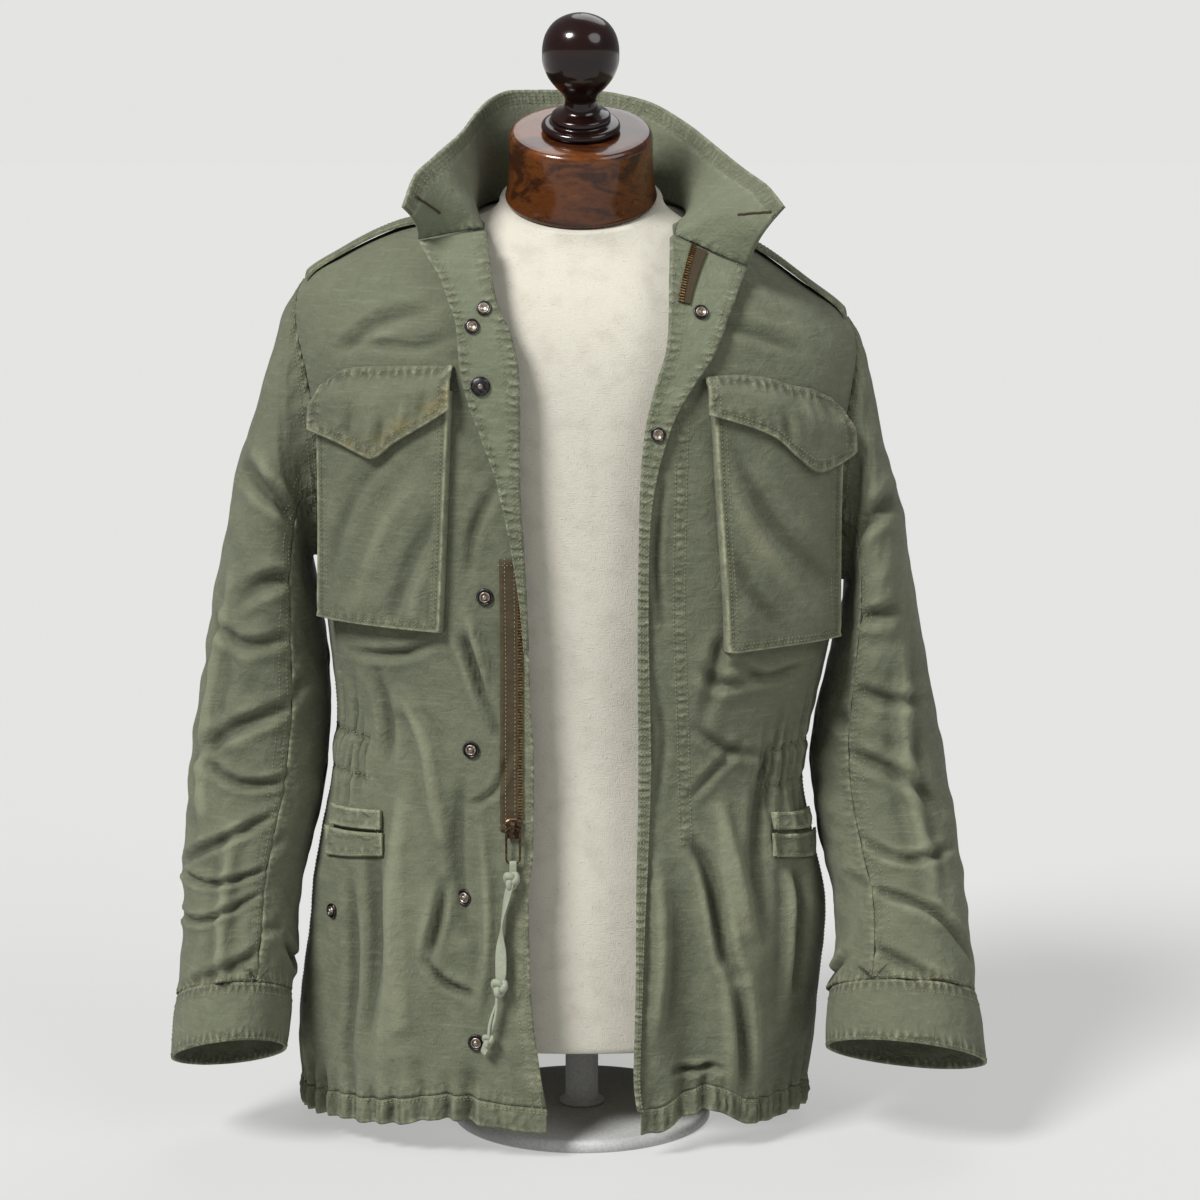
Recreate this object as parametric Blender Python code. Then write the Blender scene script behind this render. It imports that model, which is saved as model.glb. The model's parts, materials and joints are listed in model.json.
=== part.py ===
"""Olive field jacket hanging open on a limbless dress form.

Metres. +X is the wearer's left, -Y the front, +Z up. The origin is under the middle of the form's base.
The body of the jacket is a stack of rings. On a ring, turn is 0 at the centre front, 90 at the side
or shoulder seam and 180 at the centre back, in degrees. rise runs up the stack.
side is -1 for the wearer's right and +1 for the wearer's left.
"""

import math

import bpy
import numpy as np

for leftover in list(bpy.data.objects):
    bpy.data.objects.remove(leftover, do_unlink=True)

# ---------------------------------------------------------------- sizes
CLOTH = 0.0016
DOUBLE_CLOTH = 0.0024
SEAM = 0.0004
HEM_RISE = 0.0420
NECK_RISE = 0.7720
HEM_HEIGHT = 0.0215

ARMHOLE_MIDDLE = 0.5880
ARMHOLE_HALF = 0.1130
ARMHOLE_FRONT_TURN = 19.0
ARMHOLE_BACK_TURN = 29.0
SEAM_TURN = 0.10
SLEEVE_STEPS = 18
SLEEVE_SEAM_STEP = 3

WAIST_RISE = 0.3220
WAIST_BAND = 0.0380
WAIST_GATHER = 0.0016
FRONT_PLAIN = 0.46
FRONT_PLAIN_STEPS = 4
FRONT_GATHERS = 6
BACK_GATHERS = 10
HEM_GATHER = 0.0020

ROLL_RADIUS = 0.0014
ROLL_REACH = 0.0035

SECTION_COLUMNS = ("rise", "half", "front", "back", "centre", "tilt", "pitch", "square")
SECTIONS = (
    (0.018, 0.2130, 0.1330, 0.1260, -0.0270, 0.000, 0.00, 2.2),
    (0.100, 0.2205, 0.1330, 0.1250, -0.0230, 0.000, 0.00, 2.2),
    (0.190, 0.2185, 0.1310, 0.1190, -0.0140, 0.010, 0.00, 2.2),
    (0.250, 0.2080, 0.1270, 0.1120, -0.0150, 0.016, 0.00, 2.2),
    (0.305, 0.1985, 0.1230, 0.1070, -0.0145, 0.022, 0.00, 2.2),
    (0.340, 0.1985, 0.1230, 0.1065, -0.0110, 0.026, 0.00, 2.2),
    (0.375, 0.2025, 0.1245, 0.1080, -0.0080, 0.030, 0.00, 2.2),
    (0.450, 0.2140, 0.1280, 0.1130, -0.0045, 0.044, 0.00, 2.3),
    (0.550, 0.2190, 0.1300, 0.1190, -0.0050, 0.060, 0.00, 2.3),
    (0.620, 0.2280, 0.1285, 0.1200, -0.0060, 0.070, 0.00, 2.3),
    (0.670, 0.2345, 0.1240, 0.1170, -0.0070, 0.070, 0.00, 2.2),
    (0.690, 0.2310, 0.1200, 0.1125, -0.0070, 0.070, 0.00, 2.1),
    (0.705, 0.2215, 0.1155, 0.1075, -0.0070, 0.070, 0.00, 2.0),
    (0.725, 0.1900, 0.1080, 0.1000, -0.0070, 0.070, 0.01, 2.0),
    (0.748, 0.1505, 0.0980, 0.0920, -0.0060, 0.060, 0.05, 2.0),
    (0.762, 0.1180, 0.0920, 0.0870, -0.0040, 0.030, 0.12, 2.0),
    (0.772, 0.0870, 0.0860, 0.0820, -0.0030, 0.000, 0.20, 2.0),
)

# Rows of the body panels, from the hem seam to the neck seam. The middle ones follow the armhole.
LOW_ROWS = (0.0420, 0.075, 0.115, 0.160, 0.210, 0.256, 0.290, 0.306, 0.322, 0.338, 0.354, 0.410)
HIGH_ROWS = (0.7130, 0.7270, 0.7410, 0.7530, 0.7630, 0.7720)

# The visible front edges: the fold of the lapel above, the stitched edge below.
EDGE_COLUMNS = ("height", "right", "left")
FRONT_EDGES = (
    (0.015, -0.0260, 0.0470),
    (0.070, -0.0360, 0.0400),
    (0.144, -0.0437, 0.0415),
    (0.222, -0.0455, 0.0420),
    (0.256, -0.0417, 0.0425),
    (0.332, -0.0409, 0.0435),
    (0.383, -0.0437, 0.0430),
    (0.440, -0.0448, 0.0428),
    (0.500, -0.0475, 0.0432),
    (0.563, -0.0508, 0.0446),
    (0.603, -0.0508, 0.0478),
    (0.643, -0.0512, 0.0565),
    (0.675, -0.0575, 0.0655),
    (0.700, -0.0690, 0.0672),
    (0.725, -0.0740, 0.0675),
    (0.755, -0.0775, 0.0684),
)

# The turned-out facings: height at the fold, height at the stitched edge, width across, lift at the edge.
FACING_COLUMNS = ("fold", "edge", "width", "lift")
FACING_RIGHT = (
    (0.4300, 0.4300, 0.0045, 0.000),
    (0.4700, 0.4700, 0.0068, 0.000),
    (0.4935, 0.4935, 0.0092, 0.000),
    (0.5230, 0.5230, 0.0125, 0.001),
    (0.5587, 0.5587, 0.0190, 0.001),
    (0.5920, 0.5920, 0.0305, 0.002),
    (0.6195, 0.6195, 0.0405, 0.002),
    (0.6470, 0.6470, 0.0464, 0.003),
    (0.6730, 0.6730, 0.0430, 0.004),
    (0.6970, 0.6900, 0.0365, 0.005),
    (0.7200, 0.7070, 0.0380, 0.006),
    (0.7400, 0.7220, 0.0450, 0.007),
    (0.7540, 0.7340, 0.0515, 0.008),
)
FACING_LEFT = (
    (0.0460, 0.0460, 0.0045, 0.000),
    (0.1000, 0.1000, 0.0050, 0.000),
    (0.1500, 0.1500, 0.0055, 0.000),
    (0.2400, 0.2400, 0.0085, 0.000),
    (0.3440, 0.3440, 0.0098, 0.000),
    (0.4300, 0.4300, 0.0088, 0.000),
    (0.5024, 0.5024, 0.0080, 0.000),
    (0.5350, 0.5350, 0.0087, 0.001),
    (0.5691, 0.5691, 0.0125, 0.001),
    (0.6000, 0.6000, 0.0175, 0.002),
    (0.6258, 0.6258, 0.0228, 0.002),
    (0.6500, 0.6500, 0.0310, 0.003),
    (0.6780, 0.6740, 0.0380, 0.004),
    (0.7080, 0.6980, 0.0460, 0.005),
    (0.7350, 0.7150, 0.0520, 0.006),
    (0.7560, 0.7300, 0.0570, 0.008),
)

# Outer edge of the collar, from the wearer's right front corner round the back to the left one.
COLLAR_COLUMNS = ("along", "x", "y", "z")
COLLAR_EDGE = (
    (0.00, -0.1424, -0.1150, 0.7798),
    (0.07, -0.1335, -0.1000, 0.8053),
    (0.14, -0.1173, -0.0700, 0.8211),
    (0.22, -0.0990, -0.0300, 0.8370),
    (0.30, -0.0880, 0.0150, 0.8526),
    (0.36, -0.0775, 0.0450, 0.8638),
    (0.42, -0.0610, 0.0780, 0.8703),
    (0.50, -0.0030, 0.1040, 0.8705),
    (0.58, 0.0500, 0.0850, 0.8620),
    (0.65, 0.0800, 0.0530, 0.8465),
    (0.72, 0.1070, 0.0120, 0.8260),
    (0.80, 0.1290, -0.0300, 0.8085),
    (0.91, 0.1490, -0.0850, 0.7935),
    (1.00, 0.1573, -0.1150, 0.7806),
)

# Each row is a ring of the sleeve: its outermost and innermost points, and its reach to front and back.
SLEEVE_COLUMNS = ("outer_x", "outer_z", "inner_z", "clear", "middle_y", "depth", "pitch")
SLEEVE_RIGHT = (
    (-0.2480, 0.6930, 0.4850, 0.0080, 0.0070, 0.0530, 0.00),
    (-0.2600, 0.6570, 0.4790, 0.0100, 0.0080, 0.0610, 0.00),
    (-0.2721, 0.6156, 0.4710, 0.0095, 0.0080, 0.0675, 0.00),
    (-0.2858, 0.5732, 0.4600, 0.0080, 0.0080, 0.0720, 0.00),
    (-0.2963, 0.5304, 0.4450, 0.0070, 0.0095, 0.0750, 0.00),
    (-0.3067, 0.4792, 0.4240, 0.0060, 0.0120, 0.0770, 0.00),
    (-0.3155, 0.4330, 0.3980, 0.0060, 0.0120, 0.0755, 0.00),
    (-0.3227, 0.3877, 0.3650, 0.0060, 0.0120, 0.0730, 0.02),
    (-0.3300, 0.3400, 0.3280, 0.0055, 0.0080, 0.0700, 0.06),
    (-0.3357, 0.2977, 0.2900, 0.0055, 0.0000, 0.0670, 0.14),
    (-0.3372, 0.2550, 0.2500, 0.0060, -0.0130, 0.0635, 0.24),
    (-0.3379, 0.2121, 0.2100, 0.0080, -0.0280, 0.0605, 0.33),
    (-0.3382, 0.1600, 0.1600, 0.0070, -0.0480, 0.0580, 0.41),
    (-0.3404, 0.1210, 0.1270, 0.0050, -0.0640, 0.0565, 0.45),
    (-0.3436, 0.0720, 0.0830, 0.0060, -0.0800, 0.0560, 0.46),
)
SLEEVE_LEFT = (
    (0.2310, 0.6630, 0.4640, 0.0080, 0.0070, 0.0530, 0.00),
    (0.2390, 0.6300, 0.4580, 0.0100, 0.0080, 0.0610, 0.00),
    (0.2475, 0.5900, 0.4500, 0.0095, 0.0080, 0.0675, 0.00),
    (0.2561, 0.5563, 0.4400, 0.0080, 0.0080, 0.0720, 0.00),
    (0.2655, 0.5200, 0.4270, 0.0070, 0.0095, 0.0750, 0.00),
    (0.2740, 0.4750, 0.4080, 0.0060, 0.0120, 0.0770, 0.00),
    (0.2805, 0.4400, 0.3850, 0.0060, 0.0120, 0.0755, 0.00),
    (0.2900, 0.3870, 0.3560, 0.0060, 0.0120, 0.0730, 0.02),
    (0.3000, 0.3350, 0.3200, 0.0060, 0.0080, 0.0700, 0.06),
    (0.3112, 0.2752, 0.2700, 0.0065, 0.0000, 0.0670, 0.14),
    (0.3167, 0.2269, 0.2260, 0.0060, -0.0180, 0.0645, 0.24),
    (0.3200, 0.2000, 0.2000, 0.0060, -0.0310, 0.0625, 0.33),
    (0.3234, 0.1650, 0.1680, 0.0060, -0.0470, 0.0615, 0.41),
    (0.3267, 0.1230, 0.1280, 0.0050, -0.0620, 0.0605, 0.45),
    (0.3339, 0.0680, 0.0840, 0.0060, -0.0800, 0.0620, 0.46),
)

# Height of the hem round the body.
HEM_COLUMNS = ("turn", "height")
HEM_LINE = (
    (-180, 0.0200),
    (-120, 0.0240),
    (-85, 0.0200),
    (-51, 0.0215),
    (-32, 0.0290),
    (-23, 0.0345),
    (-9, 0.0275),
    (5, 0.0230),
    (22, 0.0220),
    (28, 0.0290),
    (35, 0.0390),
    (46, 0.0225),
    (56, 0.0190),
    (85, 0.0190),
    (120, 0.0240),
    (180, 0.0200),
)

# The large soft folds: turn at the low and high end, low and high rise, half width in degrees, depth.
FOLDS = (
    (-40, -34, -0.060, 0.420, 7.0, 0.0055),
    (-54, -50, -0.080, 0.330, 8.0, -0.0050),
    (-22, -26, 0.020, 0.300, 5.0, -0.0045),
    (-13, -24, 0.300, 0.560, 5.0, -0.0040),
    (-70, -72, -0.060, 0.300, 7.0, 0.0035),
    (32, 24, -0.080, 0.300, 4.5, -0.0080),
    (42, 38, -0.080, 0.380, 7.0, 0.0060),
    (60, 56, -0.080, 0.300, 7.0, -0.0035),
    (40, 28, 0.340, 0.560, 7.0, 0.0035),
    (112, 110, -0.080, 0.280, 8.0, 0.0045),
    (132, 134, -0.080, 0.330, 8.0, -0.0050),
    (160, 158, -0.080, 0.300, 9.0, 0.0050),
    (188, 186, -0.080, 0.340, 9.0, -0.0050),
    (212, 214, -0.080, 0.300, 8.0, 0.0050),
    (236, 232, -0.080, 0.280, 8.0, -0.0040),
    (140, 128, 0.370, 0.640, 9.0, 0.0035),
    (222, 234, 0.370, 0.640, 9.0, 0.0035),
)

# Corners of the chest pockets and flaps as (x, height) on the front.
POCKET_CORNERS = {
    -1: ((-0.2080, 0.4430), (-0.1130, 0.4390), (-0.1040, 0.6350), (-0.2120, 0.6180)),
    1: ((0.1120, 0.4230), (0.1990, 0.4270), (0.2050, 0.5960), (0.1000, 0.6250)),
}
POCKET_DEPTH = 0.0095
POCKET_FLARE = 0.0060

# Flaps: along from the viewer's left, height of the top seam, height of the lower edge.
FLAP_COLUMNS = ("along", "top", "bottom")
FLAP_ENDS = {-1: (-0.2130, -0.1040), 1: (0.0960, 0.2090)}
FLAP_RIGHT = (
    (0.00, 0.6335, 0.5998),
    (0.20, 0.6495, 0.5920),
    (0.36, 0.6520, 0.5835),
    (0.45, 0.6525, 0.5795),
    (0.62, 0.6535, 0.5935),
    (0.85, 0.6545, 0.6095),
    (1.00, 0.6551, 0.6207),
)
FLAP_LEFT = (
    (0.00, 0.6455, 0.6159),
    (0.20, 0.6465, 0.6090),
    (0.45, 0.6430, 0.5965),
    (0.60, 0.6370, 0.5800),
    (0.75, 0.6330, 0.5667),
    (0.90, 0.6240, 0.5730),
    (1.00, 0.6130, 0.5800),
)

# Hip pockets: corners as (x, height): outer low, inner low, inner high, outer high.
HIP_FLAP = {
    -1: ((-0.2090, 0.2660), (-0.1669, 0.2700), (-0.1669, 0.2860), (-0.2090, 0.2815)),
    1: ((0.1860, 0.2590), (0.1537, 0.2675), (0.1537, 0.2815), (0.1860, 0.2735)),
}
HIP_WELT = {
    -1: ((-0.2140, 0.2400), (-0.1655, 0.2490), (-0.1655, 0.2675), (-0.2140, 0.2625)),
    1: ((0.1910, 0.2350), (0.1530, 0.2460), (0.1530, 0.2645), (0.1910, 0.2540)),
}

# Shoulder straps: x of the armhole end and of the pointed end.
STRAP_ENDS = {-1: (-0.2270, -0.1120), 1: (0.2130, 0.1120)}
STRAP_WIDTHS = ((0.00, 0.0240), (0.55, 0.0205), (0.85, 0.0180), (1.00, 0.0040))

# Zip: the tape's two edges, its heights, and where the slider sits.
ZIP_TAPE_X = (-0.0682, -0.0515)
ZIP_HEIGHTS = (0.2765, 0.5000)
SLIDER_PLACE = (-0.0570, 0.2790)
PULL_LENGTH = 0.0300
PULL_WIDTH = 0.0110
PULL_ROD = 0.0009

# The cotton tape tied to the pull, below its top: x, height, distance out from the front.
TAPE_RADIUS = 0.0028
TAPE_PATH = (
    (-0.0605, 0.2330, 0.0110),
    (-0.0640, 0.2180, 0.0090),
    (-0.0665, 0.2000, 0.0085),
    (-0.0672, 0.1820, 0.0085),
    (-0.0672, 0.1640, 0.0085),
    (-0.0690, 0.1460, 0.0085),
    (-0.0720, 0.1300, 0.0085),
    (-0.0750, 0.1150, 0.0085),
    (-0.0775, 0.1030, 0.0085),
    (-0.0824, 0.0880, 0.0080),
)
KNOT_HEIGHTS = {"pull_knot_upper": 0.2385, "pull_knot_lower": 0.1500, "pull_knot_end": 0.1055}
KNOT_RADII = {"pull_knot_upper": 0.0078, "pull_knot_lower": 0.0072, "pull_knot_end": 0.0062}

# Snaps: x, height, radius, on which layer they sit.
SNAPS = {
    "snap_stud_1": (-0.0803, 0.4684, 0.0070, "front"),
    "snap_stud_2": (-0.0917, 0.3424, 0.0070, "front"),
    "snap_stud_3": (-0.0987, 0.2200, 0.0070, "front"),
    "snap_stud_4": (-0.0887, 0.0946, 0.0070, "front"),
    "snap_ring_1": (-0.0793, 0.6998, 0.0060, "facing"),
    "snap_ring_2": (-0.0890, 0.6862, 0.0060, "facing"),
    "snap_cap_1": (-0.0820, 0.6391, 0.0078, "facing"),
    "snap_socket_1": (0.0930, 0.6960, 0.0060, "facing"),
    "snap_socket_2": (0.0590, 0.6010, 0.0060, "facing"),
    "snap_hip": (-0.2100, 0.1955, 0.0060, "front"),
}

# Torso of the form: how far it stands in from the cloth's rings at the side, front and back.
# Its front also sinks towards the pit of the neck.
EASE_COLUMNS = ("rise", "side", "front", "back", "sink")
TORSO_EASE = (
    (0.080, 0.0520, 0.0330, 0.0300, 0.000),
    (0.190, 0.0500, 0.0300, 0.0220, 0.000),
    (0.320, 0.0480, 0.0260, 0.0160, 0.000),
    (0.450, 0.0450, 0.0220, 0.0140, 0.000),
    (0.560, 0.0420, 0.0200, 0.0140, 0.000),
    (0.640, 0.0400, 0.0160, 0.0120, 0.000),
    (0.690, 0.0270, 0.0130, 0.0070, 0.000),
    (0.712, 0.0060, 0.0180, 0.0020, 0.002),
    (0.726, 0.0000, 0.0225, 0.0000, 0.005),
    (0.738, 0.0000, 0.0280, 0.0000, 0.007),
    (0.750, 0.0000, 0.0330, 0.0000, 0.010),
    (0.759, 0.0000, 0.0370, 0.0000, 0.013),
    (0.768, 0.0000, 0.0390, 0.0000, 0.016),
)
TORSO_ROWS = (
    0.0810, 0.140, 0.215, 0.290, 0.370, 0.450, 0.530, 0.600, 0.655,
    0.685, 0.702, 0.714, 0.726, 0.738, 0.750, 0.759, 0.767,
)
TORSO_STEPS = 24
TORSO_CENTRE = -0.003
SEAT_GAP = 0.0014
NECK_LEAN = 22.0
NECK_TOP = (-0.0030, 0.0090, 0.7815)
NECK_RADIUS = 0.0675
BLOCK_HEIGHT = 0.0620
BASE_RADIUS = 0.1100
BASE_HEIGHT = 0.0100
POST_RADIUS = 0.0140

# Moves everything so that the origin is under the middle of the whole.
PLACE = np.array((0.00485, 0.00763, 0.0))


# ---------------------------------------------------------------- curves through tables
def spline(places, values):
    """A smooth curve through the values that never overshoots them."""
    places = np.array(places, float)
    values = np.array(values, float)
    steps = np.diff(places)
    rates = np.diff(values) / steps
    slopes = np.zeros(len(places))
    slopes[0] = rates[0]
    slopes[-1] = rates[-1]
    for i in range(1, len(rates)):
        if rates[i - 1] * rates[i] > 0:
            near = 2 * steps[i] + steps[i - 1]
            far = steps[i] + 2 * steps[i - 1]
            slopes[i] = (near + far) / (near / rates[i - 1] + far / rates[i])

    def at(place):
        place = min(max(place, places[0]), places[-1])
        i = min(int(np.searchsorted(places, place, side="right")) - 1, len(steps) - 1)
        t = (place - places[i]) / steps[i]
        rising = values[i] * (1 + 2 * t) * (1 - t) ** 2 + values[i + 1] * t * t * (3 - 2 * t)
        turning = slopes[i] * t * (1 - t) ** 2 - slopes[i + 1] * t * t * (1 - t)
        return float(rising + turning * steps[i])

    return at


def curves(columns, rows):
    """One curve for each named column, along the first column."""
    first = [row[0] for row in rows]
    return {name: spline(first, [row[i] for row in rows]) for i, name in enumerate(columns) if i}


section = curves(SECTION_COLUMNS, SECTIONS)
edges = curves(EDGE_COLUMNS, FRONT_EDGES)
hem_line = curves(HEM_COLUMNS, HEM_LINE)
ease = curves(EASE_COLUMNS, TORSO_EASE)
collar_edge = curves(COLLAR_COLUMNS, COLLAR_EDGE)
facing_tables = {-1: FACING_RIGHT, 1: FACING_LEFT}
sleeve_tables = {-1: SLEEVE_RIGHT, 1: SLEEVE_LEFT}


def swell(value, low, high):
    """0 outside low to high, rising smoothly to 1 half way."""
    share = (value - low) / (high - low)
    if share <= 0 or share >= 1:
        return 0.0
    return math.sin(math.pi * share) ** 2


def step(value, low, high):
    """0 below low, 1 above high, smooth between."""
    share = min(max((value - low) / (high - low), 0.0), 1.0)
    return share * share * (3 - 2 * share)


# ---------------------------------------------------------------- the body's surface
def ring_point(turn, rise, side_ease=0.0, front_ease=0.0, back_ease=0.0):
    """A point of the plain ring, before folds."""
    half = section["half"](rise) - side_ease
    front = section["front"](rise) - front_ease
    back = section["back"](rise) - back_ease
    power = section["square"](rise)
    across = math.sin(math.radians(turn))
    ahead = math.cos(math.radians(turn))
    grow = (abs(across) ** power + abs(ahead) ** power) ** (-1 / power)
    x = half * across * grow
    y = -(front if ahead > 0 else back) * ahead * grow
    z = rise - section["tilt"](rise) * x + section["pitch"](rise) * y
    return np.array((x + section["centre"](rise), y, z))


def ring_normal(turn, rise):
    """The outward direction of the plain ring's surface."""
    along = ring_point(turn + 0.2, rise) - ring_point(turn - 0.2, rise)
    low = max(rise - 0.0005, SECTIONS[0][0])
    high = min(rise + 0.0005, SECTIONS[-1][0])
    up = ring_point(turn, high) - ring_point(turn, low)
    normal = np.cross(along, up)
    normal /= np.linalg.norm(normal)
    outward = ring_point(turn, rise) - np.array((section["centre"](rise), 0, 0))
    outward[2] = 0
    return normal if normal @ outward > 0 else -normal


def fold_depth(turn, rise):
    """How far the large folds move the cloth out at this place."""
    turn = (turn + 90) % 360 - 90
    out = 0.0
    for low_turn, high_turn, low, high, width, depth in FOLDS:
        share = min(max((rise - low) / (high - low), 0.0), 1.0)
        middle = low_turn + (high_turn - low_turn) * share
        off = (turn - middle + 180) % 360 - 180
        if abs(off) < 3 * width:
            out += depth * swell(rise, low, high) * math.exp(-((off / width) ** 2))
    return out


def cloth_point(turn, rise, out=0.0):
    """A point of the jacket's body, folds and hem line included, moved out by a distance."""
    point = ring_point(turn, rise) + ring_normal(turn, rise) * (fold_depth(turn, rise) + out)
    settle = 1 - step(rise, HEM_RISE, 0.150)
    signed = (turn + 180) % 360 - 180
    point[2] += (hem_line["height"](signed) - 0.0210) * settle
    return point


def turn_at(x, rise):
    """The turn, always positive, of the front point that far from the middle of the ring."""
    power = section["square"](rise)
    share = min(abs(x - section["centre"](rise)) / section["half"](rise), 0.999)
    ratio = (share**power / (1 - share**power)) ** (1 / power)
    return math.degrees(math.atan(ratio))


def rise_at(x, z):
    """The rise of the front point with this x and height."""
    rise = z
    for _ in range(4):
        turn = math.copysign(turn_at(x, rise), x - section["centre"](rise))
        rise += z - ring_point(turn, rise)[2]
    return rise


def edge_turn(side, rise):
    """Turn of the front panel's free edge."""
    edge = edges["right" if side < 0 else "left"](rise)
    reach = ROLL_REACH if side > 0 else ROLL_REACH * step(rise, 0.415, 0.430)
    x = edge + side * reach
    return turn_at(x, rise) if (x - section["centre"](rise)) * side > 0 else -turn_at(x, rise)


def armhole_step(rise):
    """Angle round the armhole: 0 under the arm, 180 at the shoulder."""
    share = (ARMHOLE_MIDDLE - rise) / ARMHOLE_HALF
    return math.degrees(math.acos(min(max(share, -1.0), 1.0)))


def front_turn(side, share, rise):
    """Turn across a front: share 0 at the free edge, 1 at the side, armhole or shoulder seam."""
    start = edge_turn(side, rise)
    stop = 90 - max(ARMHOLE_FRONT_TURN * math.sin(math.radians(armhole_step(rise))), SEAM_TURN)
    return side * (start + (stop - start) * share)


def back_turn(share, rise):
    """Turn across the back, from the wearer's left to the right."""
    start = 90 + max(ARMHOLE_BACK_TURN * math.sin(math.radians(armhole_step(rise))), SEAM_TURN)
    return start + (360 - 2 * start) * share


def front_gather(share, rise):
    if share <= FRONT_PLAIN:
        return 0.0
    wave = 1 - math.cos(2 * math.pi * FRONT_GATHERS * (share - FRONT_PLAIN) / (1 - FRONT_PLAIN))
    return WAIST_GATHER * wave * swell(rise, WAIST_RISE - WAIST_BAND, WAIST_RISE + WAIST_BAND)


def back_gather(share, rise):
    wave = 1 - math.cos(2 * math.pi * BACK_GATHERS * share)
    return WAIST_GATHER * wave * swell(rise, WAIST_RISE - WAIST_BAND, WAIST_RISE + WAIST_BAND)


# ---------------------------------------------------------------- making solids
def colour(name, rgb, roughness, metallic=0.0):
    material = bpy.data.materials.new(name)
    material.use_nodes = True
    shader = material.node_tree.nodes["Principled BSDF"]
    shader.inputs["Base Color"].default_value = (*rgb, 1.0)
    shader.inputs["Roughness"].default_value = roughness
    shader.inputs["Metallic"].default_value = metallic
    material.diffuse_color = (*rgb, 1.0)
    return material


OLIVE = (0.125, 0.150, 0.095)
SAGE = (0.215, 0.245, 0.145)
BRONZE = (0.100, 0.040, 0.022)
GUNMETAL = (0.030, 0.028, 0.028)
LINEN = (0.580, 0.540, 0.460)
WALNUT = (0.155, 0.053, 0.013)
MAHOGANY = (0.018, 0.003, 0.002)
STEEL = (0.45, 0.45, 0.44)
ZIP_CLOTH = (0.10, 0.065, 0.03)
COTTON = (0.36, 0.40, 0.31)

jacket = bpy.data.collections.new("field_jacket")
bpy.context.scene.collection.children.link(jacket)


def add_solid(name, points, faces, rgb, roughness, metallic=0.0):
    """A closed mesh object whose faces look outwards."""
    mesh = bpy.data.meshes.new(name)
    corners = np.array(points) + PLACE
    volume = 0.0
    for face in faces:
        a = corners[face[0]]
        for second, third in zip(face[1:-1], face[2:]):
            volume += float(np.dot(a, np.cross(corners[second], corners[third])))
    if volume < 0:
        faces = [tuple(reversed(face)) for face in faces]
    mesh.from_pydata([tuple(map(float, point)) for point in corners], [], faces)
    mesh.materials.append(colour(name, rgb, roughness, metallic))
    obj = bpy.data.objects.new(name, mesh)
    jacket.objects.link(obj)
    return obj


def grid_normals(grid, away, wrap=False):
    """Directions square to a grid of points, on the side away from the given points."""
    if wrap:
        along = np.roll(grid, -1, axis=1) - np.roll(grid, 1, axis=1)
    else:
        along = np.gradient(grid, axis=1)
    normals = np.cross(along, np.gradient(grid, axis=0))
    normals /= np.linalg.norm(normals, axis=2, keepdims=True)
    return normals if (normals * (grid - away)).sum() > 0 else -normals


def add_wall(name, outer, inner, rgb, roughness, wrap=False):
    """A wall between two grids of the same size, closed along its rims."""
    rows, columns = outer.shape[:2]
    count = rows * columns
    points = np.concatenate([outer.reshape(-1, 3), inner.reshape(-1, 3)])
    faces = []
    last = columns if wrap else columns - 1
    for r in range(rows - 1):
        for c in range(last):
            n = (c + 1) % columns
            quad = [r * columns + c, r * columns + n, (r + 1) * columns + n, (r + 1) * columns + c]
            rising = np.linalg.norm(points[quad[0]] - points[quad[2]])
            falling = np.linalg.norm(points[quad[1]] - points[quad[3]])
            if falling < rising:
                quad = quad[1:] + quad[:1]
            for triangle in ((quad[0], quad[1], quad[2]), (quad[0], quad[2], quad[3])):
                faces.append(triangle)
                faces.append(tuple(count + i for i in reversed(triangle)))
    for r, flip in ((0, True), (rows - 1, False)):
        for c in range(last):
            a = r * columns + c
            b = r * columns + (c + 1) % columns
            rim = (a, b, count + b, count + a)
            faces.append(tuple(reversed(rim)) if flip else rim)
    if not wrap:
        for c, flip in ((0, False), (columns - 1, True)):
            for r in range(rows - 1):
                a = r * columns + c
                b = (r + 1) * columns + c
                rim = (a, b, count + b, count + a)
                faces.append(tuple(reversed(rim)) if flip else rim)
    return add_solid(name, points, faces, rgb, roughness)


def add_turned(name, profile, place, axis, steps, rgb, roughness, metallic=0.0):
    """A turned solid: profile rows are (radius, distance along the axis); a radius of 0 closes an end."""
    axis = np.array(axis, float)
    axis /= np.linalg.norm(axis)
    across = np.cross(axis, (1.0, 0.0, 0.0) if abs(axis[0]) < 0.9 else (0.0, 0.0, 1.0))
    across /= np.linalg.norm(across)
    other = np.cross(axis, across)
    points = []
    rings = []
    for radius, distance in profile:
        centre = np.array(place, float) + axis * distance
        if radius == 0:
            rings.append([len(points)])
            points.append(centre)
            continue
        rings.append(list(range(len(points), len(points) + steps)))
        for i in range(steps):
            angle = 2 * math.pi * i / steps
            points.append(centre + radius * (math.cos(angle) * across + math.sin(angle) * other))
    faces = []
    for low, high in zip(rings[:-1], rings[1:]):
        for i in range(steps):
            n = (i + 1) % steps
            if len(low) == 1:
                faces.append((low[0], high[n], high[i]))
            elif len(high) == 1:
                faces.append((low[i], low[n], high[0]))
            else:
                faces.append((low[i], low[n], high[n], high[i]))
    if len(rings[0]) > 1:
        faces.append(tuple(reversed(rings[0])))
    if len(rings[-1]) > 1:
        faces.append(tuple(rings[-1]))
    return add_solid(name, points, faces, rgb, roughness, metallic)


# ---------------------------------------------------------------- fronts and back
def body_rows():
    quarter = 180 / (SLEEVE_STEPS // 2)
    armhole = [
        ARMHOLE_MIDDLE - ARMHOLE_HALF * math.cos(math.radians(quarter * i))
        for i in range(SLEEVE_STEPS // 2 + 1)
    ]
    return list(LOW_ROWS) + armhole + list(HIGH_ROWS)


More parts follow.
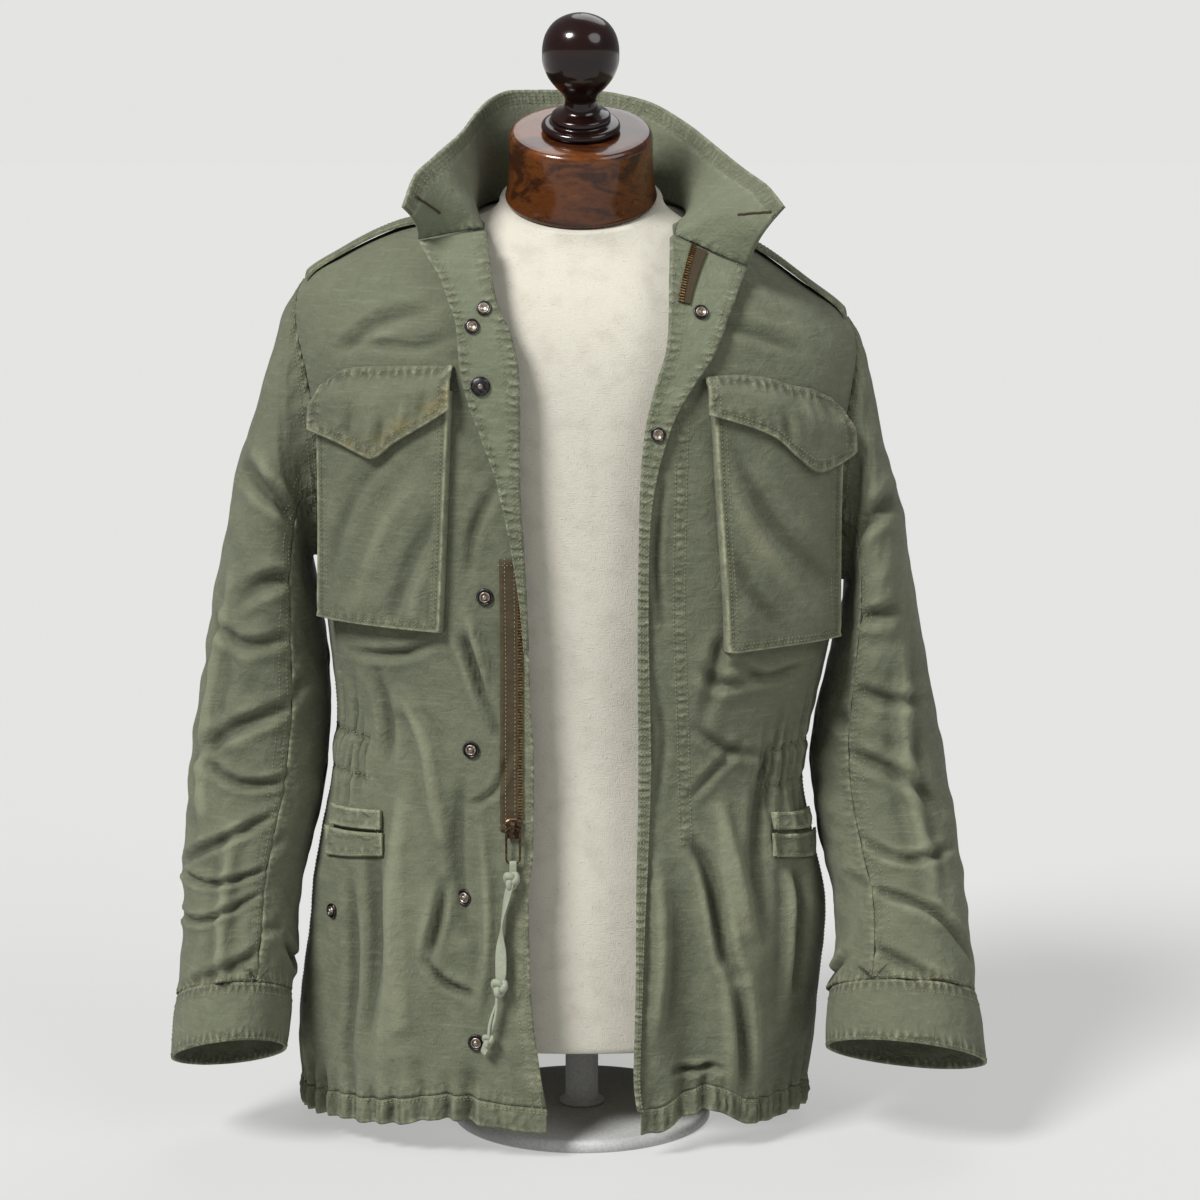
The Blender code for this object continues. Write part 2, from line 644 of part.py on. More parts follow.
def front_shares():
    plain = [FRONT_PLAIN * i / FRONT_PLAIN_STEPS for i in range(FRONT_PLAIN_STEPS)]
    fine = 2 * FRONT_GATHERS
    return plain + [FRONT_PLAIN + (1 - FRONT_PLAIN) * i / fine for i in range(fine + 1)]


def panel_grids(turn_of, gather_of, shares, rows):
    outer = []
    inner = []
    for rise in rows:
        out_row = []
        in_row = []
        for share in shares:
            turn = turn_of(share, rise)
            point = cloth_point(turn, rise, gather_of(share, rise))
            out_row.append(point)
            in_row.append(point - CLOTH * ring_normal(turn, rise))
        outer.append(out_row)
        inner.append(in_row)
    return np.array(outer), np.array(inner)


SIDE_NAMES = {-1: "right", 1: "left"}
ROWS = body_rows()
SHARES = front_shares()
BACK_SHARES = [i / (2 * BACK_GATHERS) for i in range(2 * BACK_GATHERS + 1)]
fronts = {}

for side, name in SIDE_NAMES.items():
    fronts[side] = panel_grids(
        lambda share, rise, s=side: front_turn(s, share, rise), front_gather, SHARES, ROWS
    )
    add_wall("front_" + name, *fronts[side], OLIVE, 0.85)
back = panel_grids(back_turn, back_gather, BACK_SHARES, ROWS)
add_wall("back", *back, OLIVE, 0.85)


def between(values, places, place):
    """A straight-line reading between the values at these places, carried on past the ends."""
    i = min(max(int(np.searchsorted(places, place)) - 1, 0), len(places) - 2)
    share = (place - places[i]) / (places[i + 1] - places[i])
    return values[i] * (1 - share) + values[i + 1] * share


def front_on(side, turn, rise, out):
    """A point over the front panel's own facets. turn is positive towards the side seam."""
    start = abs(front_turn(side, 0.0, rise)) * (1 if edge_turn(side, rise) > 0 else -1)
    stop = abs(front_turn(side, 1.0, rise))
    share = (turn - start) / (stop - start)
    across = between(np.swapaxes(fronts[side][0], 0, 1), SHARES, share)
    return between(across, ROWS, rise) + ring_normal(side * turn, rise) * out


def front_place(side, x, z, out):
    """A point over a front at this x and height, that far out from the cloth."""
    rise = min(rise_at(x, z), NECK_RISE)
    turn = turn_at(x, rise)
    if (x - section["centre"](rise)) * side < 0:
        turn = -turn
    return front_on(side, turn, rise, out)


# ---------------------------------------------------------------- hem casing
def split(shares, parts):
    """Every interval of the shares cut into as many equal parts as its own number in parts."""
    found = [shares[0]]
    for i, count in enumerate(parts):
        width = shares[i + 1] - shares[i]
        found += [shares[i] + width * (j + 1) / count for j in range(count)]
    return found


def hem_grids(panel, shares, parts, turn_of):
    """The casing hangs from the panel's lowest row. Its gathers are ridges and furrows by turns."""
    rows = ((0.0, SEAM), (0.9, HEM_HEIGHT * 0.36), (1.0, HEM_HEIGHT * 0.72), (0.5, HEM_HEIGHT))
    grid = []
    normals = []
    for swing, drop in rows:
        row = []
        for i, share in enumerate(split(shares, parts)):
            normal = ring_normal(turn_of(share, HEM_RISE), HEM_RISE)
            wave = HEM_GATHER * swing * (1 if i % 2 else -1)
            point = between(panel[0][0], shares, share) + normal * wave
            row.append(point - np.array((0, 0, drop)))
            normals.append(normal)
        grid.append(row)
    grid = np.array(grid)
    return grid, grid - DOUBLE_CLOTH * np.array(normals).reshape(grid.shape)


FRONT_HEM_PARTS = [3] * FRONT_PLAIN_STEPS + [1] * (2 * FRONT_GATHERS)
BACK_HEM_PARTS = [2] * (2 * BACK_GATHERS)

for side, name in SIDE_NAMES.items():
    casing = hem_grids(
        fronts[side], SHARES, FRONT_HEM_PARTS, lambda share, rise, s=side: front_turn(s, share, rise)
    )
    add_wall("hem_front_" + name, *casing, OLIVE, 0.85)
casing = hem_grids(back, BACK_SHARES, BACK_HEM_PARTS, back_turn)
add_wall("hem_back", *casing, OLIVE, 0.85)


# ---------------------------------------------------------------- facings turned out along the fold
def facing_profile(width, lift):
    """Pairs (distance in from the panel's edge, distance out) for the outer and inner faces."""
    gap = 0.0006
    outer = []
    inner = []
    for angle in (-90, -30, 30, 90):
        across = math.cos(math.radians(angle))
        out = math.sin(math.radians(angle))
        far = ROLL_RADIUS + CLOTH
        outer.append((-gap - far * across, ROLL_RADIUS + far * out))
        inner.append((-gap - ROLL_RADIUS * across, ROLL_RADIUS + ROLL_RADIUS * out))
    for share in (0.3, 0.65, 1.0):
        reach = share * (width - ROLL_REACH)
        rise = 2 * ROLL_RADIUS + lift * share * share
        outer.append((reach, rise + CLOTH))
        inner.append((reach, rise))
    return outer, inner


def facing_grids(side):
    """Rows at the panel's own rows, so that both fold along the same line."""
    shape = curves(FACING_COLUMNS, facing_tables[side])
    lowest = facing_tables[side][0][0] - 0.006
    outer = []
    inner = []
    for rise in [row for row in ROWS if row >= lowest and row < NECK_RISE]:
        edge_x = edges["right" if side < 0 else "left"](rise) + side * ROLL_REACH
        drop = shape["edge"](rise) - rise
        width = shape["width"](rise)
        out_profile, in_profile = facing_profile(width, shape["lift"](rise))
        for grid, profile in ((outer, out_profile), (inner, in_profile)):
            row = []
            for reach, out in profile:
                x = edge_x + side * reach
                level = rise + drop * max(reach, 0.0) / width
                turn = turn_at(x, level)
                if (x - section["centre"](level)) * side < 0:
                    turn = -turn
                row.append(front_on(side, turn, level, out))
            grid.append(row)
    return np.array(outer), np.array(inner)


facings = {}
for side, name in SIDE_NAMES.items():
    outer, inner = facing_grids(side)
    facings[side] = outer
    add_wall("facing_" + name, outer, inner, SAGE, 0.85)


# ---------------------------------------------------------------- collar
def collar_stations():
    """(share of the outer edge, point on the seam) from the right front corner to the left one."""
    stations = []
    top = facings[-1][-1]
    for along, column in ((0.0, 6), (0.035, 5), (0.075, 4), (0.105, 3)):
        stations.append((along, top[column]))
    right_edge = edge_turn(-1, NECK_RISE)
    left_edge = edge_turn(1, NECK_RISE)
    begin = -right_edge - 7.0
    end = left_edge - 353.0
    count = 18
    for i in range(count + 1):
        turn = begin + (end - begin) * i / count
        along = 0.165 + (0.835 - 0.165) * i / count
        stations.append((along, ring_point(turn, NECK_RISE)))
    top = facings[1][-1]
    for along, column in ((0.895, 3), (0.925, 4), (0.965, 5), (1.0, 6)):
        stations.append((along, top[column]))
    return stations


def collar_grids():
    rows = (0.0, 0.12, 0.32, 0.55, 0.78, 1.0)
    stations = collar_stations()
    visible = []
    for share in rows:
        row = []
        for along, seam in stations:
            edge = np.array([collar_edge[name](along) for name in ("x", "y", "z")])
            up = edge - seam
            length = np.linalg.norm(up)
            start = seam + up / length * 0.0012
            point = start + (edge - start) * share
            middle = math.sin(math.pi * share)
            outward = np.array((point[0], point[1] * 0.5, 0.0))
            outward /= max(np.linalg.norm(outward), 1e-6)
            row.append(point - outward * 0.004 * middle)
        visible.append(row)
    return np.array(visible)


visible = collar_grids()
over_neck = np.array((-0.003, -0.01, 0.9))
directions = grid_normals(visible, over_neck)
directions[0, :, 2] = np.maximum(directions[0, :, 2], 0.25)
directions[0] /= np.linalg.norm(directions[0], axis=1, keepdims=True)
add_wall("collar", visible, visible + DOUBLE_CLOTH * directions, SAGE, 0.85)


# ---------------------------------------------------------------- sleeves and cuffs
def side_x(side, z):
    """x of the body's side seam at this height."""
    rise = z
    for _ in range(4):
        rise += z - ring_point(90 * side, rise)[2]
    return ring_point(90 * side, rise)[0]


def armhole_point(side, angle):
    """Outer face of the sleeve where it meets the armhole, and the direction of the wall there."""
    rise = ARMHOLE_MIDDLE - (ARMHOLE_HALF - SEAM) * math.cos(math.radians(angle))
    swing = math.sin(math.radians(angle))
    reach = ARMHOLE_FRONT_TURN if swing > 0 else ARMHOLE_BACK_TURN
    turn = side * (90 - (reach - 2 * SEAM_TURN) * swing)
    return ring_point(turn, rise), ring_normal(turn, rise)


def sleeve_point(side, row, angle):
    outer_x, outer_z, inner_z, clear, middle_y, depth, pitch = row
    inner_x = side_x(side, inner_z) + side * clear
    outer = np.array((outer_x, middle_y, outer_z))
    inner = np.array((inner_x, middle_y, inner_z))
    swing = math.sin(math.radians(angle))
    front = np.array((0.0, -depth, pitch * depth))
    return (outer + inner) / 2 - math.cos(math.radians(angle)) * (outer - inner) / 2 + swing * front


def sleeve_grid(side, rows, angles):
    return np.array([[sleeve_point(side, row, angle) for angle in angles] for row in rows])


def add_sleeve_piece(name, side, first, last):
    step_angle = 360 / SLEEVE_STEPS
    angles = [step_angle * i for i in range(first, last + 1)]
    trim = 0.18
    angles[0] += trim
    angles[-1] -= trim
    rows = sleeve_tables[side][:-1]
    start = []
    walls = []
    for angle in angles:
        point, normal = armhole_point(side, angle)
        start.append(point)
        walls.append(normal)
    grid = np.concatenate([[start], sleeve_grid(side, rows, angles)])
    wide = [angles[0] - step_angle] + angles + [angles[-1] + step_angle]
    around = np.concatenate(
        [[[armhole_point(side, angle)[0] for angle in wide]], sleeve_grid(side, rows, wide)]
    )
    middle = around.mean(axis=1, keepdims=True)
    centres = sleeve_grid(side, rows, (0.0, 180.0)).mean(axis=1, keepdims=True)
    middle[1:] = centres
    directions = grid_normals(around, middle)[:, 1:-1]
    directions[0] += 0.5 * np.array(walls)
    directions[0] /= np.linalg.norm(directions[0], axis=1, keepdims=True)
    return add_wall(name, grid, grid - CLOTH * directions, OLIVE, 0.85)


def add_cuff(name, side):
    angles = [360 / SLEEVE_STEPS * i for i in range(SLEEVE_STEPS)]
    top = sleeve_grid(side, sleeve_tables[side][-2:-1], angles)[0]
    bottom = sleeve_grid(side, sleeve_tables[side][-1:], angles)[0]
    down = (bottom - top) / np.linalg.norm(bottom - top, axis=1, keepdims=True)
    centre = top.mean(axis=0)
    spread = top - centre
    spread /= np.linalg.norm(spread, axis=1, keepdims=True)
    first = top + down * 0.0005
    rows = [first, top + (bottom - top) * 0.15 + spread * 0.0012, bottom + spread * 0.0012]
    grid = np.array(rows)
    directions = grid_normals(grid, grid.mean(axis=1, keepdims=True), wrap=True)
    return add_wall(name, grid, grid - DOUBLE_CLOTH * directions, OLIVE, 0.85, wrap=True)


for side, name in SIDE_NAMES.items():
    seam = SLEEVE_SEAM_STEP
    add_sleeve_piece("sleeve_top_" + name, side, seam, SLEEVE_STEPS - seam)
    add_sleeve_piece("sleeve_under_" + name, side, -seam, seam)
    add_cuff("cuff_" + name, side)


# ---------------------------------------------------------------- chest pockets and flaps
def between_corners(corners, across, up):
    """(x, height) inside four corners: outer low, inner low, inner high, outer high."""
    low = [a + (b - a) * across for a, b in zip(corners[0], corners[1])]
    high = [a + (b - a) * across for a, b in zip(corners[3], corners[2])]
    return [a + (b - a) * up for a, b in zip(low, high)]


# A pocket is a shallow tray. From its edge inwards: (distance in, height) on the outer and the inner face.
TRAY_OUTER = ((0.0, 0.0), (0.0006, 0.55), (0.0022, 1.0))
TRAY_INNER = ((0.0017, 0.0), (0.0023, 0.55), (0.0036, 0.84))
TRAY_STAND = 0.0011


def add_pocket(name, side):
    """A bellows pocket: open at the top, its rim standing on the front."""
    corners = POCKET_CORNERS[side]
    width = abs(corners[1][0] - corners[0][0])
    tall = abs(corners[3][1] - corners[0][1])
    outer_edge = 0.0 if side < 0 else 1.0
    grids = []
    for wall in (TRAY_OUTER, TRAY_INNER):
        middle = (wall[2][1] - 0.01) if wall is TRAY_INNER else 1.0
        low_side = [(distance / width, height) for distance, height in wall]
        high_side = [(1 - share, height) for share, height in reversed(low_side)]
        across = low_side + [(share, middle) for share in (0.2, 0.4, 0.6, 0.8)] + high_side
        up = [(distance / tall, height) for distance, height in wall]
        up += [(share, middle) for share in (0.25, 0.5, 0.75, 1.0)]
        grid = []
        for v, height_v in up:
            row = []
            for u, height_u in across:
                x, z = between_corners(corners, u, v)
                flare = POCKET_FLARE * (1 - abs(u - outer_edge)) ** 3 * (1 - v) ** 2
                full = min(height_u, height_v)
                row.append(front_place(side, x, z, TRAY_STAND + full * (POCKET_DEPTH + flare)))
            grid.append(row)
        grids.append(np.array(grid))
    return add_wall(name, *grids, OLIVE, 0.85)


def add_flap(name, side, table):
    shape = curves(FLAP_COLUMNS, table)
    start, stop = FLAP_ENDS[side]
    across = (0.0, 0.1, 0.2, 0.32, 0.44, 0.56, 0.66, 0.76, 0.88, 1.0)
    over = POCKET_DEPTH + 0.0050
    down = ((0.0, 0.0034), (0.15, 0.0075), (0.42, over), (0.72, over + 0.0012), (1.0, over + 0.0016))
    outer = []
    inner = []
    for share, out in down:
        out_row = []
        in_row = []
        for u in across:
            top = shape["top"](u)
            z = top + (shape["bottom"](u) - top) * share
            x = start + (stop - start) * u
            out_row.append(front_place(side, x, z, out))
            in_row.append(front_place(side, x, z, out - DOUBLE_CLOTH))
        outer.append(out_row)
        inner.append(in_row)
    return add_wall(name, np.array(outer), np.array(inner), OLIVE, 0.85)


def add_patch(name, side, corners, columns, rows, low, high, thick, rgb):
    """A flat strip on a front between four corners, standing low out along its foot and high at its top."""
    outer = []
    inner = []
    for r in range(rows + 1):
        out_row = []
        in_row = []
        for c in range(columns + 1):
            x, z = between_corners(corners, c / columns, r / rows)
            out = low + (high - low) * r / rows
            out_row.append(front_place(side, x, z, out + thick))
            in_row.append(front_place(side, x, z, out))
        outer.append(out_row)
        inner.append(in_row)
    return add_wall(name, np.array(outer), np.array(inner), rgb, 0.85)


for side, name in SIDE_NAMES.items():
    add_pocket("pocket_" + name, side)
    add_flap("flap_" + name, side, FLAP_RIGHT if side < 0 else FLAP_LEFT)
    add_patch("hip_flap_" + name, side, HIP_FLAP[side], 5, 2, 0.0030, 0.0012, DOUBLE_CLOTH, OLIVE)
    add_patch("hip_welt_" + name, side, HIP_WELT[side], 5, 2, 0.0009, 0.0014, DOUBLE_CLOTH, OLIVE)


# ---------------------------------------------------------------- shoulder straps
def shoulder_place(side, x, y, out):
    """A point over the shoulder at this x and y."""
    low = 0.690
    high = NECK_RISE
    for _ in range(30):
        rise = (low + high) / 2
        reach = section["front"](rise) if y < 0 else section["back"](rise)
        lean = math.degrees(math.asin(min(abs(y) / reach, 0.95)))
        turn = side * (90 - lean if y < 0 else 90 + lean)
        if (ring_point(turn, rise)[0] - x) * side > 0:
            low = rise
        else:
            high = rise
    return ring_point(turn, rise) + ring_normal(turn, rise) * out


def add_strap(name, side):
    start, stop = STRAP_ENDS[side]
    half = spline([row[0] for row in STRAP_WIDTHS], [row[1] for row in STRAP_WIDTHS])
    outer = []
    inner = []
    for share in (0.0, 0.12, 0.3, 0.5, 0.7, 0.85, 0.95, 1.0):
        x = start + (stop - start) * share
        lift = 0.0010 + 0.0026 * math.sin(math.pi * share)
        out_row = []
        in_row = []
        for across in (-1.0, -0.5, 0.0, 0.5, 1.0):
            y = half(share) * across - 0.002
            out_row.append(shoulder_place(side, x, y, lift + DOUBLE_CLOTH))
            in_row.append(shoulder_place(side, x, y, lift))
        outer.append(out_row)
        inner.append(in_row)
    return add_wall(name, np.array(outer), np.array(inner), OLIVE, 0.85)


for side, name in SIDE_NAMES.items():
    add_strap("strap_" + name, side)


# ---------------------------------------------------------------- zip
def add_rod_loop(name, points, radius, rgb, roughness, metallic, closed):
    """A bent rod through the points."""
    curve = bpy.data.curves.new(name, "CURVE")
    curve.dimensions = "3D"
    curve.bevel_depth = radius
    curve.bevel_resolution = 2
    curve.use_fill_caps = not closed
    line = curve.splines.new("POLY")
    line.points.add(len(points) - 1)
    for place, point in zip(line.points, points):
        place.co = (*(np.array(point) + PLACE), 1.0)
    line.use_cyclic_u = closed
    curve.materials.append(colour(name, rgb, roughness, metallic))
    obj = bpy.data.objects.new(name, curve)
    jacket.objects.link(obj)
    return obj


tape_corners = (
    (ZIP_TAPE_X[0], ZIP_HEIGHTS[0]),
    (ZIP_TAPE_X[1], ZIP_HEIGHTS[0]),
    (ZIP_TAPE_X[1], ZIP_HEIGHTS[1]),
    (ZIP_TAPE_X[0], ZIP_HEIGHTS[1]),
)
add_patch("zip_tape_right", -1, tape_corners, 2, 12, 0.0006, 0.0006, 0.0010, ZIP_CLOTH)


def add_upper_tape(name, side):
    """The other half of the zip, on the turned-out facing beside the fold."""
    grid = facings[side]
    outer = []
    inner = []
    for share in (0.0, 0.25, 0.5, 0.75, 1.0):
        row = len(grid) - 1.3 - 4.0 * (1 - share)
        start = 0.12 + 0.16 * share
        out_row = []
        in_row = []
        for across in (0.0, 0.5, 1.0):
            column = 3 + 3 * (start + 0.20 * across)
            point = between(between(grid, range(len(grid)), row), range(7), column)
            beside = between(between(grid, range(len(grid)), row), range(7), column + 0.2) - point
            below = point - between(between(grid, range(len(grid)), row - 0.3), range(7), column)
            normal = np.cross(beside, below)
            normal /= np.linalg.norm(normal)
            normal = normal if normal[1] < 0 else -normal
            out_row.append(point + normal * 0.0017)
            in_row.append(point + normal * 0.0007)
        outer.append(out_row)
        inner.append(in_row)
    return add_wall(name, np.array(outer), np.array(inner), ZIP_CLOTH, 0.8)


add_upper_tape("zip_tape_left", 1)

slider_x, slider_z = SLIDER_PLACE
slider_foot = front_place(-1, slider_x, slider_z, 0.0022)
facing_out = front_place(-1, slider_x, slider_z, 0.0122) - slider_foot
facing_out /= np.linalg.norm(facing_out)
slider_up = np.array((0.0, 0.0, 1.0)) - facing_out * facing_out[2]
slider_up /= np.linalg.norm(slider_up)
slider_across = np.cross(slider_up, facing_out)


def slider_point(across, out, up):
    return slider_foot + slider_across * across + facing_out * out + slider_up * up


def add_slider(name):
    """A waisted zip slider with a strap bridge on its face for the pull."""
    half = ((0.0050, -0.0080), (0.0058, 0.0000), (0.0068, 0.0065), (0.0030, 0.0085))
    outline = [(-0.0050, -0.0080), *half] + [(-across, up) for across, up in reversed(half[1:])]
    levels = ((0.0, 0.90), (0.0008, 1.0), (0.0032, 1.0), (0.0040, 0.86))
    points = []
    for out, grow in levels:
        for across, up in outline:
            points.append(slider_point(across * grow, out, up * grow))
    count = len(outline)
    faces = [tuple(range(count)), tuple(reversed(range(3 * count, 4 * count)))]
    for level in range(3):
        for i in range(count):
            n = (i + 1) % count
            a = level * count
            faces.append((a + i, a + count + i, a + count + n, a + n))
    body = add_solid(name, points, faces, BRONZE, 0.35, 0.9)
    over = ((-0.0060, 0.0030), (-0.0060, 0.0080), (-0.0038, 0.0098))
    under = ((0.0042, 0.0030), (0.0042, 0.0072), (0.0030, 0.0084))
    side_line = [*over] + [(-up, out) for up, out in reversed(over)]
    side_line += [*under] + [(-up, out) for up, out in reversed(under)]
    points = []
    for across in (-0.0016, 0.0016):
        for up, out in side_line:
            points.append(slider_point(across, out, up))
    count = len(side_line)
    faces = []
    half = count // 2
    for level in (0, 1):
        for i in range(half - 1):
            quad = (i, i + 1, count - 2 - i, count - 1 - i)
            quad = tuple(level * count + j for j in quad)
            faces.append(quad if level else tuple(reversed(quad)))
    for i in range(count):
        n = (i + 1) % count
        faces.append((i, n, count + n, count + i))
    bridge = add_solid("slider_bridge_cutter", points, faces, BRONZE, 0.35, 0.9)
    bridge.hide_render = True
    bridge.display_type = "WIRE"
    join = body.modifiers.new("bridge", "BOOLEAN")
    join.operation = "UNION"
    join.solver = "EXACT"
    join.object = bridge
    return body


add_slider("zip_slider")

HINGE_UP = 0.0012
HINGE_OUT = 0.0068
hinge_place = slider_point(0.0, HINGE_OUT, HINGE_UP)


def pull_points():
    """The pull hangs straight down from the hinge: a long loop of rod."""
    half = PULL_WIDTH / 2
    bend = half * 0.75
    points = []
    for angle in (90, 60, 30, 0):
        reach = math.radians(angle)
        points.append((half - bend + bend * math.cos(reach), 0.0, -bend + bend * math.sin(reach)))
    for angle in (0, -30, -60, -90):
        reach = math.radians(angle)
        low = bend + bend * math.sin(reach) - PULL_LENGTH
        points.append((half - bend + bend * math.cos(reach), 0.0, low))
    mirrored = [(-x, y, z) for x, y, z in reversed(points)]
    return [tuple(np.array(point) + hinge_place) for point in points + mirrored]


pull = add_rod_loop("zip_pull", pull_points(), PULL_ROD, BRONZE, 0.35, 0.9, True)

tape_top = hinge_place - np.array((0.0, 0.0, PULL_LENGTH + PULL_ROD + SEAM))
tape_line = [tape_top, tape_top - np.array((0.0, 0.0, 0.0050))]
tape_line += [front_place(-1, x, z, out) for x, z, out in TAPE_PATH]
fine_line = []
for begin, end in zip(tape_line[:-1], tape_line[1:]):
    fine_line += [begin + (end - begin) * share for share in (0.0, 0.5)]
fine_line.append(tape_line[-1])
add_rod_loop("pull_tape", fine_line, TAPE_RADIUS, COTTON, 0.9, 0.0, False)


def add_knot(name, height, radius):
    """A knot round the tape, as a ring just clear of it."""
    heights = [point[2] for point in fine_line]
    i = min(range(1, len(heights) - 1), key=lambda j: abs(heights[j] - height))
    axis = fine_line[i - 1] - fine_line[i + 1]
    inside = TAPE_RADIUS + 0.0004
    thick = (radius - inside) / 2
    middle = inside + thick
    profile = [
        (middle + thick * math.cos(math.radians(angle)), thick * 1.5 * math.sin(math.radians(angle)))
        for angle in range(0, 360, 60)
    ]
    axis = axis / np.linalg.norm(axis)
    across = np.cross(axis, (1.0, 0.0, 0.0))
    across /= np.linalg.norm(across)
    other = np.cross(axis, across)
    grid = []
    steps = 10
    for r, along in profile:
        row = []
        for step_number in range(steps):
            angle = 2 * math.pi * step_number / steps
            spoke = math.cos(angle) * across + math.sin(angle) * other
            row.append(fine_line[i] + spoke * r + axis * along)
        grid.append(row)
    points = [point for row in grid for point in row]
    faces = []
    for r in range(len(grid)):
        for c in range(steps):
            n = (c + 1) % steps
            m = (r + 1) % len(grid)
            faces.append((r * steps + c, r * steps + n, m * steps + n, m * steps + c))
    return add_solid(name, points, faces, COTTON, 0.9)


for knot, height in KNOT_HEIGHTS.items():
    add_knot(knot, height, KNOT_RADII[knot])


# ---------------------------------------------------------------- snaps
def snap_seat(x, z, layer):
    side = -1 if x < 0 else 1
    if layer == "front":
        foot = front_place(side, x, z, 0.0)
        beside = front_place(side, x + 0.005, z, 0.0) - front_place(side, x - 0.005, z, 0.0)
        above = front_place(side, x, z + 0.005, 0.0) - front_place(side, x, z - 0.005, 0.0)
        normal = np.cross(beside, above)
        normal /= np.linalg.norm(normal)
        return foot + normal * 0.0009, normal
    grid = facings[side]
    best = None
    for row in range(len(grid) - 1):
        for part in range(10):
            low = between(grid, range(len(grid)), row + part / 10)
            for column in range(30):
                point = between(low, range(7), 3 + column / 10)
                far = abs(point[0] - x) + abs(point[2] - z)
                if best is None or far < best[0]:
                    best = (far, row + part / 10, 3 + column / 10, point)
    far, row, column, point = best
    beside = between(between(grid, range(len(grid)), row), range(7), column + 0.2) - point
    above = between(between(grid, range(len(grid)), row + 0.3), range(7), column) - point
    normal = np.cross(beside, above)
    normal /= np.linalg.norm(normal)
    normal = normal if normal[1] < 0 else -normal
    return point + normal * 0.0007, normal


for name, (x, z, radius, layer) in SNAPS.items():
    foot, axis = snap_seat(x, z, layer)
    profile = [(radius, 0.0), (radius * 0.92, 0.0014)]
    if "stud" in name or "hip" in name:
        profile += [(radius * 0.50, 0.0016), (0, 0.0034)]
    elif "cap" in name:
        profile += [(radius * 0.5, 0.0026), (0, 0.0029)]
    else:
        profile += [(radius * 0.60, 0.0016), (0, 0.0007)]
    add_turned(name, profile, foot, axis, 12, GUNMETAL, 0.35, 0.9)


# ---------------------------------------------------------------- the dress form
def torso_point(turn, rise):
    point = ring_point(turn, rise, ease["side"](rise), ease["front"](rise), ease["back"](rise))
    centre = (TORSO_CENTRE - section["centre"](rise)) * (1 - step(rise, 0.560, 0.700))
    sink = ease["sink"](rise) * max(math.cos(math.radians(turn)), 0.0) ** 2
    return point + np.array((centre, 0, -sink)) - ring_normal(turn, rise) * (CLOTH + SEAT_GAP)


neck_axis = np.array((0.0, -math.sin(math.radians(NECK_LEAN)), math.cos(math.radians(NECK_LEAN))))
neck_ahead = np.array((0.0, -math.cos(math.radians(NECK_LEAN)), -math.sin(math.radians(NECK_LEAN))))
neck_top = np.array(NECK_TOP)


def neck_ring(radius, below):
    centre = neck_top - neck_axis * below
    row = []
    for i in range(TORSO_STEPS):
        angle = 2 * math.pi * i / TORSO_STEPS
        side_way = np.array((math.sin(angle), 0, 0))
        row.append(centre + radius * (side_way + neck_ahead * math.cos(angle)))
    return row


def add_torso(name):
    turns = [360 * i / TORSO_STEPS for i in range(TORSO_STEPS)]
    rows = [[torso_point(turn, rise) for turn in turns] for rise in TORSO_ROWS]
    rows.append(neck_ring(NECK_RADIUS - 0.0003, 0.0165))
    rows.append(neck_ring(NECK_RADIUS, 0.0))
    count = TORSO_STEPS
    points = [point for row in rows for point in row]
    faces = [tuple(range(count)), tuple(reversed(range(len(points) - count, len(points))))]
    for r in range(len(rows) - 1):
        for c in range(count):
            n = (c + 1) % count
            faces.append((r * count + c, (r + 1) * count + c, (r + 1) * count + n, r * count + n))
    return add_solid(name, points, faces, LINEN, 0.9)


add_torso("form_torso")

block_profile = [
    (0.0605, 0.0000), (0.0628, 0.0025), (0.0625, 0.0065), (0.0596, 0.0250),
    (0.0590, BLOCK_HEIGHT - 0.0070), (0.0575, BLOCK_HEIGHT - 0.0025), (0.0540, BLOCK_HEIGHT),
]
add_turned("form_neck_block", block_profile, neck_top + neck_axis * 0.0003, neck_axis, 28, WALNUT, 0.2)
finial_profile = [
    (0.0310, 0.0000), (0.0325, 0.0030), (0.0305, 0.0070), (0.0235, 0.0085), (0.0245, 0.0120),
    (0.0150, 0.0180), (0.0130, 0.0250), (0.0150, 0.0310), (0.0215, 0.0390), (0.0285, 0.0500),
    (0.0315, 0.0630), (0.0300, 0.0770), (0.0235, 0.0890), (0.0130, 0.0960), (0, 0.0985),
]
finial_foot = neck_top + neck_axis * (BLOCK_HEIGHT + 0.0006)
add_turned("form_finial", finial_profile, finial_foot, neck_axis, 16, MAHOGANY, 0.15)
base_profile = [
    (BASE_RADIUS, 0.0), (BASE_RADIUS, BASE_HEIGHT - 0.003), (BASE_RADIUS - 0.003, BASE_HEIGHT),
]
add_turned("form_base", base_profile, (TORSO_CENTRE, 0, 0), (0, 0, 1), 36, STEEL, 0.5)
post_profile = [(POST_RADIUS, 0.0), (POST_RADIUS, TORSO_ROWS[0] - BASE_HEIGHT - 0.0006)]
post_foot = (TORSO_CENTRE, 0, BASE_HEIGHT + 0.0003)
add_turned("form_post", post_profile, post_foot, (0, 0, 1), 24, STEEL, 0.5)
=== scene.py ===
"""Looks of an olive field jacket hanging open on a limbless dress form.

Metres. +X is the wearer's left, -Y the front, +Z up. side is -1 for the wearer's right, +1 for the left.
The jacket's body is a stack of rings. On a ring, turn is 0 at the centre front, 90 at the side seam
and 180 at the centre back, in degrees. rise runs up the stack, from the hem to the neck.
"""

import json
import math

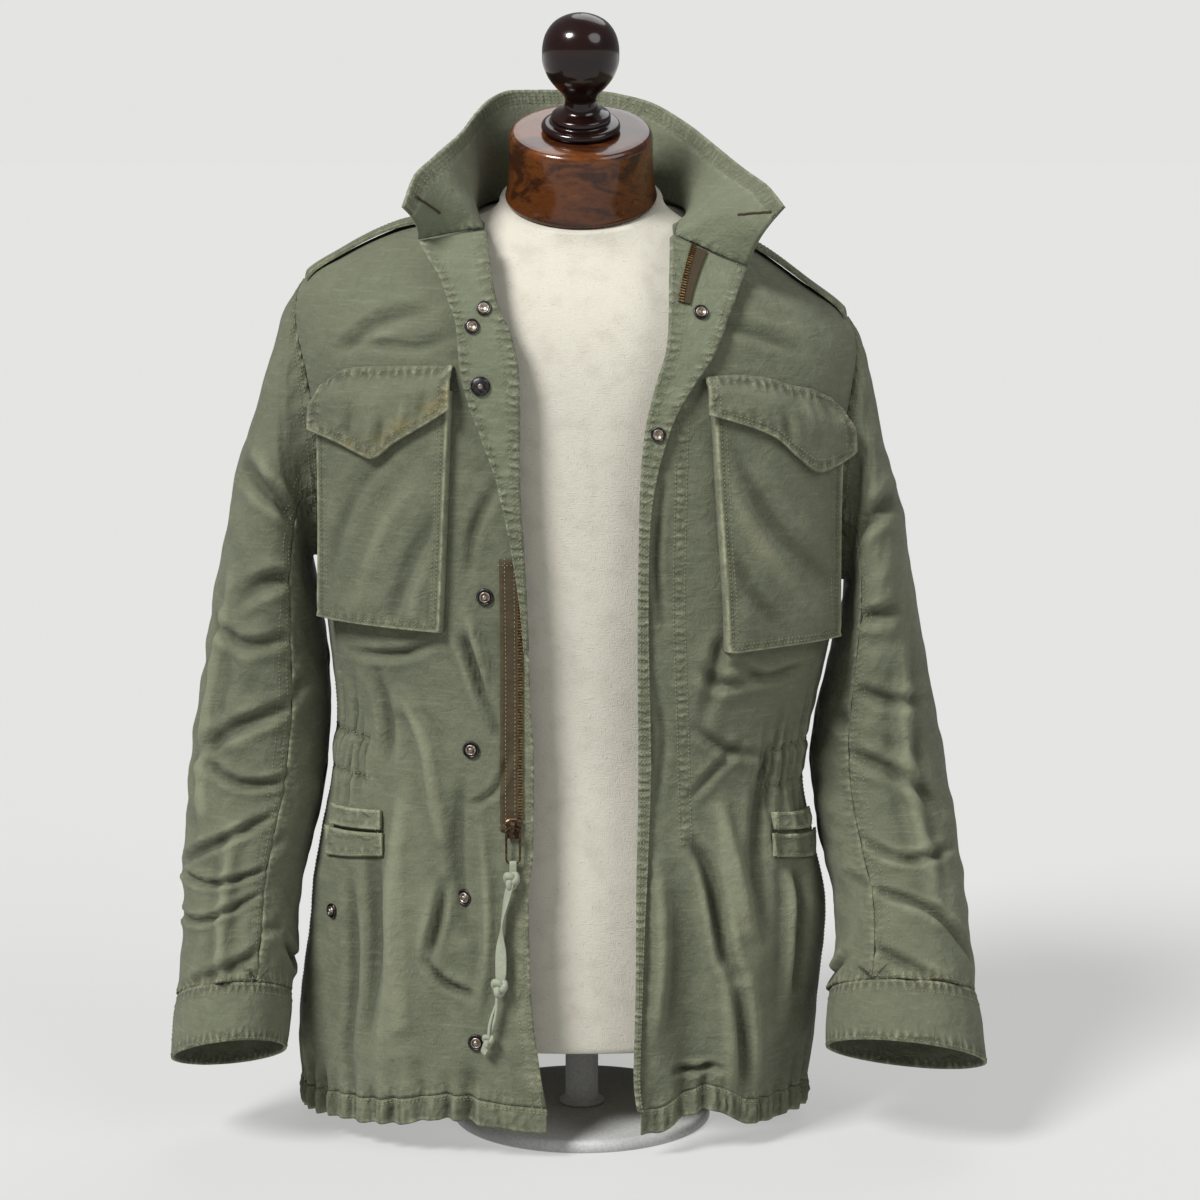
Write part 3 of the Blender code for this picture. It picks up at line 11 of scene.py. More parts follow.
import bpy
import numpy as np
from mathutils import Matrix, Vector

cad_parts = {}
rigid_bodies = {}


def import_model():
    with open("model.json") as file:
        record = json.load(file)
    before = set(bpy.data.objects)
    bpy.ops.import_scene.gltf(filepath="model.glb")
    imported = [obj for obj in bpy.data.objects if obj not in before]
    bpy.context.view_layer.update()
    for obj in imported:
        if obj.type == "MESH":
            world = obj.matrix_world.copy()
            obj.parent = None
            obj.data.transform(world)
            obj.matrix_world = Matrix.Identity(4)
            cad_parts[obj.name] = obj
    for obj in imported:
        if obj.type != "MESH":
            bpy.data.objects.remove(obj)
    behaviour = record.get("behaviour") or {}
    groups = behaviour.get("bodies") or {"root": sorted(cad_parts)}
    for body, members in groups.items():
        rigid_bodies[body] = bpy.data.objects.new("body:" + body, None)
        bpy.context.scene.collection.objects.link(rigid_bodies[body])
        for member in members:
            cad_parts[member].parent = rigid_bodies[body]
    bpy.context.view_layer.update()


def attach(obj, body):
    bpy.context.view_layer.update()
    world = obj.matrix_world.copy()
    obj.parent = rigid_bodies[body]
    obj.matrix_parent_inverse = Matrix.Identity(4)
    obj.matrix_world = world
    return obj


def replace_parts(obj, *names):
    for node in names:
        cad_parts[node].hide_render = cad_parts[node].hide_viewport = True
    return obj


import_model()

bl_info = {
    "name": "Field jacket on a dress form",
    "version": (1, 0, 0),
    "blender": (4, 5, 0),
    "location": "3D View > Sidebar > Jacket",
    "description": "Builds a worn cotton field jacket on a linen dress form",
    "category": "Add Mesh",
}

# ---------------------------------------------------------------- the cut's sizes
# Lengths are in metres and turns in degrees. A *_DEGREE is the cloth to one degree of turn.
CLOTH = 0.0016
DOUBLE_CLOTH = 0.0024
HEM_RISE = 0.042
NECK_RISE = 0.772
HEM_HEIGHT = 0.0215
ARMHOLE_MIDDLE = 0.588
ARMHOLE_HALF = 0.113
ARMHOLE_FRONT_TURN = 19.0
ARMHOLE_BACK_TURN = 29.0
WAIST_RISE = 0.322
WAIST_CORDS = (0.306, 0.338)
CORD_SINK = 0.0026
CORD_PUCKER = 0.006
CORD_SEWING = 0.0015
SEAM_PUCKER = 0.008
SEAM_WEAR = 0.003
HEM_FADE = 0.016
# Depth of a fold at which its painted shade is full.
FULL_PAINTED_SHADE = 0.0045
WAIST_FROM = (50.0, 56.0)
BODY_DEGREE = 0.0037
SLEEVE_DEGREE = 0.00105
SLEEVE_LENGTH = 0.64
ARM_SPLIT = 60.0
SLEEVE_ROWS = 190
ROLL_RADIUS = 0.0014
ROLL_REACH = 0.0035
PLACE = np.array((0.00485, 0.00763, 0.0))
SIDES = {-1: "right", 1: "left"}

SECTION_COLUMNS = ("rise", "half", "front", "back", "centre", "tilt", "pitch", "square")
SECTIONS = (
    (0.018, 0.213, 0.133, 0.126, -0.027, 0.0, 0.0, 2.2),
    (0.1, 0.2205, 0.133, 0.125, -0.023, 0.0, 0.0, 2.2),
    (0.19, 0.2185, 0.131, 0.119, -0.014, 0.01, 0.0, 2.2),
    (0.25, 0.208, 0.127, 0.112, -0.015, 0.016, 0.0, 2.2),
    (0.305, 0.1985, 0.123, 0.107, -0.0145, 0.022, 0.0, 2.2),
    (0.34, 0.1985, 0.123, 0.1065, -0.011, 0.026, 0.0, 2.2),
    (0.375, 0.2025, 0.1245, 0.108, -0.008, 0.03, 0.0, 2.2),
    (0.45, 0.214, 0.128, 0.113, -0.0045, 0.044, 0.0, 2.3),
    (0.55, 0.219, 0.13, 0.119, -0.005, 0.06, 0.0, 2.3),
    (0.62, 0.228, 0.1285, 0.12, -0.006, 0.07, 0.0, 2.3),
    (0.67, 0.2345, 0.124, 0.117, -0.007, 0.07, 0.0, 2.2),
    (0.69, 0.231, 0.12, 0.1125, -0.007, 0.07, 0.0, 2.1),
    (0.705, 0.2215, 0.1155, 0.1075, -0.007, 0.07, 0.0, 2.0),
    (0.725, 0.19, 0.108, 0.1, -0.007, 0.07, 0.01, 2.0),
    (0.748, 0.1505, 0.098, 0.092, -0.006, 0.06, 0.05, 2.0),
    (0.762, 0.118, 0.092, 0.087, -0.004, 0.03, 0.12, 2.0),
    (0.772, 0.087, 0.086, 0.082, -0.003, 0.0, 0.2, 2.0),
)
EDGE_COLUMNS = ("height", "right", "left")
FRONT_EDGES = (
    (0.015, -0.026, 0.047),
    (0.07, -0.036, 0.04),
    (0.144, -0.0437, 0.0415),
    (0.222, -0.0455, 0.042),
    (0.256, -0.0417, 0.0425),
    (0.332, -0.0409, 0.0435),
    (0.383, -0.0437, 0.043),
    (0.44, -0.0448, 0.0428),
    (0.5, -0.0475, 0.0432),
    (0.563, -0.0508, 0.0446),
    (0.603, -0.0508, 0.0478),
    (0.643, -0.0512, 0.0565),
    (0.675, -0.0575, 0.0655),
    (0.7, -0.069, 0.0672),
    (0.725, -0.074, 0.0675),
    (0.755, -0.0775, 0.0684),
)
FACING_COLUMNS = ("fold", "edge", "width", "lift")
FACING_RIGHT = (
    (0.43, 0.43, 0.0045, 0.0),
    (0.47, 0.47, 0.0068, 0.0),
    (0.4935, 0.4935, 0.0092, 0.0),
    (0.523, 0.523, 0.0125, 0.001),
    (0.5587, 0.5587, 0.019, 0.001),
    (0.592, 0.592, 0.0305, 0.002),
    (0.6195, 0.6195, 0.0405, 0.002),
    (0.647, 0.647, 0.0464, 0.003),
    (0.673, 0.673, 0.043, 0.004),
    (0.697, 0.69, 0.0365, 0.005),
    (0.72, 0.707, 0.038, 0.006),
    (0.74, 0.722, 0.045, 0.007),
    (0.754, 0.734, 0.0515, 0.008),
)
FACING_LEFT = (
    (0.046, 0.046, 0.0045, 0.0),
    (0.1, 0.1, 0.005, 0.0),
    (0.15, 0.15, 0.0055, 0.0),
    (0.24, 0.24, 0.0085, 0.0),
    (0.344, 0.344, 0.0098, 0.0),
    (0.43, 0.43, 0.0088, 0.0),
    (0.5024, 0.5024, 0.008, 0.0),
    (0.535, 0.535, 0.0087, 0.001),
    (0.5691, 0.5691, 0.0125, 0.001),
    (0.6, 0.6, 0.0175, 0.002),
    (0.6258, 0.6258, 0.0228, 0.002),
    (0.65, 0.65, 0.031, 0.003),
    (0.678, 0.674, 0.038, 0.004),
    (0.708, 0.698, 0.046, 0.005),
    (0.735, 0.715, 0.052, 0.006),
    (0.756, 0.73, 0.057, 0.008),
)
COLLAR_COLUMNS = ("along", "x", "y", "z")
COLLAR_EDGE = (
    (0.0, -0.1424, -0.115, 0.7798),
    (0.07, -0.1335, -0.1, 0.8053),
    (0.14, -0.1173, -0.07, 0.8211),
    (0.22, -0.099, -0.03, 0.837),
    (0.3, -0.088, 0.015, 0.8526),
    (0.36, -0.0775, 0.045, 0.8638),
    (0.42, -0.061, 0.078, 0.8703),
    (0.5, -0.003, 0.104, 0.8705),
    (0.58, 0.05, 0.085, 0.862),
    (0.65, 0.08, 0.053, 0.8465),
    (0.72, 0.107, 0.012, 0.826),
    (0.8, 0.129, -0.03, 0.8085),
    (0.91, 0.149, -0.085, 0.7935),
    (1.0, 0.1573, -0.115, 0.7806),
)
SLEEVE_COLUMNS = ("outer_x", "outer_z", "inner_z", "clear", "middle_y", "depth", "pitch")
SLEEVE_RIGHT = (
    (-0.248, 0.693, 0.485, 0.008, 0.007, 0.053, 0.0),
    (-0.26, 0.657, 0.479, 0.01, 0.008, 0.061, 0.0),
    (-0.2721, 0.6156, 0.471, 0.0095, 0.008, 0.0675, 0.0),
    (-0.2858, 0.5732, 0.46, 0.008, 0.008, 0.072, 0.0),
    (-0.2963, 0.5304, 0.445, 0.007, 0.0095, 0.075, 0.0),
    (-0.3067, 0.4792, 0.424, 0.006, 0.012, 0.077, 0.0),
    (-0.3155, 0.433, 0.398, 0.006, 0.012, 0.0755, 0.0),
    (-0.3227, 0.3877, 0.365, 0.006, 0.012, 0.073, 0.02),
    (-0.33, 0.34, 0.328, 0.0055, 0.008, 0.07, 0.06),
    (-0.3357, 0.2977, 0.29, 0.0055, 0.0, 0.067, 0.14),
    (-0.3372, 0.255, 0.25, 0.006, -0.013, 0.0635, 0.24),
    (-0.3379, 0.2121, 0.21, 0.008, -0.028, 0.0605, 0.33),
    (-0.3382, 0.16, 0.16, 0.007, -0.048, 0.058, 0.41),
    (-0.3404, 0.121, 0.127, 0.005, -0.064, 0.0565, 0.45),
    (-0.3436, 0.072, 0.083, 0.006, -0.08, 0.056, 0.46),
)
SLEEVE_LEFT = (
    (0.231, 0.663, 0.464, 0.008, 0.007, 0.053, 0.0),
    (0.239, 0.63, 0.458, 0.01, 0.008, 0.061, 0.0),
    (0.2475, 0.59, 0.45, 0.0095, 0.008, 0.0675, 0.0),
    (0.2561, 0.5563, 0.44, 0.008, 0.008, 0.072, 0.0),
    (0.2655, 0.52, 0.427, 0.007, 0.0095, 0.075, 0.0),
    (0.274, 0.475, 0.408, 0.006, 0.012, 0.077, 0.0),
    (0.2805, 0.44, 0.385, 0.006, 0.012, 0.0755, 0.0),
    (0.29, 0.387, 0.356, 0.006, 0.012, 0.073, 0.02),
    (0.3, 0.335, 0.32, 0.006, 0.008, 0.07, 0.06),
    (0.3112, 0.2752, 0.27, 0.0065, 0.0, 0.067, 0.14),
    (0.3167, 0.2269, 0.226, 0.006, -0.018, 0.0645, 0.24),
    (0.32, 0.2, 0.2, 0.006, -0.031, 0.0625, 0.33),
    (0.3234, 0.165, 0.168, 0.006, -0.047, 0.0615, 0.41),
    (0.3267, 0.123, 0.128, 0.005, -0.062, 0.0605, 0.45),
    (0.3339, 0.068, 0.084, 0.006, -0.08, 0.062, 0.46),
)
HEM_COLUMNS = ("turn", "height")
HEM_LINE = (
    (-180, 0.02),
    (-120, 0.024),
    (-85, 0.02),
    (-51, 0.0215),
    (-32, 0.029),
    (-23, 0.0345),
    (-9, 0.0275),
    (5, 0.023),
    (22, 0.022),
    (28, 0.029),
    (35, 0.039),
    (46, 0.0225),
    (56, 0.019),
    (85, 0.019),
    (120, 0.024),
    (180, 0.02),
)
FOLD_COLUMNS = ("low_turn", "high_turn", "low", "high", "width", "depth")
# The large soft folds. width is half of one, in degrees; a depth below 0 sinks.
FOLDS = (
    (-40, -34, -0.06, 0.42, 7.0, 0.0055),
    (-54, -50, -0.08, 0.33, 8.0, -0.005),
    (-22, -26, 0.02, 0.3, 5.0, -0.0045),
    (-13, -24, 0.3, 0.56, 5.0, -0.004),
    (-70, -72, -0.06, 0.3, 7.0, 0.0035),
    (32, 24, -0.08, 0.3, 4.5, -0.008),
    (42, 38, -0.08, 0.38, 7.0, 0.006),
    (60, 56, -0.08, 0.3, 7.0, -0.0035),
    (40, 28, 0.34, 0.56, 7.0, 0.0035),
    (112, 110, -0.08, 0.28, 8.0, 0.0045),
    (132, 134, -0.08, 0.33, 8.0, -0.005),
    (160, 158, -0.08, 0.3, 9.0, 0.005),
    (188, 186, -0.08, 0.34, 9.0, -0.005),
    (212, 214, -0.08, 0.3, 8.0, 0.005),
    (236, 232, -0.08, 0.28, 8.0, -0.004),
    (140, 128, 0.37, 0.64, 9.0, 0.0035),
    (222, 234, 0.37, 0.64, 9.0, 0.0035),
)


def creases(rows, across=1000, up=1000):
    """Creases as (line, half width, depth). A row is the last two in mm, then a pair for each point."""
    return tuple(([(a / across, b / up) for a, b in zip(row[2::2], row[3::2])], *row[:2]) for row in rows)


# Creases of the fronts: each point is x and height in mm. A depth below 0 sinks.
FRONT_CREASES = {
    -1: creases((
        (5.0, -2.6, -104, 450, -86, 401, -71, 355), (4.0, 1.6, -99, 464, -84, 417, -75, 364),
        (5.0, -2.6, -129, 165, -121, 197, -114, 232), (4.5, -2.4, -129, 165, -114, 147, -94, 140),
        (7.0, 2.2, -149, 384, -127, 335, -118, 268), (6.0, -2.0, -170, 400, -160, 352, -163, 322),
        (9.0, 2.0, -150, 300, -157, 218, -150, 110), (8.0, -2.2, -178, 252, -172, 180, -180, 90),
        (6.0, -1.6, -196, 230, -193, 150, -200, 70), (7.0, -1.8, -100, 320, -104, 260, -98, 190),
        (6.0, 1.6, -85, 290, -79, 200, -88, 120), (7.0, -1.4, -120, 700, -160, 690, -205, 655),
        (6.0, -1.0, -100, 680, -140, 668, -190, 668), (6.0, -1.4, -70, 560, -90, 520, -100, 470),
        (4.0, -1.2, -60, 340, -72, 310, -92, 295), (5.0, -1.6, -120, 432, -150, 418, -190, 414),
    )),
    1: creases((
        (7.0, -1.8, 129, 499, 110, 433, 98, 368),
        (6.5, -4.4, 88, 265, 100, 244, 108, 208, 115, 169, 123, 151),
        (7.0, -3.2, 123, 151, 129, 100, 132, 49), (4.0, -2.6, 76, 68, 95, 58.5, 112, 58.5),
        (8.0, 2.6, 110, 290, 122, 240, 132, 190), (8.0, -2.0, 150, 330, 142, 262, 150, 180),
        (7.0, 1.8, 166, 300, 172, 200, 168, 100), (8.0, 1.8, 60, 250, 64, 180, 58, 100),
        (6.0, -1.6, 94, 410, 112, 395, 140, 398), (5.0, -1.5, 120, 412, 150, 398, 186, 404),
        (5.0, -1.5, 90, 360, 115, 340, 142, 331), (5.0, -1.2, 85, 300, 103, 320, 130, 345),
        (7.0, -1.3, 100, 690, 140, 678, 190, 655), (4.5, -1.3, 62, 560, 57, 500, 64, 440),
        (5.0, -1.0, 56, 400, 64, 350, 58, 300), (6.0, -2.0, 160, 262, 180, 200, 178, 130),
    )),
}
# The same for the back, where x runs from the wearer's right.
BACK_CREASES = creases((
    (9.0, -2.2, -150, 640, -120, 560, -130, 470), (9.0, -2.2, 140, 640, 118, 560, 126, 470),
    (7.0, -1.8, -180, 500, -120, 450, -60, 430), (7.0, -1.8, 170, 500, 110, 440, 50, 425),
    (8.0, -1.2, -90, 700, 0, 685, 90, 698), (6.0, -1.5, -160, 400, -100, 380, -40, 385),
    (6.0, -1.5, 150, 395, 90, 372, 30, 380), (9.0, 2.2, -100, 290, -110, 200, -104, 100),
    (8.0, -2.2, -40, 280, -30, 180, -36, 90), (8.0, 2.0, 40, 290, 50, 200, 44, 100),
    (8.0, -2.2, 110, 280, 120, 190, 110, 100),
))
# Creases of the sleeves: each point is hundredths of the way down the sleeve and degrees round it.
SLEEVE_CREASES = {
    -1: creases((
        (8.0, -2.6, 10, 60, 17, 110, 20, 160), (8.0, -2.4, 20, 40, 26, 80, 33, 120),
        (7.0, -1.8, 34, 60, 38, 110, 37, 160), (8.0, -2.2, 44, 50, 49, 100, 55, 150),
        (6.0, -2.0, 56, 40, 58, 90, 55, 140), (6.0, -2.2, 62, 60, 67, 110, 70, 170),
        (4.0, -2.4, 70, 50, 73, 110, 70, 175), (4.0, -2.2, 74, 60, 78, 120, 76, 180),
        (7.0, -2.0, 80, 40, 85, 90, 87, 150), (10.0, 2.0, 30, 130, 50, 140, 66, 128),
        (9.0, 1.8, 64, 95, 80, 100, 92, 90), (8.0, -2.4, 30, 220, 36, 260, 44, 300),
        (7.0, -2.4, 54, 210, 58, 260, 56, 310), (6.0, -2.2, 68, 220, 72, 270, 78, 310),
        (6.0, -2.4, 56, 330, 60, 360, 58, 390), (6.0, -2.2, 66, 330, 69, 365, 72, 400),
    ), across=100, up=1),
    1: creases((
        (8.0, -2.4, 8, 70, 15, 110, 20, 165), (8.0, -2.2, 22, 40, 27, 90, 30, 130),
        (7.0, -1.6, 36, 60, 41, 110, 42, 160), (8.0, -2.0, 46, 40, 50, 90, 57, 140),
        (6.0, -1.8, 60, 50, 64, 100, 62, 150), (6.0, -2.4, 68, 50, 72, 110, 78, 160),
        (6.0, -2.0, 76, 40, 80, 90, 84, 140), (10.0, 2.0, 34, 120, 52, 110, 70, 118),
        (5.0, -1.6, 84, 60, 88, 110, 86, 160), (8.0, -2.4, 30, 220, 38, 260, 42, 310),
        (7.0, -2.4, 52, 210, 57, 260, 60, 310), (6.0, -2.2, 66, 220, 72, 270, 74, 310),
        (6.0, -2.4, 55, 330, 59, 360, 57, 390), (6.0, -2.2, 67, 330, 70, 365, 74, 400),
    ), across=100, up=1),
}

# Corners of the chest pockets as (x, height): outer low, inner low, inner high, outer high.
POCKET_CORNERS = {
    -1: ((-0.208, 0.443), (-0.113, 0.439), (-0.104, 0.635), (-0.212, 0.618)),
    1: ((0.112, 0.423), (0.199, 0.427), (0.205, 0.596), (0.1, 0.625)),
}
POCKET_DEPTH = 0.0095
POCKET_FLARE = 0.006
FLAP_COLUMNS = ("along", "top", "bottom")
FLAP_ENDS = {-1: (-0.213, -0.104), 1: (0.096, 0.209)}
FLAP_RIGHT = (
    (0.0, 0.6335, 0.5998),
    (0.2, 0.6495, 0.592),
    (0.36, 0.652, 0.5835),
    (0.45, 0.6525, 0.5795),
    (0.62, 0.6535, 0.5935),
    (0.85, 0.6545, 0.6095),
    (1.0, 0.6551, 0.6207),
)
# Dents of both flaps: share along the flap, height of the low end, depth in mm.
FLAP_DENTS = ((0.3, 0.59, -0.7), (0.52, 0.585, -0.9), (0.68, 0.6, 0.6), (0.82, 0.606, -0.7))
FLAP_LEFT = (
    (0.0, 0.6455, 0.6159),
    (0.2, 0.6465, 0.609),
    (0.45, 0.643, 0.5965),
    (0.6, 0.637, 0.58),
    (0.75, 0.633, 0.5667),
    (0.9, 0.624, 0.573),
    (1.0, 0.613, 0.58),
)
HIP_FLAP = {
    -1: ((-0.209, 0.266), (-0.1669, 0.27), (-0.1669, 0.286), (-0.209, 0.2815)),
    1: ((0.186, 0.259), (0.1537, 0.2675), (0.1537, 0.2815), (0.186, 0.2735)),
}
HIP_WELT = {
    -1: ((-0.214, 0.24), (-0.1655, 0.249), (-0.1655, 0.2675), (-0.214, 0.2625)),
    1: ((0.191, 0.235), (0.153, 0.246), (0.153, 0.2645), (0.191, 0.254)),
}
STRAP_ENDS = {-1: (-0.227, -0.112), 1: (0.213, 0.112)}
STRAP_WIDTHS = ((0.0, 0.024), (0.55, 0.0205), (0.85, 0.018), (1.0, 0.004))
ZIP_TAPE_X = (-0.0682, -0.0515)
ZIP_HEIGHTS = (0.2765, 0.5)
SNAPS = {
    "snap_stud_1": (-0.0803, 0.4684, 0.007, "front"),
    "snap_stud_2": (-0.0917, 0.3424, 0.007, "front"),
    "snap_stud_3": (-0.0987, 0.22, 0.007, "front"),
    "snap_stud_4": (-0.0887, 0.0946, 0.007, "front"),
    "snap_ring_1": (-0.0793, 0.6998, 0.006, "facing"),
    "snap_ring_2": (-0.089, 0.6862, 0.006, "facing"),
    "snap_cap_1": (-0.082, 0.6391, 0.0078, "facing"),
    "snap_socket_1": (0.093, 0.696, 0.006, "facing"),
    "snap_socket_2": (0.059, 0.601, 0.006, "facing"),
    "snap_hip": (-0.21, 0.1955, 0.006, "front"),
}
# The form: how far its torso stands in from the cloth's rings, and how far its front sinks to the neck.
EASE_COLUMNS = ("rise", "side", "front", "back", "sink")
TORSO_EASE = (
    (0.08, 0.052, 0.033, 0.03, 0.0),
    (0.19, 0.05, 0.03, 0.022, 0.0),
    (0.32, 0.048, 0.026, 0.016, 0.0),
    (0.45, 0.045, 0.022, 0.014, 0.0),
    (0.56, 0.042, 0.02, 0.014, 0.0),
    (0.64, 0.04, 0.016, 0.012, 0.0),
    (0.69, 0.027, 0.013, 0.007, 0.0),
    (0.712, 0.006, 0.018, 0.002, 0.002),
    (0.726, 0.0, 0.0225, 0.0, 0.005),
    (0.738, 0.0, 0.028, 0.0, 0.007),
    (0.75, 0.0, 0.033, 0.0, 0.01),
    (0.759, 0.0, 0.037, 0.0, 0.013),
    (0.768, 0.0, 0.039, 0.0, 0.016),
)
TORSO_BOTTOM = 0.081
TORSO_CENTRE = -0.003
SEAT_GAP = 0.0014
NECK_LEAN = 22.0
NECK_TOP = np.array((-0.003, 0.009, 0.7815))
NECK_RADIUS = 0.0675
BLOCK_HEIGHT = 0.062
BASE_RADIUS = 0.11
BASE_HEIGHT = 0.01
POST_RADIUS = 0.014


# ---------------------------------------------------------------- curves through tables
def spline(places, values):
    """A smooth curve through the values that never overshoots them; it reads whole arrays."""
    places = np.array(places, float)
    values = np.array(values, float)
    steps = np.diff(places)
    rates = np.diff(values) / steps
    slopes = np.zeros(len(places))
    slopes[0] = rates[0]
    slopes[-1] = rates[-1]
    for i in range(1, len(rates)):
        if rates[i - 1] * rates[i] > 0:
            near = 2 * steps[i] + steps[i - 1]
            far = steps[i] + 2 * steps[i - 1]
            slopes[i] = (near + far) / (near / rates[i - 1] + far / rates[i])

    def at(place):
        place = np.clip(place, places[0], places[-1])
        i = np.clip(np.searchsorted(places, place, side="right") - 1, 0, len(steps) - 1)
        t = (place - places[i]) / steps[i]
        rising = values[i] * (1 + 2 * t) * (1 - t) ** 2 + values[i + 1] * t * t * (3 - 2 * t)
        turning = slopes[i] * t * (1 - t) ** 2 - slopes[i + 1] * t * t * (1 - t)
        return rising + turning * steps[i]

    return at


def curves(columns, rows):
    """One curve for each named column, along the first column."""
    first = [row[0] for row in rows]
    return {name: spline(first, [row[i] for row in rows]) for i, name in enumerate(columns) if i}


section = curves(SECTION_COLUMNS, SECTIONS)
edges = curves(EDGE_COLUMNS, FRONT_EDGES)
hem_line = curves(HEM_COLUMNS, HEM_LINE)
ease = curves(EASE_COLUMNS, TORSO_EASE)
collar_edge = curves(COLLAR_COLUMNS, COLLAR_EDGE)
facing_tables = {-1: FACING_RIGHT, 1: FACING_LEFT}
sleeve_tables = {-1: SLEEVE_RIGHT, 1: SLEEVE_LEFT}


def swell(value, low, high):
    """0 outside low to high, rising smoothly to 1 half way."""
    share = np.clip((value - low) / (high - low), 0.0, 1.0)
    return np.sin(math.pi * share) ** 2


def step(value, low, high):
    """0 below low, 1 above high, smooth between."""
    share = np.clip((value - low) / (high - low), 0.0, 1.0)
    return share * share * (3 - 2 * share)


def hump(value, width):
    """1 at 0, falling away evenly on both sides over this width."""
    return np.exp(-((value / width) ** 2))


def unit(vectors):
    """The same directions at length 1."""
    return vectors / np.maximum(np.linalg.norm(vectors, axis=-1, keepdims=True), 1e-12)


def ripple(a, b, size, seed, count=10):
    """Uneven waves of about this size over two coordinates, between about -1 and 1."""
    dice = np.random.default_rng(seed)
    total = 0.0
    for _ in range(count):
        angle = dice.uniform(0, math.pi)
        pace = 2 * math.pi / (size * dice.uniform(0.7, 1.6))
        start = dice.uniform(0, 2 * math.pi)
        total = total + np.sin((a * math.cos(angle) + b * math.sin(angle)) * pace + start)
    return total / math.sqrt(count) / 1.3


def near_line(a, b, line):
    """Distance of every place (a, b) from a line through points, and the share of its length there."""
    best = np.full(np.shape(a), 1e9)
    share = np.zeros(np.shape(a))
    lengths = [math.dist(p, q) for p, q in zip(line[:-1], line[1:])]
    total = sum(lengths)
    done = 0.0
    for (p, q), length in zip(zip(line[:-1], line[1:]), lengths):
        across = (q[0] - p[0], q[1] - p[1])
        t = ((a - p[0]) * across[0] + (b - p[1]) * across[1]) / max(length**2, 1e-12)
        t = np.clip(t, 0.0, 1.0)
        off = np.hypot(a - p[0] - t * across[0], b - p[1] - t * across[1])
        nearer = off < best
        best = np.where(nearer, off, best)
        share = np.where(nearer, (done + t * length) / total, share)
        done += length
    return best, share


def smooth_line(points, count=14):
    """A rounder line through a few points."""
    places = np.linspace(0, 1, len(points))
    x = spline(places, [p[0] for p in points])
    z = spline(places, [p[1] for p in points])
    steps = np.linspace(0, 1, count)
    return list(zip(x(steps), z(steps)))


def crease_relief(a, b, lines):
    """How far soft creases move the cloth out. Each trough has a low ridge on both sides."""
    out = np.zeros(np.shape(a))
    for line, width, depth in lines:
        off, share = near_line(a, b, smooth_line(line))
        width = width * 0.8 / 1000
        shape = hump(off, width) - 0.45 * np.exp(-((off / width - 1.8) ** 2))
        fade = np.sin(math.pi * np.clip(share * 0.92 + 0.04, 0, 1)) ** 0.7
        out += 2.9 * depth / 1000 * shape * fade
    return out


# ---------------------------------------------------------------- the body's surface
def ring_point(turn, rise, side_ease=0.0, front_ease=0.0, back_ease=0.0):
    """Points of the plain rings, before folds."""
    half = section["half"](rise) - side_ease
    front = section["front"](rise) - front_ease
    back = section["back"](rise) - back_ease
    power = section["square"](rise)
    across = np.sin(np.radians(turn))
    ahead = np.cos(np.radians(turn))
    grow = (np.abs(across) ** power + np.abs(ahead) ** power) ** (-1 / power)
    x = half * across * grow
    y = -np.where(ahead > 0, front, back) * ahead * grow
    z = rise - section["tilt"](rise) * x + section["pitch"](rise) * y
    return np.stack(np.broadcast_arrays(x + section["centre"](rise), y, z), axis=-1)


def ring_normal(turn, rise):
    """The outward directions of the plain rings' surface."""
    along = ring_point(turn + 0.2, rise) - ring_point(turn - 0.2, rise)
    low = np.maximum(rise - 0.0005, SECTIONS[0][0])
    high = np.minimum(rise + 0.0005, SECTIONS[-1][0])
    normal = unit(np.cross(along, ring_point(turn, high) - ring_point(turn, low)))
    outward = ring_point(turn, rise)
    outward = outward - np.stack(
        np.broadcast_arrays(section["centre"](rise), 0 * rise, outward[..., 2]), axis=-1
    )
    return normal * np.sign((normal * outward).sum(-1, keepdims=True))


def fold_depth(turn, rise):
    """How far the large folds move the cloth out."""
    turn = (turn + 90) % 360 - 90
    out = 0.0
    for values in FOLDS:
        fold = dict(zip(FOLD_COLUMNS, values))
        low, high = fold["low"], fold["high"]
        share = np.clip((rise - low) / (high - low), 0.0, 1.0)
        off = (turn - fold["low_turn"] - (fold["high_turn"] - fold["low_turn"]) * share + 180) % 360 - 180
        out = out + fold["depth"] * swell(rise, low, high) * hump(off, fold["width"])
    return out


def cloth_point(turn, rise, out=0.0):
    """Points of the jacket's body, folds and hem line included, moved out by a distance."""
    ahead = np.cos(np.radians(turn))
    room = np.where(
        ahead > 0, ease["front"](rise), ease["back"](rise),
    ) * ahead**2 + ease["side"](rise) * (1 - ahead**2)
    reach = np.maximum(fold_depth(turn, rise) + out, -(SEAT_GAP - 0.0003 + 0.8 * room))[..., None]
    point = ring_point(turn, rise) + ring_normal(turn, rise) * reach
    settle = 1 - step(rise, HEM_RISE, 0.15)
    signed = (turn + 180) % 360 - 180
    point[..., 2] += (hem_line["height"](signed) - 0.021) * settle
    return point


def turn_at(x, rise):
    """The turn, always positive, of front points that far from the middle of the ring."""
    power = section["square"](rise)
    share = np.minimum(np.abs(x - section["centre"](rise)) / section["half"](rise), 0.999)
    ratio = (share**power / (1 - share**power)) ** (1 / power)
    return np.degrees(np.arctan(ratio))


def rise_at(x, z):
    """The rise of front points with this x and height."""
    rise = z
    for _ in range(4):
        turn = np.copysign(turn_at(x, rise), x - section["centre"](rise))
        rise = rise + z - ring_point(turn, rise)[..., 2]
    return rise


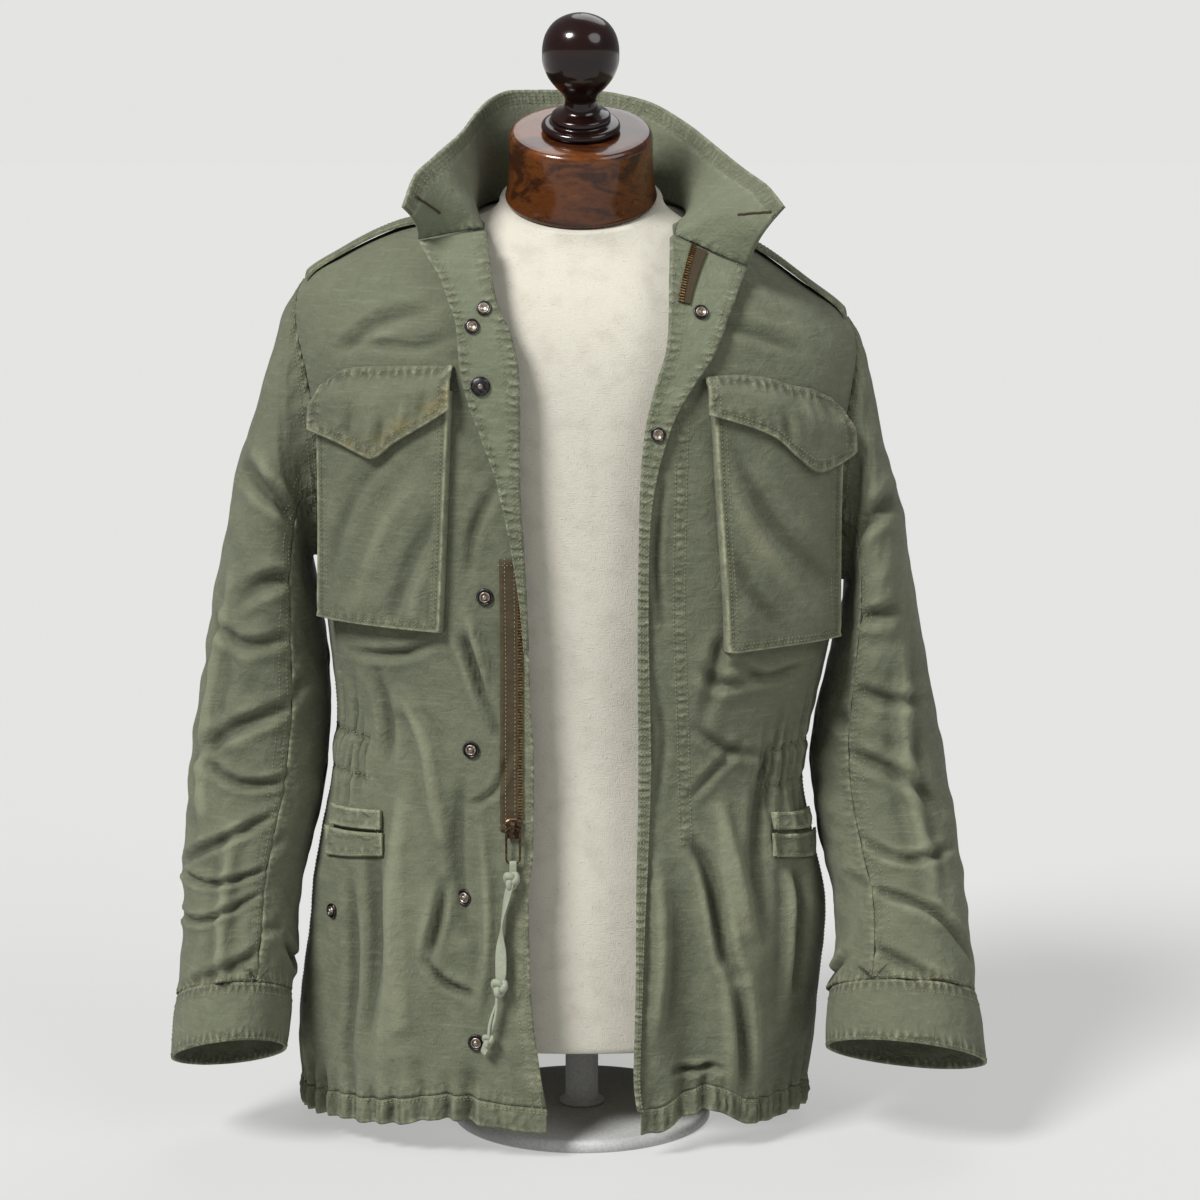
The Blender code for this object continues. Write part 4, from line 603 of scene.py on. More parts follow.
def edge_turn(side, rise):
    """Turn of the front panel's free edge, signed towards its own side."""
    edge = edges["right" if side < 0 else "left"](rise)
    reach = ROLL_REACH * (1.0 if side > 0 else step(rise, 0.415, 0.43))
    x = edge + side * reach
    sign = np.sign((x - section["centre"](rise)) * side)
    return turn_at(x, rise) * sign


def armhole_step(rise):
    """Angle round the armhole: 0 under the arm, 180 at the shoulder."""
    share = (ARMHOLE_MIDDLE - rise) / ARMHOLE_HALF
    return np.degrees(np.arccos(np.clip(share, -1.0, 1.0)))


def front_stop(rise):
    """Turn of a front's last edge: the side, armhole or shoulder seam."""
    return 90 - np.maximum(ARMHOLE_FRONT_TURN * np.sin(np.radians(armhole_step(rise))), 0.1)


def front_turn(side, share, rise):
    """Turn across a front: share 0 at the free edge, 1 at the side, armhole or shoulder seam."""
    start = edge_turn(side, rise)
    return side * (start + (front_stop(rise) - start) * share)


def back_turn(share, rise):
    """Turn across the back: share 0 at the left side or armhole seam, 1 at the right."""
    start = 90 + np.maximum(ARMHOLE_BACK_TURN * np.sin(np.radians(armhole_step(rise))), 0.1)
    return start + (360 - 2 * start) * share


def gather_list(first, last, seed, gap, depth, tall):
    """Uneven gathers along a drawn cord: turn, half width in degrees, depth, height and lean of each."""
    dice = np.random.default_rng(seed)
    found = []
    turn = first + dice.uniform(0.3, 1.0) * gap
    while turn < last:
        share = dice.uniform(0.3, 1.0)
        found.append(
            (
                turn, gap * dice.uniform(0.2, 0.34), depth * share,
                tall * dice.uniform(0.45, 1.25) * (0.5 + share / 2), dice.uniform(-18, 18),
            )
        )
        turn += gap * dice.uniform(0.62, 1.5)
    return found


def gather_relief(turn, rise, gathers, level, one_sided):
    """How far gathers sink the cloth. They start at the cord's level and fade away from it."""
    out = np.zeros(np.broadcast(turn, rise).shape)
    for place, width, depth, tall, lean in gathers:
        away = rise - level
        off = (turn - place - lean * away) / (width * (1 + 14 * np.abs(away)))
        fade = hump(away, tall) if not one_sided else 1 - step(away, 0.0, tall * 1.6)
        out = out - depth * (np.exp(-(off**2)) - 0.35 * np.exp(-((np.abs(off) - 1.7) ** 2))) * fade
    return out


HEM_GATHERS = {
    -1: gather_list(14.0, 84.0, 5, 5.2, 0.0062, 0.04),
    1: gather_list(17.0, 84.0, 6, 6.8, 0.0044, 0.032),
    0: gather_list(97.0, 263.0, 7, 5.6, 0.0054, 0.036),
}
WAIST_GATHERS = {
    -1: gather_list(53.0, 84.0, 15, 3.3, 0.0085, 0.042),
    1: gather_list(48.0, 84.0, 16, 3.3, 0.0085, 0.042),
    0: gather_list(96.0, 264.0, 17, 4.2, 0.007, 0.042),
}


def waist_rows(rise, half=0.003):
    """1 on the two cord rows, where the cloth is drawn in, and less away from them."""
    return sum(hump(rise - row, half) for row in WAIST_CORDS)


def front_relief(side, turn, rise):
    """Everything that lifts or sinks a front beyond its folds: waist gathers, creases, small rumples."""
    near = np.abs(turn)
    x, _, z = np.moveaxis(ring_point(turn, rise), -1, 0)
    out = gather_relief(near, rise, WAIST_GATHERS[side], WAIST_RISE, False)
    out = out - step(near, *WAIST_FROM) * CORD_SINK * waist_rows(rise)
    out = out + gather_relief(near, rise, HEM_GATHERS[side], HEM_RISE, True)
    out = out + crease_relief(x, z, FRONT_CREASES[side]) * (1 - step(rise, 0.735, 0.765))
    quiet = 1 - 0.7 * step(rise, 0.62, 0.7)
    out = out + quiet * (
        0.0007 * ripple(x, z * 0.5, 0.055, 11 + side) + 0.0003 * ripple(x, z, 0.021, 21 + side)
    )
    settled = 1 - hump(np.maximum(front_stop(rise) - near, 0), 3.0)
    return out * (1 - 0.85 * pocket_cover(side, x, z)) * settled


def pocket_cover(side, x, z):
    """1 behind a chest pocket and its flap, 0 well away from them."""
    corners = POCKET_CORNERS[side]
    low_x = min(c[0] for c in corners)
    high_x = max(c[0] for c in corners)
    inside_x = step(x, low_x - 0.02, low_x - 0.004) * (1 - step(x, high_x + 0.004, high_x + 0.014))
    return inside_x * step(z, 0.424, 0.44) * (1 - step(z, 0.655, 0.672))


def back_relief(turn, rise):
    """Everything that lifts or sinks the back beyond its folds."""
    x, _, z = np.moveaxis(ring_point(turn, rise), -1, 0)
    out = gather_relief(turn, rise, WAIST_GATHERS[0], WAIST_RISE, False) - CORD_SINK * waist_rows(rise)
    out = out + gather_relief(turn, rise, HEM_GATHERS[0], HEM_RISE, True)
    out = out + crease_relief(x, z, BACK_CREASES) * (1 - step(rise, 0.66, 0.71))
    quiet = 1 - 0.9 * step(rise, 0.66, 0.72)
    out = out + quiet * (0.0008 * ripple(x, z * 0.5, 0.06, 31) + 0.0003 * ripple(x, z, 0.022, 32))
    gap = np.minimum(turn - back_turn(0.0, rise), back_turn(1.0, rise) - turn)
    return out * (1 - hump(np.maximum(gap, 0), 3.0))


def front_on(side, turn, rise, out):
    """Points over a front. turn is positive towards the side seam."""
    signed = side * np.asarray(turn, float)
    return cloth_point(signed, rise, front_relief(side, signed, rise) + out)


def front_place(side, x, z, out):
    """Points over a front at this x and height, that far out from the cloth."""
    x = np.asarray(x, float)
    z = np.asarray(z, float)
    rise = np.minimum(rise_at(x, z), NECK_RISE)
    turn = turn_at(x, rise) * np.sign((x - section["centre"](rise)) * side)
    return front_on(side, turn, rise, out)


def shoulder_place(side, x, y, out):
    """Points over the shoulder at this x and y."""
    x, y = np.broadcast_arrays(np.asarray(x, float), np.asarray(y, float))
    low = np.full(x.shape, 0.69)
    high = np.full(x.shape, NECK_RISE)
    for _ in range(26):
        rise = (low + high) / 2
        reach = np.where(y < 0, section["front"](rise), section["back"](rise))
        lean = np.degrees(np.arcsin(np.minimum(np.abs(y) / reach, 0.95)))
        turn = side * np.where(y < 0, 90 - lean, 90 + lean)
        wide = (ring_point(turn, rise)[..., 0] - x) * side > 0
        low = np.where(wide, rise, low)
        high = np.where(wide, high, rise)
    return ring_point(turn, rise) + ring_normal(turn, rise) * np.asarray(out)[..., None]


def facing_on(side, rise, reach, out):
    """Points over a turned-out facing: reach runs from the fold towards the side."""
    shape = facing[side]
    edge_x = edges[SIDES[side]](rise) + side * ROLL_REACH
    level = rise + (shape["edge"](rise) - rise) * np.maximum(reach, 0.0) / shape["width"](rise)
    x = edge_x + side * reach
    turn = turn_at(x, level) * np.sign((x - section["centre"](level)) * side)
    return front_on(side, turn, level, out)


facing = {side: curves(FACING_COLUMNS, facing_tables[side]) for side in SIDES}


def facing_level(side, rise, share):
    """Reach and height over the panel of the facing's lower face, share 0 at the fold and 1 at its edge."""
    width = facing[side]["width"](rise)
    lift = facing[side]["lift"](rise)
    return share * (width - ROLL_REACH), 2 * ROLL_RADIUS + lift * share * share


# ---------------------------------------------------------------- sleeves
def side_x(side, z):
    """x of the body's side at this height."""
    rise = z
    for _ in range(4):
        rise = rise + z - float(ring_point(90.0 * side, rise)[2])
    return float(ring_point(90.0 * side, rise)[0])


def armhole_point(side, angle):
    """Points round the armhole, by the angle round the sleeve."""
    rise = ARMHOLE_MIDDLE - (ARMHOLE_HALF - 0.0004) * np.cos(np.radians(angle))
    swing = np.sin(np.radians(angle))
    reach = np.where(swing > 0, ARMHOLE_FRONT_TURN, ARMHOLE_BACK_TURN)
    return ring_point(side * (90 - (reach - 0.2) * swing), rise)


def sleeve_rings(side, angles):
    """Rings of the sleeve from the armhole to the end of the cuff."""
    rings = [armhole_point(side, angles)]
    swing = np.sin(np.radians(angles))[:, None]
    for values in sleeve_tables[side]:
        row = dict(zip(SLEEVE_COLUMNS, values))
        outer = np.array((row["outer_x"], row["middle_y"], row["outer_z"]))
        inner = np.array(
            (side_x(side, row["inner_z"]) + side * row["clear"], row["middle_y"], row["inner_z"])
        )
        front = np.array((0.0, -row["depth"], row["pitch"] * row["depth"]))
        rings.append(
            (outer + inner) / 2 - np.cos(np.radians(angles))[:, None] * (outer - inner) / 2 + swing * front
        )
    return np.array(rings)


def through(rings, count):
    """A smooth run of rings through the given ones, evenly spaced, and each one's place among them."""
    gaps = np.linalg.norm(np.diff(rings, axis=0), axis=2).mean(axis=1)
    places = np.concatenate([[0.0], np.cumsum(gaps)])
    wanted = np.linspace(0, places[-1], count)
    slopes = np.gradient(rings, places, axis=0)
    i = np.clip(np.searchsorted(places, wanted, side="right") - 1, 0, len(gaps) - 1)
    t = ((wanted - places[i]) / gaps[i])[:, None, None]
    run = gaps[i][:, None, None]
    smooth = (
        rings[i] * (1 + 2 * t) * (1 - t) ** 2
        + rings[i + 1] * t * t * (3 - 2 * t)
        + slopes[i] * run * t * (1 - t) ** 2
        - slopes[i + 1] * run * t * t * (1 - t)
    )
    return smooth, wanted


# ---------------------------------------------------------------- meshes
# What the cotton reads at each point: worn pale, puckered, place along a seam, stained, and how far it is
# sunk in a fold, which sets painted shade there and painted highlight where it rises.
MARKS = ("wear", "pucker", "along", "stain", "painted_fold_light")


def grid_normals(grid, away, wrap=False):
    """Directions square to a grid of points, on the side away from the given points."""
    if wrap:
        along = np.roll(grid, -1, axis=1) - np.roll(grid, 1, axis=1)
    else:
        along = np.gradient(grid, axis=1)
    normals = unit(np.cross(along, np.gradient(grid, axis=0)))
    return normals if (normals * (grid - away)).sum() > 0 else -normals


def new_object(name, data):
    """An object in the scene from a mesh, camera or lamp."""
    made = bpy.data.objects.new(name, data)
    bpy.context.scene.collection.objects.link(made)
    return made


def finish_piece(name, points, faces, material, flat=(), body="jacket_and_form"):
    """An object from points and faces, with its material, record slot and body."""
    mesh = bpy.data.meshes.new(name)
    mesh.from_pydata((np.asarray(points) + PLACE).tolist(), [], faces)
    smooth = np.ones(len(faces), bool)
    smooth[list(flat)] = False
    mesh.polygons.foreach_set("use_smooth", smooth)
    mesh.materials.append(material)
    piece = new_object(name, mesh)
    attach(piece, body)
    return piece


def grid_faces(rows, columns, wrap=False):
    """Quads of a grid of points, row after row."""
    r, c = np.meshgrid(np.arange(rows - 1), np.arange(columns if wrap else columns - 1), indexing="ij")
    n = (c + 1) % columns
    low = r * columns
    high = low + columns
    return np.stack([low + c, low + n, high + n, high + c], -1).reshape(-1, 4)


def shell(name, outer, inner, material, marks, wrap=False):
    """Cloth with a thickness: two grids of the same size joined along their rims."""
    rows, columns = outer.shape[:2]
    count = rows * columns
    front = grid_faces(rows, columns, wrap)
    back = count + front[:, ::-1]
    rims = []
    last = columns if wrap else columns - 1
    for r, flip in ((0, True), (rows - 1, False)):
        a = r * columns + np.arange(last)
        b = r * columns + (np.arange(last) + 1) % columns
        rim = np.stack([a, b, count + b, count + a], -1)
        rims.append(rim[:, ::-1] if flip else rim)
    if not wrap:
        for c, flip in ((0, False), (columns - 1, True)):
            a = np.arange(rows - 1) * columns + c
            b = a + columns
            rim = np.stack([a, b, count + b, count + a], -1)
            rims.append(rim[:, ::-1] if flip else rim)
    rims = np.concatenate(rims)
    faces = np.concatenate([front, back, rims])
    r = rows // 2
    c = columns // 2
    quad = outer.reshape(-1, 3)[front[(r * last + c) % len(front)]]
    turning = np.cross(quad[1] - quad[0], quad[3] - quad[0])
    if np.dot(turning, outer[r, c] - inner[r, c]) < 0:
        faces = faces[:, ::-1]
    points = np.concatenate([outer.reshape(-1, 3), inner.reshape(-1, 3)])
    flat = range(len(front) + len(back), len(faces))
    piece = finish_piece(name, points, faces.tolist(), material, flat)
    across = np.linalg.norm(np.diff(outer, axis=1), axis=2).mean(axis=0)
    up = np.linalg.norm(np.diff(outer, axis=0), axis=2).mean(axis=1)
    u = np.broadcast_to(np.concatenate([[0], np.cumsum(across)]), (rows, columns))
    v = np.broadcast_to(np.concatenate([[0], np.cumsum(up)])[:, None], (rows, columns))
    flat_places = np.stack([u, v], -1).reshape(-1, 2)
    flat_places = np.concatenate([flat_places, flat_places])
    index = np.empty(len(piece.data.loops), np.int32)
    piece.data.loops.foreach_get("vertex_index", index)
    layer = piece.data.uv_layers.new(name="cloth")
    layer.data.foreach_set("uv", flat_places[index].ravel())
    for mark in MARKS:
        values = np.broadcast_to(marks.get(mark, 0.0), (rows, columns)).ravel()
        attribute = piece.data.attributes.new(mark, "FLOAT", "POINT")
        attribute.data.foreach_set("value", np.concatenate([values, values]).astype(np.float32))
    return piece


def panel(name, outer, inner, marks, look="olive cotton", wrap=False):
    """A shell that replaces the solid of its name, with its flat size stated."""
    piece = shell(name + "_cloth", outer, inner, FINISHES[look], marks, wrap)
    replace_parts(piece, name)


def tube(line, radii, steps=10, flatness=None, twist=None):
    """Points and faces of a closed tube along a line; a flat one is wide across and thin through."""
    line = np.asarray(line, float)
    ahead = unit(np.gradient(line, axis=0))
    across = np.cross(ahead, (0.0, 1.0, 0.0))
    across = unit(
        np.where(
            np.linalg.norm(across, axis=1, keepdims=True) < 0.2, np.cross(ahead, (1.0, 0.0, 0.0)), across,
        )
    )
    for i in range(1, len(line)):
        across[i] = across[i - 1] - ahead[i] * np.dot(across[i - 1], ahead[i])
        across[i] /= np.linalg.norm(across[i])
    other = np.cross(ahead, across)
    radii = np.broadcast_to(radii, len(line))
    thin = radii if flatness is None else np.broadcast_to(flatness, len(line))
    spin = np.zeros(len(line)) if twist is None else np.asarray(twist)
    angle = np.linspace(0, 2 * math.pi, steps, endpoint=False)
    a = np.cos(angle)[None] * radii[:, None]
    b = np.sin(angle)[None] * thin[:, None]
    wide = a * np.cos(spin)[:, None] - b * np.sin(spin)[:, None]
    deep = a * np.sin(spin)[:, None] + b * np.cos(spin)[:, None]
    grid = line[:, None] + wide[..., None] * across[:, None] + deep[..., None] * other[:, None]
    count = len(line) * steps
    faces = grid_faces(len(line), steps, wrap=True).tolist()
    points = grid.reshape(-1, 3)
    normal = np.cross(points[1] - points[0], points[steps] - points[0])
    if np.dot(normal, points[0] - line[0]) < 0:
        faces = [face[::-1] for face in faces]
        faces += [list(range(steps)), list(range(count - 1, count - steps - 1, -1))]
    else:
        faces += [list(range(steps - 1, -1, -1)), list(range(count - steps, count))]
    return points, faces


def join_parts(parts):
    """One list of points and faces from several."""
    points = []
    faces = []
    for part_points, part_faces in parts:
        start = len(points)
        points += [tuple(point) for point in part_points]
        faces += [[start + i for i in face] for face in part_faces]
    return points, faces


def turned(profile, place, axis, steps=96):
    """Points and faces of a turned shape, closed at both ends. Profile rows are (radius, distance)."""
    axis = unit(np.array(axis, float))
    across = unit(np.cross(axis, (1.0, 0.0, 0.0) if abs(axis[0]) < 0.9 else (0.0, 0.0, 1.0)))
    other = np.cross(axis, across)
    angle = np.linspace(0, 2 * math.pi, steps, endpoint=False)
    spokes = np.cos(angle)[:, None] * across + np.sin(angle)[:, None] * other
    place = np.array(place, float)
    points = [place + axis * profile[0][1]]
    for radius, distance in profile:
        points += list(place + axis * distance + radius * spokes)
    points.append(place + axis * profile[-1][1])
    faces = []
    for i in range(steps):
        faces.append([0, 1 + (i + 1) % steps, 1 + i])
    ring = grid_faces(len(profile), steps, wrap=True) + 1
    faces += ring.tolist()
    last = len(points) - 1
    for i in range(steps):
        faces.append([last, last - steps + i, last - steps + (i + 1) % steps])
    return points, faces


def rounded(profile, fine=5):
    """The profile with its corners eased by a smooth curve through its points."""
    gaps = [0.0]
    for (r0, z0), (r1, z1) in zip(profile[:-1], profile[1:]):
        gaps.append(gaps[-1] + math.hypot(r1 - r0, z1 - z0))
    radius = spline(gaps, [p[0] for p in profile])
    height = spline(gaps, [p[1] for p in profile])
    steps = np.concatenate([np.linspace(a, b, fine, endpoint=False) for a, b in zip(gaps[:-1], gaps[1:])])
    steps = np.append(steps, gaps[-1])
    return list(zip(np.maximum(radius(steps), 1e-5), height(steps)))


# ---------------------------------------------------------------- finishes
def linear(rgb):
    """A screen colour of three numbers to 255 as Blender's own linear one."""
    parts = [c / 255 for c in rgb]
    return tuple(c / 12.92 if c <= 0.04045 else ((c + 0.055) / 1.055) ** 2.4 for c in parts) + (1.0,)


RESULTS = ("Color", "Roughness", "Normal")


def add_node(tree, kind, values=None, **settings):
    node = tree.nodes.new(kind)
    for name, value in settings.items():
        setattr(node, name, value)
    for name, value in (values or {}).items():
        if isinstance(value, bpy.types.NodeSocket):
            tree.links.new(value, node.inputs[name])
        else:
            node.inputs[name].default_value = value
    return node


def sums(tree, operation, first, second=0.0, third=0.0):
    return add_node(tree, "ShaderNodeMath", {0: first, 1: second, 2: third}, operation=operation).outputs[0]


def times(tree, first, second):
    return sums(tree, "MULTIPLY", first, second)


def blend(tree, share, first, second):
    return add_node(tree, "ShaderNodeMix", {0: share, 6: first, 7: second}, data_type="RGBA").outputs[2]


def stretched(tree, place, scale):
    """The places, scaled apart along each axis."""
    return add_node(tree, "ShaderNodeMapping", {"Vector": place, "Scale": scale}).outputs[0]


def noise(tree, place, scale, detail=3.0, rough=0.5, distortion=0.0):
    values = {"Vector": place, "Scale": scale, "Detail": detail, "Roughness": rough, "Distortion": distortion}
    return add_node(tree, "ShaderNodeTexNoise", values).outputs["Fac"]


def ramp(tree, value, low, high):
    """0 where the value is low, 1 where it is high, smooth between."""
    values = {"Value": value, "From Min": low, "From Max": high}
    return add_node(tree, "ShaderNodeMapRange", values, interpolation_type="SMOOTHSTEP").outputs["Result"]


def new_group(name, inputs):
    """A group of shader nodes with these inputs, giving colour, roughness and normal."""
    group = bpy.data.node_groups.new(name, "ShaderNodeTree")
    for socket, value in inputs.items():
        kind = "NodeSocketFloat" if isinstance(value, float) else "NodeSocketColor"
        group.interface.new_socket(socket, in_out="INPUT", socket_type=kind).default_value = value
    for socket, kind in zip(RESULTS, ("NodeSocketColor", "NodeSocketFloat", "NodeSocketVector")):
        group.interface.new_socket(socket, in_out="OUTPUT", socket_type=kind)
    return group, group.nodes.new("NodeGroupInput").outputs


def finish_group(group, colour, roughness, height, distance, strength):
    """Lead the results out of a group; the height becomes a bump."""
    leave = group.nodes.new("NodeGroupOutput")
    bump = add_node(group, "ShaderNodeBump", {"Height": height, "Distance": distance, "Strength": strength})
    for socket, value in zip(RESULTS, (colour, roughness, bump.outputs[0])):
        group.links.new(value, leave.inputs[socket])
    return group


def object_place(tree):
    return add_node(tree, "ShaderNodeTexCoord").outputs["Object"]


def mark_value(tree, name):
    return add_node(tree, "ShaderNodeAttribute", attribute_name=name).outputs["Fac"]


def cotton_group():
    """Washed cotton: mottled colour, weave, crinkles, puckered seams and pale worn edges."""
    group, entry = new_group(
        "Washed cotton",
        {
            # The pale colour is real fading and wear and also the painted highlight; the deep colour is the
            # dark of the mottled patches and also the painted shade.
            "Cloth": (0.1, 0.12, 0.07, 1),
            "Faded And Lit": (0.4, 0.4, 0.3, 1),
            "Deep": (0.05, 0.06, 0.03, 1),
            "Stain": (0.3, 0.2, 0.05, 1),
            "Crinkle": 1.0,
            "Pucker Pitch": 0.0072,
        },
    )
    place = object_place(group)
    cloth, faded_and_lit, deep = entry["Cloth"], entry["Faded And Lit"], entry["Deep"]
    large = noise(group, place, 7.0, 3.0)
    patch = noise(group, place, 42.0, 5.0, 0.6)
    crumple = noise(group, place, 95.0, 6.0, 0.62, 0.6)
    grain = noise(group, place, 900.0, 2.0)
    flat = add_node(group, "ShaderNodeUVMap", uv_map="cloth").outputs[0]
    slub = noise(group, stretched(group, flat, (1600.0, 190.0, 1.0)), 1.0, 2.0)
    wear, pucker, along, stain, painted_fold_light = (mark_value(group, name) for name in MARKS)
    turns = sums(group, "DIVIDE", times(group, along, 2 * math.pi), entry["Pucker Pitch"])
    turns = sums(group, "ADD", turns, times(group, patch, 9.0))
    wave = sums(group, "MULTIPLY_ADD", sums(group, "SINE", turns), 0.5, 0.5)
    wave = times(group, wave, ramp(group, crumple, 0.25, 0.65))
    colour = blend(group, ramp(group, large, 0.35, 0.7), cloth, deep)
    colour = blend(group, 0.25, cloth, colour)
    lighter = times(group, ramp(group, patch, 0.42, 0.78), 0.08)
    colour = blend(group, lighter, colour, faded_and_lit)
    # Painted shade: darker where the crinkle bump sinks.
    darker = times(group, ramp(group, crumple, 0.62, 0.3), 0.14)
    colour = blend(group, darker, colour, deep)
    # Painted shade where the cloth sinks in a fold, and painted highlight where it rises on a ridge.
    colour = blend(group, times(group, ramp(group, painted_fold_light, 0.05, 1.0), 0.62), colour, deep)
    colour = blend(group, times(group, ramp(group, painted_fold_light, -0.1, -1.0), 0.2), colour, faded_and_lit)
    streak = noise(group, stretched(group, place, (38.0, 38.0, 620.0)), 1.0, 3.0, 0.6)
    fine = times(group, ramp(group, sums(group, "MAXIMUM", slub, streak), 0.5, 0.8), 0.17)
    colour = blend(group, fine, colour, faded_and_lit)
    rubbed = times(group, wear, sums(group, "MULTIPLY_ADD", ramp(group, crumple, 0.35, 0.62), 0.6, 0.28))
    # Each pucker is paler on its raised half, partly wear and partly painted highlight, and darker on its
    # sunk half, which is painted shade.
    pucker_ridge_wear_and_light = times(group, times(group, pucker, wave), 0.34)
    colour = blend(group, sums(group, "MAXIMUM", rubbed, pucker_ridge_wear_and_light), colour, faded_and_lit)
    pucker_valley_shade = times(group, times(group, pucker, sums(group, "SUBTRACT", 1.0, wave)), 0.6)
    colour = blend(group, pucker_valley_shade, colour, deep)
    spots = times(group, stain, ramp(group, patch, 0.36, 0.66))
    colour = blend(group, times(group, spots, 0.55), colour, entry["Stain"])
    rough = sums(group, "MULTIPLY_ADD", patch, 0.16, 0.74)
    relief = times(group, times(group, pucker, wave), 0.9)
    soft = noise(group, place, 30.0, 2.0, 0.5, 0.4)
    relief = sums(group, "ADD", relief, times(group, soft, 1.1))
    relief = sums(group, "ADD", relief, times(group, crumple, 0.85))
    relief = sums(group, "ADD", relief, times(group, sums(group, "ADD", grain, slub), 0.1))
    relief = times(group, relief, entry["Crinkle"])
    return finish_group(group, colour, rough, relief, 0.0022, 1.0)


def wood_group():
    """Polished wood with a burr figure: dark eyes and bright bands."""
    group, entry = new_group(
        "Figured wood",
        {
            "Dark": (0.05, 0.02, 0.01, 1),
            "Bright": (0.3, 0.12, 0.03, 1),
            "Figure Scale": 24.0,
        },
    )
    place = object_place(group)
    long = stretched(group, place, (0.55, 1.0, 1.7))
    bend = noise(group, long, entry["Figure Scale"], 4.0, 0.55, 1.1)
    fine = noise(group, long, 150.0, 4.0, 0.6, 0.8)
    rings = sums(group, "SINE", sums(group, "ADD", times(group, bend, 26.0), times(group, fine, 2.5)))
    share = sums(group, "MULTIPLY_ADD", rings, 0.13, 0.22)
    share = sums(group, "ADD", share, times(group, ramp(group, bend, 0.38, 0.72), 0.55))
    share = times(group, share, ramp(group, fine, 0.15, 0.55))
    # The bright bands dim to 0.4 of their strength towards the block's bottom, below a height of 0.8 m:
    # darker towards the bottom.
    low_edge = add_node(group, "ShaderNodeSeparateXYZ", {"Vector": place}).outputs["Z"]
    share = times(group, share, sums(group, "MULTIPLY_ADD", ramp(group, low_edge, 0.745, 0.8), 0.6, 0.4))
    colour = blend(group, share, entry["Dark"], entry["Bright"])
    pores = noise(group, place, 520.0, 3.0)
    colour = blend(group, times(group, ramp(group, pores, 0.55, 0.8), 0.5), colour, entry["Dark"])
    return finish_group(group, colour, sums(group, "MULTIPLY_ADD", pores, 0.1, 0.16), pores, 0.0001, 0.6)


def metal_group():
    """Handled metal: tarnish in patches and fine scratches."""
    group, entry = new_group(
        "Handled metal",
        {
            "Metal": (0.2, 0.15, 0.1, 1),
            "Tarnish": (0.05, 0.03, 0.02, 1),
            "Polish": 0.3,
        },
    )
    place = object_place(group)
    cloud = noise(group, place, 380.0, 4.0, 0.6)
    line = noise(group, stretched(group, place, (900.0, 2600.0, 300.0)), 1.0, 2.0)
    colour = blend(group, ramp(group, cloud, 0.35, 0.68), entry["Metal"], entry["Tarnish"])
    rough = sums(group, "MULTIPLY_ADD", cloud, 0.25, entry["Polish"])
    return finish_group(group, colour, sums(group, "MULTIPLY_ADD", line, 0.12, rough), line, 0.00008, 0.7)


def linen_group():
    """Coarse linen: two crossing runs of thread with darker flecks."""
    group, entry = new_group(
        "Linen weave",
        {"Cloth": (0.5, 0.5, 0.4, 1), "Fleck": (0.2, 0.15, 0.1, 1)},
    )
    place = object_place(group)
    first = noise(group, stretched(group, place, (1500.0, 1500.0, 240.0)), 1.0, 2.0)
    second = noise(group, stretched(group, place, (240.0, 240.0, 1500.0)), 1.0, 2.0)
    cloud = noise(group, place, 60.0, 4.0)
    threads = sums(group, "MAXIMUM", first, second)
    fleck = ramp(group, threads, 0.66, 0.8)
    colour = blend(group, times(group, fleck, 0.7), entry["Cloth"], entry["Fleck"])
    colour = blend(group, times(group, ramp(group, cloud, 0.45, 0.75), 0.15), colour, entry["Fleck"])
    return finish_group(group, colour, sums(group, "MULTIPLY_ADD", cloud, 0.1, 0.82), threads, 0.0007, 0.9)


FINISHES = {}


def finish_from(name, group, values, **constants):
    """A material whose colour, roughness and normal come from a group; constants sit on the shader.

    A tuple among the values is a screen colour to 255, and a list is a linear colour.
    """
    material = bpy.data.materials.new(name)
    material.use_nodes = True
    tree = material.node_tree
    shader = next(node for node in tree.nodes if node.type == "BSDF_PRINCIPLED")
    source = tree.nodes.new("ShaderNodeGroup")
    source.node_tree = group
    for socket, value in values.items():
        source.inputs[socket].default_value = linear(value) if isinstance(value, tuple) else value
    for result, socket in zip(RESULTS, ("Base Color", "Roughness", "Normal")):
        tree.links.new(source.outputs[result], shader.inputs[socket])
    for socket, value in constants.items():
        shader.inputs[socket.replace("_", " ")].default_value = value
    FINISHES[name] = material


